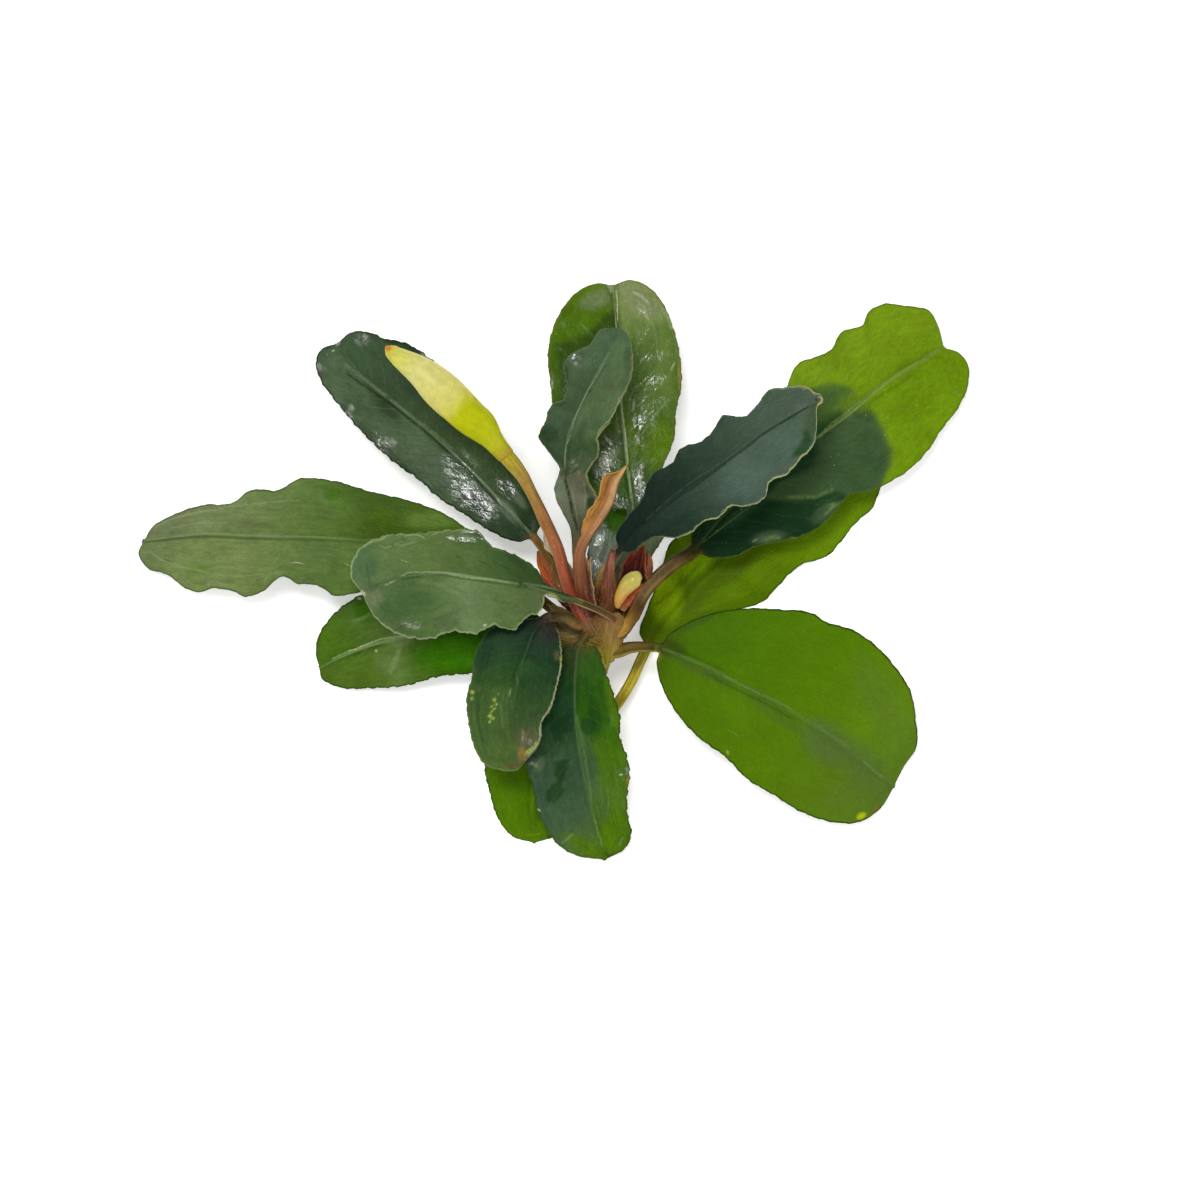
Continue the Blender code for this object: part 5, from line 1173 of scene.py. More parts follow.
# Scale leaves of the crown. path is x, y, z and half width, cup is half the angle that the scale bends
# round its path, up is the side that it opens to (down, if it is not said), torn is how ragged its top is,
# sides are the colours of its left and its right part with their strengths, and edge is its rim's colour.
# packed says that it stands for the solid of the same name. The slot is orange_scale where none is said.
SCALES = {
    "sheath_left": {
        "path": [
            (4.6, -7.6, 9.8, 0.9), (3.4, -6.0, 9.4, 1.2), (1.6, -3.7, 9.2, 1.35), (-0.2, -1.2, 9.0, 1.4),
            (-1.6, 1.2, 9.0, 1.0), (-2.4, 3.0, 9.0, 0.12),
        ],
        "cup": 50, "thickness": 0.26, "seed": 3,
        "colours": [
            (0.0, 96, 66, 34), (0.16, 112, 62, 34), (0.32, 150, 54, 30), (0.6, 190, 84, 40),
            (0.85, 196, 104, 52), (1.0, 150, 104, 60),
        ],
        "edge": (206, 150, 116), "packed": True,
    },
    "sheath_pale": {
        "path": [
            (5.0, -6.6, 12.9, 0.9), (3.6, -4.2, 12.8, 1.3), (2.0, -1.2, 13.1, 1.5), (0.6, 1.8, 13.2, 1.4),
            (-0.6, 4.6, 13.1, 1.0), (-1.3, 6.6, 13.0, 0.15),
        ],
        "cup": 45, "thickness": 0.18, "seed": 5,
        "colours": [(0.0, 128, 74, 48), (0.35, 196, 156, 128), (0.7, 226, 208, 180), (1.0, 200, 176, 144)],
        "edge": (230, 220, 206), "slot": "pale_scale", "packed": True,
    },
    "sheath_maroon": {
        "path": [
            (10.2, -8.6, 13.0, 1.0), (11.0, -7.0, 13.0, 1.7), (12.0, -4.6, 13.1, 2.3),
            (12.7, -2.2, 13.2, 2.4), (12.9, 0.2, 14.0, 2.0), (13.4, 2.2, 15.0, 1.4), (14.0, 4.4, 15.7, 0.55),
        ],
        "cup": 80, "up": 1, "thickness": 0.3, "seed": 7, "torn": 0.05,
        "colours": [
            (0.0, 100, 66, 30), (0.25, 76, 34, 22), (0.5, 50, 14, 18), (0.72, 64, 14, 24),
            (0.86, 132, 40, 26), (1.0, 160, 60, 36),
        ],
        "sides": (((112, 48, 30), 0.55), ((84, 46, 30), 0.7)), "edge": (160, 84, 54), "slot": "maroon_scale",
        "packed": True,
    },
    "scale_under_stalk": {
        "path": [
            (5.6, -7.0, 13.6, 1.3), (3.4, -4.6, 14.2, 1.6), (1.6, -2.0, 14.9, 1.4), (0.6, 0.4, 15.4, 0.9),
            (0.2, 1.8, 15.7, 0.12),
        ],
        "cup": 60, "thickness": 0.24, "seed": 13,
        "colours": [(0.0, 98, 58, 30), (0.4, 118, 66, 34), (0.8, 112, 80, 36), (1.0, 110, 84, 40)],
        "edge": (206, 140, 108),
    },
    "scale_young_leaf": {
        "path": [
            (5.6, -6.4, 13.4, 1.2), (5.1, -3.6, 14.8, 1.35), (4.8, -0.8, 16.0, 1.3), (5.0, 1.4, 16.8, 1.05),
            (5.3, 3.0, 17.2, 0.7),
        ],
        "cup": 82, "up": 1, "thickness": 0.2, "seed": 17, "torn": 0.12,
        "colours": [(0.0, 84, 44, 26), (0.5, 110, 50, 28), (0.8, 150, 70, 34), (1.0, 206, 150, 110)],
        "sides": (((150, 84, 50), 0.7), ((206, 170, 132), 0.75)), "edge": (212, 176, 146),
        "slot": "maroon_scale",
    },
    "scale_olive": {
        "path": [
            (6.2, -6.4, 13.2, 1.0), (6.4, -4.6, 13.5, 0.95), (7.2, -2.0, 13.8, 0.8), (8.1, 0.0, 13.6, 0.6),
            (8.9, 1.5, 13.2, 0.3),
        ],
        "cup": 70, "thickness": 0.24, "seed": 19,
        "colours": [(0.0, 110, 76, 34), (0.5, 138, 106, 44), (1.0, 150, 118, 60)],
        "sides": (((170, 140, 84), 0.5), ((84, 52, 28), 0.8)), "edge": (150, 120, 70),
    },
    "scale_brown": {
        "path": [
            (8.2, -8.0, 13.8, 1.5), (8.5, -5.6, 15.2, 1.45), (8.8, -2.8, 17.6, 1.15),
            (8.95, -0.2, 18.9, 0.74), (9.2, 1.9, 19.8, 0.5), (9.5, 3.0, 20.4, 0.34),
        ],
        "cup": 85, "thickness": 0.24, "seed": 21,
        "colours": [
            (0.0, 124, 92, 44), (0.2, 116, 72, 38), (0.4, 112, 64, 36), (0.65, 120, 68, 44),
            (0.88, 150, 94, 74), (0.97, 124, 70, 58), (1.0, 56, 30, 28),
        ],
        "sides": (((96, 60, 36), 0.6), ((128, 78, 46), 0.5)), "edge": (166, 112, 80), "slot": "maroon_scale",
    },
    "scale_horn": {
        "path": [
            (13.1, -5.1, 13.2, 0.8), (14.3, -3.2, 14.2, 0.75), (15.0, -1.0, 15.2, 0.6),
            (15.3, 0.6, 15.8, 0.45), (15.2, 2.0, 16.0, 0.3), (15.0, 2.6, 16.0, 0.1),
        ],
        "cup": 85, "thickness": 0.22, "seed": 27,
        "colours": [(0.0, 70, 46, 30), (0.4, 84, 48, 32), (0.7, 118, 62, 36), (1.0, 150, 84, 46)],
        "sides": (((52, 30, 26), 0.8), ((110, 64, 40), 0.5)), "edge": (186, 118, 76),
    },
    "scale_ochre": {
        "path": [
            (9.3, -10.7, 11.6, 0.9), (10.8, -9.2, 12.4, 1.15), (12.3, -7.6, 13.0, 1.2),
            (13.5, -5.9, 13.0, 0.85), (14.0, -4.9, 12.8, 0.2),
        ],
        "cup": 60, "thickness": 0.26, "seed": 29,
        "colours": [(0.0, 140, 104, 40), (0.5, 176, 114, 36), (0.85, 126, 78, 34), (1.0, 90, 64, 34)],
        "sides": (((62, 46, 28), 0.9), ((200, 146, 64), 0.6)), "edge": (176, 124, 60),
    },
    "scale_stem": {
        "path": [
            (7.8, -14.8, 10.6, 1.8), (8.2, -12.4, 12.3, 2.6), (8.6, -10.4, 13.8, 2.9), (8.9, -8.8, 14.9, 2.9),
            (9.2, -7.4, 15.5, 2.2), (9.4, -6.4, 15.7, 1.0),
        ],
        "cup": 72, "thickness": 0.26, "seed": 33, "torn": 0.06,
        "colours": [
            (0.0, 156, 146, 12), (0.2, 152, 136, 30), (0.45, 144, 114, 50), (0.75, 142, 110, 52),
            (1.0, 120, 76, 42),
        ],
        "sides": (((104, 80, 42), 0.7), ((150, 124, 46), 0.5)), "edge": (140, 110, 56), "streaks": 0.2,
        "spots": 0.15, "lines": 0.15,
    },
    "scale_bud": {
        "path": [
            (10.8, -6.4, 15.2, 0.6), (11.6, -5.2, 15.8, 0.8), (12.6, -4.0, 16.0, 0.75),
            (13.6, -2.9, 16.1, 0.5), (14.3, -2.2, 16.1, 0.1),
        ],
        "cup": 70, "thickness": 0.2, "seed": 35,
        "colours": [(0.0, 150, 96, 40), (0.4, 156, 70, 34), (0.75, 176, 84, 46), (1.0, 120, 70, 40)],
        "edge": (190, 120, 74),
    },
    "scale_foot": {
        "path": [
            (6.2, -10.0, 10.2, 1.8), (3.4, -10.2, 10.7, 2.2), (1.0, -10.0, 10.9, 2.2),
            (-0.8, -9.4, 10.8, 1.6), (-1.7, -9.4, 10.6, 0.2),
        ],
        "cup": 60, "thickness": 0.26, "seed": 37,
        "colours": [(0.0, 164, 150, 90), (0.5, 142, 118, 66), (1.0, 118, 102, 62)],
        "sides": (((84, 74, 36), 0.6), ((150, 120, 70), 0.5)), "edge": (140, 116, 74),
    },
    "scale_low_left": {
        "path": [
            (5.4, -9.6, 11.4, 1.5), (3.2, -8.6, 11.6, 1.5), (1.0, -7.0, 11.8, 1.1), (-1.0, -5.4, 11.8, 0.15),
        ],
        "cup": 60, "thickness": 0.26, "seed": 31,
        # its colours are paler than its own olive: painted light, brightening the shade of the near left leaf
        # over it
        "colours": [(0.0, 164, 152, 94), (0.5, 158, 136, 78), (1.0, 168, 148, 88)], "edge": (168, 140, 92),
    },
}


def linear(colour):
    """An sRGB colour, 0 to 255, as linear red, green and blue."""
    share = np.array(colour, float) / 255.0
    return np.where(share <= 0.04045, share / 12.92, ((share + 0.055) / 1.055) ** 2.4)


def ease(value, low, high):
    """0 below low, 1 above high, and smooth between."""
    t = np.clip((np.asarray(value, float) - low) / (high - low), 0.0, 1.0)
    return t * t * (3.0 - 2.0 * t)


def smooth_curve(points, shares):
    """The points at these shares of the way along a smooth curve through the points given."""
    points = np.array(points, float)
    steps = np.linalg.norm(np.diff(points[:, :3], axis=0), axis=1)
    knots = np.concatenate(([0.0], np.cumsum(steps))) / steps.sum()
    slopes = np.gradient(points, knots, axis=0)
    shares = np.clip(shares, 0.0, 1.0)
    start = np.clip(np.searchsorted(knots, shares, side="right") - 1, 0, len(knots) - 2)
    span = (knots[start + 1] - knots[start])[:, None]
    t = (shares - knots[start])[:, None] / span
    from_start = (1 + 2 * t) * (1 - t) ** 2 * points[start] + t * (1 - t) ** 2 * span * slopes[start]
    from_end = t * t * (3 - 2 * t) * points[start + 1] - t * t * (1 - t) * span * slopes[start + 1]
    return from_start + from_end


def path_length(points):
    return float(np.linalg.norm(np.diff(np.array(points, float)[:, :3], axis=0), axis=1).sum())


def path_runs(path):
    """For each point of a path, its distance from the start along the path."""
    return np.concatenate(([0.0], np.cumsum(np.linalg.norm(np.diff(path, axis=0), axis=1))))


def side_and_up(path):
    """For each point of a path, the unit vectors to its right and away from the surface below."""
    along = np.gradient(path, axis=0)
    along /= np.linalg.norm(along, axis=1)[:, None]
    side = np.cross(along, (0.0, 0.0, 1.0))
    side /= np.linalg.norm(side, axis=1)[:, None]
    return side, np.cross(side, along)


def circles(path, side, up, radius, turns):
    """Rings round a path, from a radius and a turn for each of their points."""
    return path[:, None, :] + radius[..., None] * (
        np.cos(turns)[None, :, None] * side[:, None, :] + np.sin(turns)[None, :, None] * up[:, None, :])


def beside(path, side, up, sideways, upward):
    """Rows of points beside and above each point of a path."""
    return path[:, None, :] + sideways[..., None] * side[:, None, :] + upward[..., None] * up[:, None, :]


def margin_lift(margin, midrib, shares, wave):
    """How far a margin lifts where it pulls in towards the midrib and dips where it bulges, and how wide
    the blade is there as a share of its widest place."""
    fine = np.linspace(0.0, 1.0, 101)
    reach = smooth_curve(margin, fine) - smooth_curve(midrib, fine)[:, :2]
    reach = np.linalg.norm(reach, axis=1)
    window = np.hanning(int(TREND_SPAN * len(fine)) * 2 + 1)
    padded = np.pad(reach, len(window) // 2, mode="reflect", reflect_type="odd")
    trend = np.convolve(padded, window / window.sum(), mode="valid")
    lift = wave * (trend - reach) * np.sin(np.pi * fine) ** 0.5
    return np.interp(shares, fine, lift), np.interp(shares, fine, reach / reach.max())


def ripples(places, waves, seed):
    """A sum of sines with random phases. Each wave is its count over the whole length and its height."""
    phases = np.random.default_rng(seed).uniform(0.0, 2.0 * math.pi, len(waves))
    return sum(height * np.sin(2.0 * math.pi * count * places + phase)
               for (count, height), phase in zip(waves, phases))


def puckers(x, y, size, height, seed):
    """Low soft lumps over a blade, from a few crossing sines of about this size."""
    rng = np.random.default_rng(seed)
    total = np.zeros_like(x)
    for _ in range(7):
        turn, length = rng.uniform(0.0, math.pi), size * rng.uniform(0.7, 1.6)
        phase = rng.uniform(0.0, 2.0 * math.pi)
        total += np.sin(2.0 * math.pi * (x * math.cos(turn) + y * math.sin(turn)) / length + phase)
    return height * total / 7.0 ** 0.5


def ellipse(x, y, patch):
    """How much a soft ellipse covers each point. patch is x, y, half length, half width and turn."""
    centre_x, centre_y, long_half, short_half, turn = patch
    turn = math.radians(turn)
    a = ((x - centre_x) * math.cos(turn) + (y - centre_y) * math.sin(turn)) / long_half
    b = ((y - centre_y) * math.cos(turn) - (x - centre_x) * math.sin(turn)) / short_half
    return 1.0 - ease(np.hypot(a, b), 0.45, 1.25)


def inside(x, y, outline, softness):
    """How much a soft-edged polygon covers each point, from its distance to the outline."""
    outline = np.array(outline, float)
    nearest = np.full(x.shape, 1e9)
    crossings = np.zeros(x.shape, int)
    for (ax, ay), (bx, by) in zip(outline, np.roll(outline, -1, axis=0)):
        length = (bx - ax) ** 2 + (by - ay) ** 2
        t = np.clip(((x - ax) * (bx - ax) + (y - ay) * (by - ay)) / length, 0.0, 1.0)
        nearest = np.minimum(nearest, np.hypot(x - ax - t * (bx - ax), y - ay - t * (by - ay)))
        if ay != by:
            crossings += ((ay > y) != (by > y)) & (x < (bx - ax) * (y - ay) / (by - ay) + ax)
    signed = np.where(crossings % 2 == 1, nearest, -nearest)
    return ease(signed, -softness, softness)


def gradient(stops, places):
    """A colour for each place from stops of place, red, green and blue, in linear light."""
    stops = np.array(stops, float)
    colours = linear(stops[:, 1:])
    return np.stack([np.interp(places, stops[:, 0], colours[:, i]) for i in range(3)], axis=-1)


def banded(stops, shares, count):
    """Colours for rings with this many points each, the same all round a ring."""
    return np.repeat(gradient(stops, shares)[:, None, :], count, axis=1)


def blend_to(colours, target, share):
    return colours + (linear(target) - colours) * np.clip(share, 0.0, 1.0)[..., None]


def make_body(name, rings, fields, material):
    """One mesh from rings of points in millimetres, with an end face at both ends.

    fields are values for each point: tint is its colour, place is the distances along, across and in
    from the margin, leaf is the shares along and across with the vein phase, mask is the margin line,
    the wetness and the midrib line, and near and force belong to the strokes.
    """
    stations, count = rings.shape[:2]
    points = rings.reshape(-1, 3)
    i, j = np.meshgrid(np.arange(stations - 1), np.arange(count), indexing="ij")
    i, j = i.ravel(), j.ravel()
    after = (j + 1) % count
    quads = np.column_stack((i * count + j, i * count + after, (i + 1) * count + after, (i + 1) * count + j))
    a, b, c, d = (points[quads[:, k]] for k in range(4))
    volume = np.einsum("ij,ij->", a, np.cross(b, c)) + np.einsum("ij,ij->", a, np.cross(c, d))
    caps = [np.arange(count)[::-1], np.arange(count) + (stations - 1) * count]
    along = path_runs(rings.mean(axis=1))
    along /= max(along[-1], 1e-9)
    u = np.column_stack((j, j + 1, j + 1, j)) / count
    v = np.column_stack((along[i], along[i], along[i + 1], along[i + 1]))
    if volume < 0:
        quads, caps = quads[:, ::-1], [cap[::-1] for cap in caps]
        u, v = u[:, ::-1], v[:, ::-1]
    data = bpy.data.meshes.new(name)
    data.from_pydata((points * MM).tolist(), [], quads.tolist() + [cap.tolist() for cap in caps])
    data.shade_smooth()
    sheet = data.uv_layers.new(name="OFBake")
    around = np.linspace(0.0, 2.0 * math.pi, count, endpoint=False)
    cap_uv = [np.column_stack((x + END_RADIUS * np.cos(around), END_HEIGHT + END_RADIUS * np.sin(around)))
              for x in END_PLACES]
    quad_uv = np.array(SIDES_CORNER) + np.array(SIDES_SIZE) * np.column_stack((u.ravel(), v.ravel()))
    sheet.data.foreach_set("uv", np.concatenate((quad_uv, *cap_uv)).astype(np.float32).ravel())
    for field, values in fields.items():
        values = np.asarray(values, float).reshape(-1, 3)
        if field == "tint":
            layer = data.color_attributes.new(field, "FLOAT_COLOR", "POINT")
            values = np.column_stack((PLANT_TONE * values, np.ones(len(values))))
            layer.data.foreach_set("color", values.astype(np.float32).ravel())
        else:
            layer = data.attributes.new(field, "FLOAT_VECTOR", "POINT")
            layer.data.foreach_set("vector", values.astype(np.float32).ravel())
    data.materials.append(material)
    item = bpy.data.objects.new(name, data)
    bpy.context.scene.collection.objects.link(item)
    return item


def blade_surface(leaf, shares, middle, look):
    """The middle surface of a blade, as a grid of points along and across, with its two half widths."""
    even = np.linspace(0.0, 1.0, HALF_COLUMNS + 1)
    half = even - CROWDING * np.sin(2.0 * math.pi * even)
    across = np.concatenate((-half[:0:-1], half))
    grid = np.repeat(middle[:, None, :], len(across), axis=1)
    fade = np.sin(np.pi * np.clip(shares, 0.0, 1.0))
    widths = []
    for side, (margin, rise) in enumerate(zip((leaf["left"], leaf["right"]), leaf["rise"])):
        chosen = across < 0 if side == 0 else across > 0
        share = np.abs(across[chosen])[None, :]
        lift, fullness = margin_lift(margin, leaf["midrib"], shares, leaf["wave"])
        edge = smooth_curve(margin, shares)
        reach = np.linalg.norm(edge - middle[:, :2], axis=1)
        nibble = ripples(shares, look["nibble"], look["seed"] + 5 + side) * fade ** 0.6
        edge = edge + (edge - middle[:, :2]) * (nibble / np.maximum(reach, 0.5))[:, None]
        widths.append(reach)
        frill = ripples(shares, look["frill"], look["seed"] + side) * fade ** 0.6
        grid[:, chosen, :2] += (edge - middle[:, :2])[:, None, :] * share[..., None]
        grid[:, chosen, 2] += (
            (rise * fullness)[:, None] * share ** 1.3
            + lift[:, None] * share ** 1.7
            + frill[:, None] * share ** 3.0
            + look["bulge"] * (fade[:, None] ** 0.5) * np.sin(np.pi * share) * (reach / 8.0)[:, None]
        )
    grid[..., 2] += puckers(grid[..., 0], grid[..., 1], *look["pucker"], look["seed"]) * (
        fade[:, None] ** 0.5 * ease(np.abs(across), 0.03, 0.3)[None, :])
    for height, *patch in look.get("bumps", []):
        grid[..., 2] += height * ellipse(grid[..., 0], grid[..., 1], patch)
    return grid, across, widths


def surface_normals(grid, up):
    """Unit normals of a grid, on the same side as up."""
    normal = np.cross(np.gradient(grid, axis=1), np.gradient(grid, axis=0))
    length = np.linalg.norm(normal, axis=2)[..., None]
    normal = np.where(length > 1e-6, normal / np.maximum(length, 1e-6), up[:, None, :])
    return normal * np.sign(np.einsum("ijk,ik->ij", normal, up) + 1e-9)[..., None]


def leaf_form(leaf, look):
    """The rings of a whole leaf, from inside the rhizome to the tip, and what its points' fields need."""
    spine = [root_point(leaf["petiole"][0])] + leaf["petiole"][:-1] + leaf["midrib"]
    blade_start = path_length(spine[:len(leaf["petiole"]) + 1]) / path_length(spine)
    even = np.linspace(0.0, 1.0, BLADE_STATIONS)
    shares = TIP_END * (0.6 * even + 0.4 * (0.5 - 0.5 * np.cos(np.pi * even)))
    count = max(6, round(blade_start * path_length(spine) / PETIOLE_STEP))
    before = np.linspace(0.0, blade_start, count, endpoint=False)
    path = smooth_curve(spine, np.concatenate((before, blade_start + (1.0 - blade_start) * shares)))
    side, up = side_and_up(path)
    run = path_runs(path)

    grid, across, widths = blade_surface(leaf, shares, path[count:], look)
    columns = len(across)
    normal = surface_normals(grid, up[count:])
    width = np.where(across[None, :] < 0, widths[0][:, None], widths[1][:, None])
    offset = np.abs(across)[None, :] * width
    half_thick = (BLADE_THICKNESS + (MARGIN_THICKNESS - BLADE_THICKNESS) * np.abs(across) ** 2) / 2
    taper = (1.0 - shares)[:, None]
    channel = CHANNEL_DEPTH * taper ** 0.5 * np.exp(-(offset / CHANNEL_WIDTH) ** 2)
    ridge_radius = RIDGE_RADIUS[1] + (RIDGE_RADIUS[0] - RIDGE_RADIUS[1]) * taper ** 1.2
    ridge = ridge_radius * np.sqrt(np.clip(1.0 - (offset / (1.15 * ridge_radius)) ** 2, 0.0, 1.0))
    top = grid + normal * (half_thick[None, :] - channel)[..., None]
    bottom = grid - normal * (half_thick[None, :] + ridge)[..., None]
    rims = []
    for column in (-1, 0):
        outward = grid[:, column] - path[count:]
        outward /= np.maximum(np.linalg.norm(outward, axis=1), 1e-6)[:, None]
        rims.append((grid[:, column] + outward * MARGIN_THICKNESS * 0.4)[:, None])
    blade = np.concatenate((top, rims[0], bottom[:, ::-1], rims[1]), axis=1)

    turns = np.pi * (1.0 - (np.arange(columns) + 0.5) / columns)
    turns = np.concatenate((turns, [0.0], -turns[::-1], [math.pi]))
    flare, fading = look["flare"]
    radius = PETIOLE_RADIUS * look["petiole_size"] * (1.0 + flare * np.exp(-run / fading))
    radius = radius[:, None] * (1.0 + PETIOLE_RIBS * np.cos(5.0 * turns + 0.7)[None, :])
    groove = PETIOLE_GROOVE * np.exp(-((turns - math.pi / 2) / 0.5) ** 2)
    groove = groove[None, :] * ease(run, 1.5, 5.0)[:, None]
    rings = circles(path, side, up, radius * (1.0 - groove), turns)
    narrow = np.maximum.accumulate(np.minimum(widths[0], widths[1]))
    flat = ease(narrow, 0.5 * PETIOLE_RADIUS, 2.6 * PETIOLE_RADIUS)[:, None, None]
    rings[count:] = rings[count:] * (1.0 - flat) + blade * flat
    rings[..., 2] = np.maximum(rings[..., 2], LOWEST)

    ring_width = np.concatenate((width, widths[1][:, None], width[:, ::-1], widths[0][:, None]), axis=1)
    before_blade = np.zeros(count)
    return {
        "rings": rings, "run": run, "stalk_end": run[count],
        "across": np.concatenate((across, [1.0], across[::-1], [-1.0])),
        "width": np.concatenate((np.full((count, len(turns)), PETIOLE_RADIUS), ring_width)),
        "upper": np.concatenate((np.ones(columns), [0.5], np.zeros(columns), [0.5])),
        "share": np.concatenate((before_blade, shares)),
        "blade": np.concatenate((before_blade, ease(shares, 0.0, 0.06))),
    }


def root_point(foot):
    """A point inside the rhizome, from where the stalk that shows from foot on starts."""
    fine = smooth_curve(RHIZOME, np.linspace(0.0, 1.0, 60))
    nearest = fine[np.argmin(np.linalg.norm(fine[:, :3] - foot, axis=1))]
    inward = nearest[:3] - foot
    distance = np.linalg.norm(inward)
    return tuple(foot + inward / distance * max(1.0, distance - 0.55 * nearest[3]))


def leaf_fields(look, strokes, form):
    """The colour and the places of every point of a leaf."""
    rings, upper = form["rings"], form["upper"][None, :]
    on_top = upper > 0.4
    x, y = rings[..., 0], rings[..., 1]
    count = rings.shape[1]
    share = np.repeat(form["share"][:, None], count, axis=1)
    across = np.repeat(form["across"][None, :], rings.shape[0], axis=0)
    blade = gradient(look["blade"], share)
    if "right_blade" in look:
        right = gradient(look["right_blade"], share)
        blade += (right - blade) * ease(across, -0.1, 0.1)[..., None]
    for colour, strength, *patch in look["patches"]:
        blade = blend_to(blade, colour, strength * ellipse(x, y, patch))
    for colour, strength, softness, outline in look.get("zones", []):
        blade = blend_to(blade, colour, strength * inside(x, y, outline, softness))
    ridge = np.exp(-(np.abs(across) * form["width"] / 0.8) ** 2) * (1.0 - 0.6 * share)
    below = blend_to(gradient(look["under"], share), look["petiole"][-1][1:], 0.75 * ridge)
    blade = blade * upper[..., None] + below * (1.0 - upper)[..., None]
    stalk = banded(look["petiole"], form["run"] / max(form["stalk_end"], 1e-6), count)
    for sign, colour in zip((-1.0, 1.0), look["petiole_sides"]):
        if colour:
            stalk = blend_to(stalk, colour, 0.9 * ease(sign * across, 0.3, 0.75))
    grown = form["blade"][:, None]
    tint = stalk * (1.0 - grown[..., None]) + blade * grown[..., None]

    run = np.repeat(form["run"][:, None], count, axis=1)
    place = np.stack((run, across * form["width"], (1.0 - np.abs(across)) * form["width"]), axis=-1)
    phase = (share - look["vein_sweep"] * np.abs(across) ** 1.3) * look["vein_count"]
    phase += np.where(across > 0, 0.5, 0.0)
    left, right = (rim_strength(stops, share) for stops in look["margin"][1:])
    rim = np.where(across < 0, left, right) * grown
    wet = np.zeros(share.shape)
    for strength, *patch in look.get("wet", []):
        wet = np.maximum(wet, strength * ellipse(x, y, patch))
    line = values_at(look["midrib"][1], share) * grown * on_top
    near, force = stroke_fields(x, y, strokes)
    return {
        "tint": tint, "place": place, "leaf": np.stack((share, across, phase), axis=-1),
        "mask": np.stack((rim, wet * on_top, line), axis=-1),
        "near": near, "force": force * on_top[..., None],
    }


def values_at(stops, places):
    return np.interp(places, [stop[0] for stop in stops], [stop[1] for stop in stops])


def rim_strength(stops, share):
    return values_at(stops, share) if isinstance(stops, list) else np.full(share.shape, float(stops))


def stroke_fields(x, y, strokes):
    """For each kind of stroke, how far a point is from the nearest one, in half widths, and its strength.

    The distance has a sign, for its side of the stroke, so that it stays exact between two points.
    """
    near = np.full(x.shape + (len(STROKE_KINDS),), 60.0)
    force = np.zeros_like(near)
    for k, kind in enumerate(STROKE_KINDS):
        for strength, half, *path in strokes.get(kind, []):
            nearest, fade = from_stroke(x, y, np.array(path, float).reshape(-1, 2))
            closer = np.abs(nearest / half) < np.abs(near[..., k])
            near[..., k] = np.where(closer, nearest / half, near[..., k])
            force[..., k] = np.where(closer, strength * fade * np.exp(-(nearest / 2.5) ** 2), force[..., k])
    return near, force


def from_stroke(x, y, path):
    """How far each point is from a dot or a line, and how much the line fades out at its ends there."""
    if len(path) == 1:
        return np.hypot(x - path[0, 0], y - path[0, 1]), 1.0
    nearest, along = np.full(x.shape, 1e3), np.zeros(x.shape)
    lengths = np.linalg.norm(np.diff(path, axis=0), axis=1)
    total, done = lengths.sum(), 0.0
    for (ax, ay), (bx, by), length in zip(path[:-1], path[1:], lengths):
        t = np.clip(((x - ax) * (bx - ax) + (y - ay) * (by - ay)) / length ** 2, 0.0, 1.0)
        side = (bx - ax) * (y - ay) - (by - ay) * (x - ax)
        gap = np.hypot(x - ax - t * (bx - ax), y - ay - t * (by - ay)) * np.where(side < 0, -1.0, 1.0)
        closer = np.abs(gap) < np.abs(nearest)
        nearest = np.where(closer, gap, nearest)
        along = np.where(closer, (done + t * length) / total, along)
        done += length
    ends = min(0.3, 0.8 / total)
    return nearest, ease(along, 0.0, ends) * ease(1.0 - along, 0.0, ends)


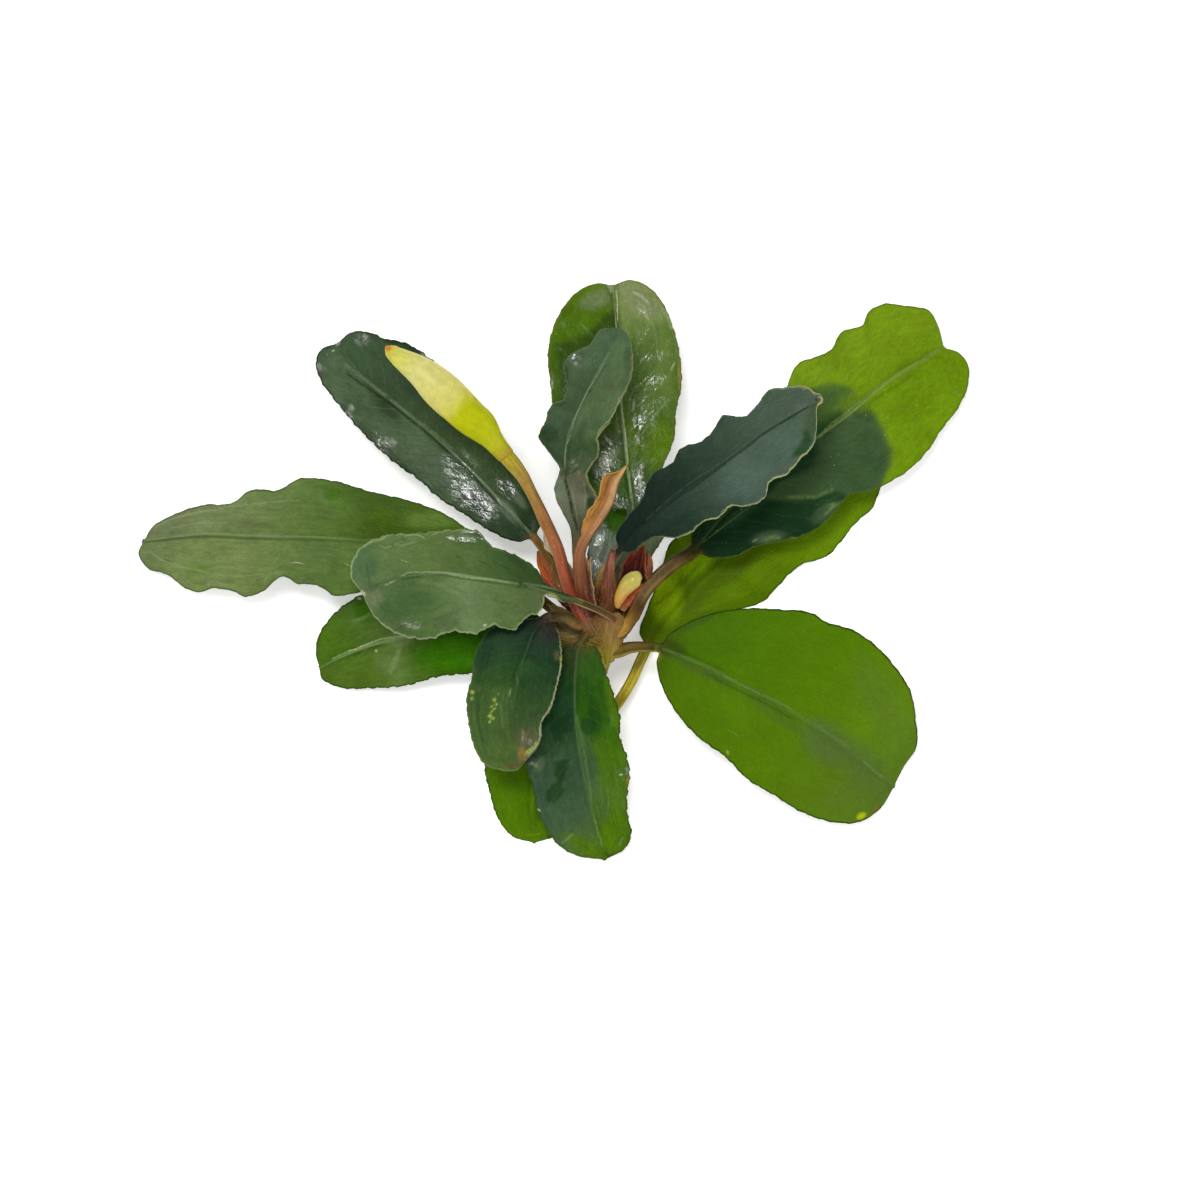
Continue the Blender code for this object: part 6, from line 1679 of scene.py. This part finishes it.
class Painter:
    """Adds nodes to one material, and hands on their sockets."""

    def __init__(self, name, roughness, coat, coat_roughness, specular):
        self.material = bpy.data.materials.new(name)
        self.material.use_nodes = True
        self.tree = self.material.node_tree
        self.shader = self.tree.nodes["Principled BSDF"]
        self.set("Roughness", roughness)
        self.set("Coat Weight", coat)
        self.set("Coat Roughness", coat_roughness)
        self.set("Specular IOR Level", specular)

    def set(self, socket, value):
        """A value or another node's socket for a socket of the shader."""
        self.feed(self.shader.inputs[socket], value)

    def add(self, kind, **settings):
        node = self.tree.nodes.new(kind)
        for key, value in settings.items():
            setattr(node, key, value)
        return node

    def feed(self, socket, value):
        if isinstance(value, bpy.types.NodeSocket):
            self.tree.links.new(value, socket)
        elif hasattr(socket.default_value, "__len__") and not hasattr(value, "__len__"):
            socket.default_value = (value,) * len(socket.default_value)
        else:
            socket.default_value = value

    def math(self, operation, a, b=0.0, clamp=False):
        node = self.add("ShaderNodeMath", operation=operation, use_clamp=clamp)
        self.feed(node.inputs[0], a)
        self.feed(node.inputs[1], b)
        return node.outputs[0]

    def times(self, *values):
        product = values[0]
        for value in values[1:]:
            product = self.math("MULTIPLY", product, value)
        return product

    def total(self, *pairs):
        """The sum of some values, each times its own factor."""
        total = None
        for value, factor in pairs:
            part = self.times(value, factor)
            total = part if total is None else self.math("ADD", total, part)
        return total

    def step(self, value, low, high, bottom=0.0, top=1.0):
        """bottom below low, top above high, and smooth between."""
        node = self.add("ShaderNodeMapRange", interpolation_type="SMOOTHSTEP")
        for socket, number in zip(node.inputs, (value, low, high, bottom, top)):
            self.feed(socket, number)
        return node.outputs[0]

    def fall(self, value, low, high):
        """1 below low, 0 above high, and smooth between."""
        return self.step(value, low, high, 1.0, 0.0)

    def mix(self, share, a, b, blend="MIX"):
        node = self.add("ShaderNodeMix", data_type="RGBA", blend_type=blend)
        self.feed(node.inputs[0], share)
        self.feed(node.inputs[6], a)
        self.feed(node.inputs[7], b)
        return node.outputs[2]

    def cover(self, colour, *layers):
        """The colour under layers, each a share and an sRGB colour."""
        for share, top in layers:
            colour = self.mix(share, colour, (*(PLANT_TONE * linear(top)), 1.0))
        return colour

    def scale(self, colour, factor):
        """The colour made brighter or darker by a factor round 1."""
        return self.mix(1.0, colour, factor, "MULTIPLY")

    def uneven(self, *steps):
        """The tint of the points, made darker and brighter by steps."""
        colour = self.add("ShaderNodeAttribute", attribute_name="tint").outputs["Color"]
        for step in steps:
            colour = self.scale(colour, self.step(*step))
        return colour

    def parts(self, name):
        """A point field and its three numbers."""
        field = self.add("ShaderNodeAttribute", attribute_name=name).outputs["Vector"]
        split = self.add("ShaderNodeSeparateXYZ")
        self.feed(split.inputs[0], field)
        return field, *split.outputs

    def noise(self, place, scale, detail=3.0, stretch=(1.0, 1.0, 1.0), distortion=0.0):
        """A noise value round 0.5, over places in millimetres."""
        mapping = self.add("ShaderNodeMapping")
        self.feed(mapping.inputs["Vector"], place)
        self.feed(mapping.inputs["Scale"], stretch)
        node = self.add("ShaderNodeTexNoise")
        numbers = {"Vector": mapping.outputs[0], "Scale": scale, "Detail": detail, "Distortion": distortion}
        for socket, number in numbers.items():
            self.feed(node.inputs[socket], number)
        return node.outputs["Fac"]

    def cells(self, place, scale, feature="F1"):
        node = self.add("ShaderNodeTexVoronoi", feature=feature)
        self.feed(node.inputs["Vector"], place)
        self.feed(node.inputs["Scale"], scale)
        return node.outputs["Distance"]

    def bump(self, height, *sockets):
        """A relief for these sockets of the shader. height is in millimetres."""
        node = self.add("ShaderNodeBump")
        self.feed(node.inputs["Distance"], MM)
        self.feed(node.inputs["Height"], height)
        for name in sockets:
            self.set(name, node.outputs[0])

    def finish(self, colour, roughness):
        self.set("Base Color", colour)
        self.set("Roughness", roughness)
        return self.material


def leaf_material(name, look):
    """Leaf skin: mottled and streaked green with side veins, a fine net, and midrib and margin lines, with
    painted shade beside the midrib and strokes that include painted sheen and painted glints.
    """
    paint = Painter(name, look["roughness"], coat=0.0, coat_roughness=look["wet_roughness"],
                    specular=look["specular"])
    paint.set("Coat IOR", WET_IOR)
    place, _, offset, edge = paint.parts("place")
    _, share, _, phase = paint.parts("leaf")
    _, rim, wet, line = paint.parts("mask")
    _, *near = paint.parts("near")
    _, *force = paint.parts("force")
    beside_rib = paint.math("ABSOLUTE", offset)
    broad = paint.noise(place, 0.2, 3.0, (1.0, 0.7, 1.0))
    mottle = paint.noise(place, 0.85, 4.0)
    grain = paint.noise(place, 4.2)
    streak = paint.noise(place, 1.5, 3.0, (0.12, 1.3, 1.0), 0.2)
    wobble = paint.times(paint.math("SUBTRACT", broad, 0.5), 0.5)
    fold = paint.math("PINGPONG", paint.math("ADD", phase, wobble), 0.5)
    vein = paint.times(paint.fall(fold, 0.0, 0.12), paint.step(beside_rib, 0.3, 0.8),
                       paint.step(edge, 0.5, 1.6), paint.step(mottle, 0.38, 0.58, 0.25, 1.0))
    net = paint.fall(paint.cells(place, 1.5, "DISTANCE_TO_EDGE"), 0.0, 0.12)
    worn_rib = paint.step(streak, 0.3, 0.6, 0.55, 1.0)
    midrib = paint.times(paint.fall(beside_rib, 0.1, look["midrib_width"]), line, worn_rib)
    # the midrib's dark side is painted shade of its channel
    shade, shade_place, shade_half = look["midrib_shade"]
    midrib_shadow = paint.math("ABSOLUTE", paint.math("SUBTRACT", offset, shade_place))
    midrib_shadow = paint.times(paint.fall(midrib_shadow, 0.1, shade_half), line, shade)
    margin = paint.math("DIVIDE", edge, paint.step(mottle, 0.3, 0.7, 0.55, 1.45))
    margin = paint.times(paint.fall(margin, 0.08, look["margin_width"]), rim)
    worn = paint.step(paint.noise(place, 2.2, 4.0, (0.8, 1.2, 1.0), 0.5), 0.36, 0.56, 0.3, 1.0)
    # stroke masks: pale and dark marks, partly painted sheen and painted shade, and the third kind, mostly
    # painted glints
    pale, dark, glint_and_spot = (paint.times(paint.fall(paint.math("ABSOLUTE", far), 0.2, 1.0), strong, worn)
                         for far, strong in zip(near, force))
    fleck = paint.fall(paint.cells(place, look["fleck_scale"]), 0.05, 0.11)
    fleck = paint.times(fleck, paint.step(mottle, 0.5, 0.62))

    swing = look["mottle"]
    colour = paint.uneven((broad, 0.25, 0.75, 1.0 - swing, 1.0 + swing),
                          (mottle, 0.25, 0.75, 1.0 - 0.8 * swing, 1.0 + 0.8 * swing),
                          (grain, 0.25, 0.75, 0.9, 1.1))
    swing = paint.math("ADD", paint.times(paint.fall(share, 0.0, 0.05), 0.32), look["streaks"])
    lengthwise = paint.times(paint.math("SUBTRACT", paint.step(streak, 0.3, 0.7), 0.5), 2.0)
    colour = paint.scale(colour, paint.math("ADD", paint.times(lengthwise, swing), 1.0))
    net_share, vein_share = paint.times(net, look["net"]), paint.times(vein, look["veins"])
    colour = paint.cover(
        colour, (net_share, look["dark"]), (vein_share, look["vein"]), (midrib_shadow, look["dark"]),
        (midrib, look["midrib"][0]), (dark, look["dark"]), (margin, look["margin"][0]), (pale, look["pale"]),
        (paint.times(fleck, look["flecks"]), FLECKS), (glint_and_spot, look["glint_and_spot"]))
    colour = paint.scale(colour, paint.math("SUBTRACT", 1.0, paint.times(wet, 0.28)))
    film = paint.step(paint.noise(place, 1.1, 5.0, (0.6, 1.2, 1.0), 0.6), 0.42, 0.52)
    film = paint.times(wet, paint.math("ADD", paint.times(film, 0.9), 0.15))
    paint.set("Coat Weight", paint.math("ADD", film, look["coat"], True))
    rough = paint.math("ADD", paint.total((mottle, 0.16), (streak, 0.06)), look["roughness"] - 0.11)
    crease = paint.noise(place, 0.8, 3.0, (0.6, 1.2, 1.0), 0.8)
    paint.bump(paint.total((vein, -0.05), (net, -0.018), (mottle, look["relief"]), (grain, 0.02),
                           (streak, 0.03), (pale, 0.06), (dark, -0.08)), "Normal")
    paint.bump(paint.total((vein, -0.05), (mottle, 0.5 * look["relief"]), (crease, 0.16)), "Coat Normal")
    return paint.finish(colour, rough)


def flesh_material(name, roughness, coat, streaks, spots, relief, dark, glow=0.0, lines=0.0):
    """Skin of stalks, scales and buds: streaked lengthwise, finely spotted and a little uneven."""
    paint = Painter(name, roughness, coat, coat_roughness=0.15, specular=0.08)
    paint.set("Subsurface Weight", glow)
    paint.set("Subsurface Radius", (1.0, 0.7, 0.3))
    paint.set("Subsurface Scale", 0.6 * MM)
    place = paint.parts("place")[0]
    streak = paint.noise(place, 1.4, 3.0, (0.16, 1.6, 1.0), 0.3)
    mottle = paint.noise(place, 0.8)
    grain = paint.noise(place, 5.0, 2.0, (0.6, 1.0, 1.0))
    spot = paint.times(paint.fall(paint.cells(place, 1.9), 0.12, 0.3), paint.step(mottle, 0.45, 0.65))
    colour = paint.uneven((streak, 0.28, 0.72, 1.0 - streaks, 1.0 + streaks),
                          (mottle, 0.25, 0.75, 0.9, 1.1), (grain, 0.2, 0.8, 0.95, 1.05))
    thread = paint.noise(place, 2.4, 3.0, (0.1, 1.5, 1.0), 0.3)
    dot = paint.fall(paint.cells(place, 0.9), 0.06, 0.14)
    colour = paint.cover(colour, (paint.times(spot, spots), dark),
                         (paint.step(thread, 0.56, 0.68, 0.0, lines), THREADS),
                         (paint.times(dot, 1.6 * lines), DOTS))
    rough = paint.math("ADD", paint.times(paint.math("SUBTRACT", mottle, 0.5), 0.2), roughness)
    height = paint.total((streak, relief), (mottle, relief), (grain, relief * 0.2))
    paint.bump(height, "Normal", "Coat Normal")
    return paint.finish(colour, rough)


def rhizome_material():
    """Fleshy creeping stem: mottled olive and brown, with warts and a damp sheen."""
    paint = Painter("rhizome_skin", roughness=0.5, coat=0.12, coat_roughness=0.12, specular=0.15)
    place = paint.parts("place")[0]
    mottle = paint.noise(place, 0.55, 4.0)
    grain = paint.noise(place, 3.0)
    wart = paint.fall(paint.cells(place, 1.3), 0.1, 0.5)
    colour = paint.uneven((mottle, 0.3, 0.7, 0.72, 1.22), (grain, 0.2, 0.8, 0.85, 1.12))
    colour = paint.cover(colour, (paint.times(wart, 0.3), WARTS))
    paint.bump(paint.total((mottle, 0.5), (grain, 0.12), (wart, 0.1)), "Normal", "Coat Normal")
    return paint.finish(colour, paint.step(mottle, 0.35, 0.65, 0.62, 0.34))


def sheet_rings(grid, thickness):
    """Closed rings round an open sheet, from the grid of its middle surface."""
    normal = np.cross(np.gradient(grid, axis=1), np.gradient(grid, axis=0))
    normal /= np.maximum(np.linalg.norm(normal, axis=2), 1e-6)[..., None]
    half = thickness / 2 * np.ones(grid.shape[1])
    half[[0, -1]] *= 0.45
    return np.concatenate((grid + normal * half[:, None], (grid - normal * half[:, None])[:, ::-1]), axis=1)


def tube(points, step, count, wobble, seed):
    """Rings of a round stem through points of x, y, z and radius, with the distance and the share of its
    length for each ring, and the turn for each point of a ring."""
    shares = np.linspace(0.0, 1.0, max(8, round(path_length(points) / step)))
    line = smooth_curve(points, shares)
    path, radius = line[:, :3], line[:, 3]
    turns = np.linspace(0.0, 2.0 * math.pi, count, endpoint=False)
    rng = np.random.default_rng(seed)
    swell = np.ones((len(shares), count))
    for order in (2, 3, 5):
        phase, drift = rng.uniform(0.0, 2.0 * math.pi), rng.uniform(-4.0, 4.0)
        swell += wobble / order * np.cos(order * turns[None, :] + phase + drift * shares[:, None])
    rings = circles(path, *side_and_up(path), np.maximum(radius, 0.02)[:, None] * swell, turns)
    return rings, path_runs(path), shares, turns


def dress(item, slot, *nodes):
    """The piece moves with the plant and stands for the nodes. The slot is not used."""
    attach(item, "root")
    if nodes:
        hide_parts(*nodes)


def make_leaf(name, leaf):
    look = {**COMMON_LOOK, **LOOKS[name]}
    form = leaf_form(leaf, look)
    fields = leaf_fields(look, STROKES[name], form)
    item = make_body(name + "_grown", form["rings"], fields, leaf_material(name + "_skin", look))
    dress(item, leaf["slot"], name)


def make_flesh(name, rings, run, tint, material, slot, *nodes):
    """A stalk, scale or bud. Its points' places are the distances along it and around it."""
    count = rings.shape[1]
    girth = np.linalg.norm(np.diff(rings, axis=1), axis=2).sum(axis=1).max()
    around = np.linspace(0.0, 1.0, count)[None, :] * np.ones((len(rings), 1)) * girth
    place = np.stack((np.repeat(run[:, None], count, axis=1), around, np.zeros_like(around)), axis=-1)
    dress(make_body(name + "_grown", rings, {"tint": tint, "place": place}, material), slot, *nodes)


def make_scale(name, scale):
    """A thin cupped scale leaf, streaked lengthwise, with a paler and slightly torn margin."""
    shares, across = np.linspace(0.0, 1.0, SCALE_STATIONS), np.linspace(-1.0, 1.0, SCALE_COLUMNS)
    torn = scale.get("torn", 0.0)
    top = 1.0 - torn * (1.0 + ripples(across, [(0.8, 0.6), (1.9, 0.3), (4.3, 0.1)], scale["seed"]))
    ragged = 1.0 + 0.07 * ripples(shares, [(3.3, 0.6), (7.1, 0.5), (12.7, 0.3)], scale["seed"])
    cup = math.radians(scale["cup"])
    columns = []
    for a, reach in zip(across, top):
        line = smooth_curve(scale["path"], shares * reach)
        side, up = side_and_up(line[:, :3])
        radius = np.maximum(line[:, 3], 0.05) * ragged / math.sin(min(cup, math.pi / 2))
        columns.append(line[:, :3] + (radius * math.sin(a * cup))[:, None] * side
                       + (scale.get("up", -1) * radius * (1.0 - math.cos(a * cup)))[:, None] * up)
    grid = np.stack(columns, axis=1)
    grid[..., 2] += 0.05 * ripples(across[None, :] + shares[:, None], [(3.0, 1.0), (7.0, 0.5)], scale["seed"])
    rings = sheet_rings(grid, scale["thickness"])
    rings[..., 2] = np.maximum(rings[..., 2], LOWEST)
    both = np.concatenate((across, across[::-1]))
    tint = banded(scale["colours"], shares, len(both))
    even = np.ones((len(shares), 1))
    for sign, (colour, strength) in zip((-1.0, 1.0), scale.get("sides", ())):
        tint = blend_to(tint, colour, strength * ease(sign * both, 0.2, 0.8)[None, :] * even)
    rim = np.maximum(ease(np.abs(both), 0.86, 1.0)[None, :] * ease(shares, 0.2, 0.5)[:, None],
                     (torn > 0) * ease(shares, 0.94, 0.99)[:, None] * np.ones((1, len(both))))
    tint = blend_to(tint, scale["edge"], 0.8 * rim)
    skin = flesh_material(name + "_skin", roughness=0.4, coat=0.16, streaks=scale.get("streaks", 0.4),
                          spots=scale.get("spots", 0.45), relief=0.1, dark=(52, 22, 14), glow=0.1,
                          lines=scale.get("lines", 0.45))
    make_flesh(name, rings, path_runs(grid[:, SCALE_COLUMNS // 2]), tint, skin,
               scale.get("slot", "orange_scale"), *([name] if scale.get("packed") else []))


def make_stalk():
    """The flower stalk, red where it leaves the crown and yellow under the spathe, with a painted highlight
    down one side and painted shade down the other.
    """
    rings, run, shares, turns = tube(FLOWER_STALK, step=0.3, count=44, wobble=0.04, seed=2)
    tint = banded(STALK_COLOURS, shares, len(turns))
    # a painted highlight down one side
    lit = ease(-np.cos(turns - 0.5), 0.3, 1.0)[None, :] * np.ones((len(shares), 1))
    tint = blend_to(tint, (214, 180, 120), 0.55 * lit)
    # painted shade down the other side, fading out towards the spathe
    dark = 0.6 * ease(np.cos(turns), 0.5, 1.0)[None, :] * ease(shares, 0.9, 0.7)[:, None]
    tint = blend_to(tint, (112, 60, 34), dark)
    skin = flesh_material("stalk_skin", roughness=0.36, coat=0.2, streaks=0.22, spots=0.5, relief=0.05,
                          dark=(112, 50, 34), lines=0.25)
    make_flesh("flower_stalk", rings, run, tint, skin, "flower_stalk", "flower_stalk")


def make_spathe():
    """The closed spathe: one sheet rolled a little more than once round, cream over yellow-green."""
    shares = np.linspace(0.0, 1.0, 150)
    line = smooth_curve(FLOWER_BUD, shares)
    path, radius = line[:, :3], np.maximum(line[:, 3], 0.1)
    turns = np.linspace(-0.06, 1.06, 96)
    angles = 2.0 * math.pi * turns - 2.3
    spiral = 1.0 + 0.05 * (turns - 0.5)
    folds = 1.0 + 0.012 * np.cos(7.0 * angles)[None, :] * np.sin(np.pi * shares)[:, None]
    reach = radius[:, None] * spiral[None, :] * folds
    grid = beside(path, *side_and_up(path), reach * np.cos(angles)[None, :],
                  SPATHE_FLATNESS * reach * np.sin(angles)[None, :])
    rings = sheet_rings(grid, SHEET)
    tint = banded(SPATHE_COLOURS, shares, rings.shape[1])
    x, y = rings[..., 0], rings[..., 1]
    (start_x, start_y), (end_x, end_y) = SPATHE_BAND
    slope = np.array((end_x - start_x, end_y - start_y))
    slope /= np.linalg.norm(slope)
    above = (y - start_y) * slope[0] - (x - start_x) * slope[1]
    above += 0.25 * np.sin(1.9 * x) + 0.12 * np.sin(4.3 * x + 1.0)
    base = ease(shares, 0.0, 0.2)[:, None]
    tint = blend_to(tint, (208, 206, 56), 0.7 * ease(-above, -2.6, 0.4) * base)
    tint = blend_to(tint, (186, 191, 2), ease(-above, -0.9, 1.0) * base)
    both = np.concatenate((angles, angles[::-1]))
    pale = np.exp(-((both + 2.75) / 0.2) ** 2)[None, :] * ease(shares, 0.04, 0.2)[:, None]
    tint = blend_to(tint, (242, 238, 186), 0.7 * pale)
    tip = np.hypot(x - SPATHE_TIP[0], y - SPATHE_TIP[1])
    tint = blend_to(tint, (204, 122, 24), 0.95 * ease(-tip, -0.7, -0.3))
    skin = flesh_material("spathe_skin", roughness=0.5, coat=0.04, streaks=0.015, spots=0.04, relief=0.006,
                          dark=(196, 176, 40), glow=0.25)
    make_flesh("flower_bud", rings, path_runs(path), tint, skin, "flower_bud", "flower_bud")


def make_young_bud():
    """The pale bud inside the dark red scale leaf."""
    rings, run, shares, turns = tube(YOUNG_BUD, step=0.12, count=40, wobble=0.05, seed=4)
    lower = np.clip(np.cos(turns + 0.2), 0.0, 1.0)[None, :] * (1.0 - ease(shares, 0.4, 0.7))[:, None]
    tint = blend_to(banded(BUD_COLOURS, shares, len(turns)), (200, 96, 48), 0.8 * lower)
    skin = flesh_material("young_bud_skin", roughness=0.34, coat=0.3, streaks=0.05, spots=0.12, relief=0.03,
                          dark=(176, 130, 60), glow=0.2)
    make_flesh("young_bud", rings, run, tint, skin, "young_bud", "young_bud")


def make_new_leaf():
    """The young leaf: a sheet rolled into a spear, with one wavy lip standing out to its left."""
    shares = np.linspace(0.0, 1.0, 150)
    line = smooth_curve(NEW_LEAF, shares)
    path, radius = line[:, :3], np.maximum(line[:, 3], 0.06)[:, None]
    blade = np.clip((shares - NEW_LEAF_BLADE) / (1.0 - NEW_LEAF_BLADE), 0.0, 1.0)
    lip = np.convolve(np.pad(values_at(NEW_LIP, blade), 2, mode="edge"), np.ones(5) / 5.0, mode="valid")
    frill = ripples(blade, [(3.4, 0.3), (6.3, 0.16)], 12)
    frill = frill * ease(blade, 0.0, 0.2) * (1.0 - ease(blade, 0.8, 1.0))
    turns = np.linspace(0.0, 1.0, 64)
    angles = math.radians(140.0) - 2.0 * math.pi * 1.06 * turns
    spiral = 1.0 - 0.16 * turns
    out = np.linspace(1.0, 0.0, 17)[:-1]
    bend = math.radians(50.0)
    edge_side = -math.sin(bend) * radius - lip[:, None] * out[None, :]
    curl = 0.3 * lip[:, None] * np.sin(math.pi * out)[None, :]
    edge_up = math.cos(bend) * radius - curl + (frill - 0.1 * lip)[:, None] * out[None, :] ** 1.5
    sideways = np.concatenate((edge_side, radius * (spiral * np.cos(angles))[None, :]), axis=1)
    upward = np.concatenate((edge_up, radius * (spiral * np.sin(angles))[None, :]), axis=1)
    rings = sheet_rings(beside(path, *side_and_up(path), sideways, upward), SHEET)
    tint = banded(NEW_LEAF_COLOURS, shares, rings.shape[1])
    on_lip = np.concatenate((out, np.zeros(len(turns))))
    roll = np.concatenate((np.full(len(out), math.pi), angles))
    on_lip, roll = np.concatenate((on_lip, on_lip[::-1])), np.concatenate((roll, roll[::-1]))
    # a painted shadow down the right edge of the roll
    right = ease(np.cos(roll), 0.55, 0.95)[None, :] * ease(shares, 0.3, 0.5)[:, None]
    tint = blend_to(tint, (96, 52, 28), 0.85 * right)
    left = (ease(-np.cos(roll), -0.2, 0.6) * (on_lip == 0.0))[None, :] * ease(blade, 0.0, 0.2)[:, None]
    tint = blend_to(tint, (158, 96, 44), 0.8 * left)
    lobe = ease(on_lip, 0.0, 0.1)[None, :] * ease(blade, 0.0, 0.1)[:, None]
    tint = tint + (gradient(LIP_COLOURS, blade)[:, None, :] - tint) * 0.92 * lobe[..., None]
    furrow = np.exp(-((on_lip - 0.25) / 0.16) ** 2)[None, :] * ease(blade, 0.1, 0.3)[:, None]
    tint = blend_to(tint, (118, 72, 20), 0.7 * furrow)
    rim = ease(on_lip, 0.82, 1.0)[None, :] * ease(blade, 0.05, 0.2)[:, None]
    tint = blend_to(tint, (204, 156, 84), 0.7 * rim)
    skin = flesh_material("new_leaf_skin", roughness=0.4, coat=0.18, streaks=0.2, spots=0.4, relief=0.07,
                          dark=(120, 66, 30), glow=0.1, lines=0.25)
    make_flesh("new_leaf", rings, path_runs(path), tint, skin, "young_leaf", "new_leaf")


def make_rhizome():
    """The creeping stem, ringed with the scars of lost leaves, cut clean at its old end."""
    rings, run, shares, turns = tube(RHIZOME, step=0.28, count=72, wobble=0.06, seed=6)
    out = rings - rings.mean(axis=1)[:, None, :]
    out /= np.maximum(np.linalg.norm(out, axis=2), 1e-6)[..., None]
    scars = np.zeros((len(shares), len(turns)))
    rng = np.random.default_rng(8)
    for at in np.arange(1.5, run[-1] - 2.0, 1.9):
        lean, phase = rng.uniform(0.2, 0.6), rng.uniform(0.0, 2.0 * math.pi)
        ring = at + lean * np.cos(turns + phase)[None, :]
        scars += np.exp(-((run[:, None] - ring) / 0.16) ** 2) * (0.6 + 0.4 * np.cos(turns + phase)[None, :])
    runs, arcs = np.meshgrid(run, 2.6 * turns, indexing="ij")
    lumps = puckers(runs, arcs, size=2.6, height=0.1, seed=10)
    lumps *= np.sin(turns / 2.0)[None, :] ** 0.5
    rings = rings + out * ((0.14 * scars + lumps) * ease(run, 0.0, 0.8)[:, None])[..., None]
    rings[..., 2] = np.maximum(rings[..., 2], LOWEST)
    tint = blend_to(banded(RHIZOME_COLOURS, shares, len(turns)), (78, 50, 22), 0.6 * np.clip(scars, 0.0, 1.0))
    make_flesh("rhizome", rings, run, tint, rhizome_material(), "rhizome", "rhizome")


def show(name, data, place=(0.0, 0.0, 0.0)):
    """Puts a camera, a lamp or a mesh into the scene. place is in millimetres."""
    item = bpy.data.objects.new(name, data)
    item.location = np.array(place) * MM
    bpy.context.scene.collection.objects.link(item)
    return item


def make_camera():
    data = bpy.data.cameras.new("camera")
    data.sensor_width = SENSOR_WIDTH
    data.lens = SENSOR_WIDTH * CAMERA_HEIGHT / PICTURE_WIDTH
    data.clip_end = FAR_END
    bpy.context.scene.camera = show("camera", data, (CAMERA_X, CAMERA_Y, CAMERA_HEIGHT))


def make_lamp(name, place, size, power):
    """A soft round lamp that faces the plant. place and size are in millimetres."""
    data = bpy.data.lights.new(name, "AREA")
    data.shape = "DISK"
    data.size = size * MM
    data.energy = power
    away = np.array(place) / np.linalg.norm(place)
    show(name, data, place).rotation_euler = (0.0, math.acos(away[2]), math.atan2(away[1], away[0]))


def make_studio():
    """A plain pale floor, soft light from all sides, and the picture's own colours kept as they are."""
    floor = bpy.data.meshes.new("floor")
    corners = [(x * FLOOR_HALF, y * FLOOR_HALF, 0.0) for x, y in ((-1, -1), (1, -1), (1, 1), (-1, 1))]
    floor.from_pydata(corners, [], [(0, 1, 2, 3)])
    paint = Painter("floor_paint", roughness=0.9, coat=0.0, coat_roughness=0.1, specular=0.1)
    grain = paint.noise(paint.add("ShaderNodeTexCoord").outputs["Object"], 40.0)
    floor.materials.append(paint.finish(paint.mix(paint.step(grain, 0.3, 0.7), *FLOOR_GREYS), 0.9))
    paint.set("Emission Color", WHITE)
    paint.set("Emission Strength", FLOOR_GLOW)
    item = show("floor", floor)

    world = bpy.data.worlds.new("studio")
    world.use_nodes = True
    background = world.node_tree.nodes["Background"]
    background.inputs["Color"].default_value = WHITE
    background.inputs["Strength"].default_value = SKY_STRENGTH
    bpy.context.scene.world = world
    for lamp in LAMPS:
        make_lamp(*lamp)
    view = bpy.context.scene.view_settings
    view.view_transform = "Standard"
    view.look = "None"
    view.exposure = 0.0


make_camera()
make_studio()
for name, leaf in LEAVES.items():
    make_leaf(name, leaf)
for name, scale in SCALES.items():
    make_scale(name, scale)
make_stalk()
make_spathe()
make_young_bud()
make_new_leaf()
make_rhizome()
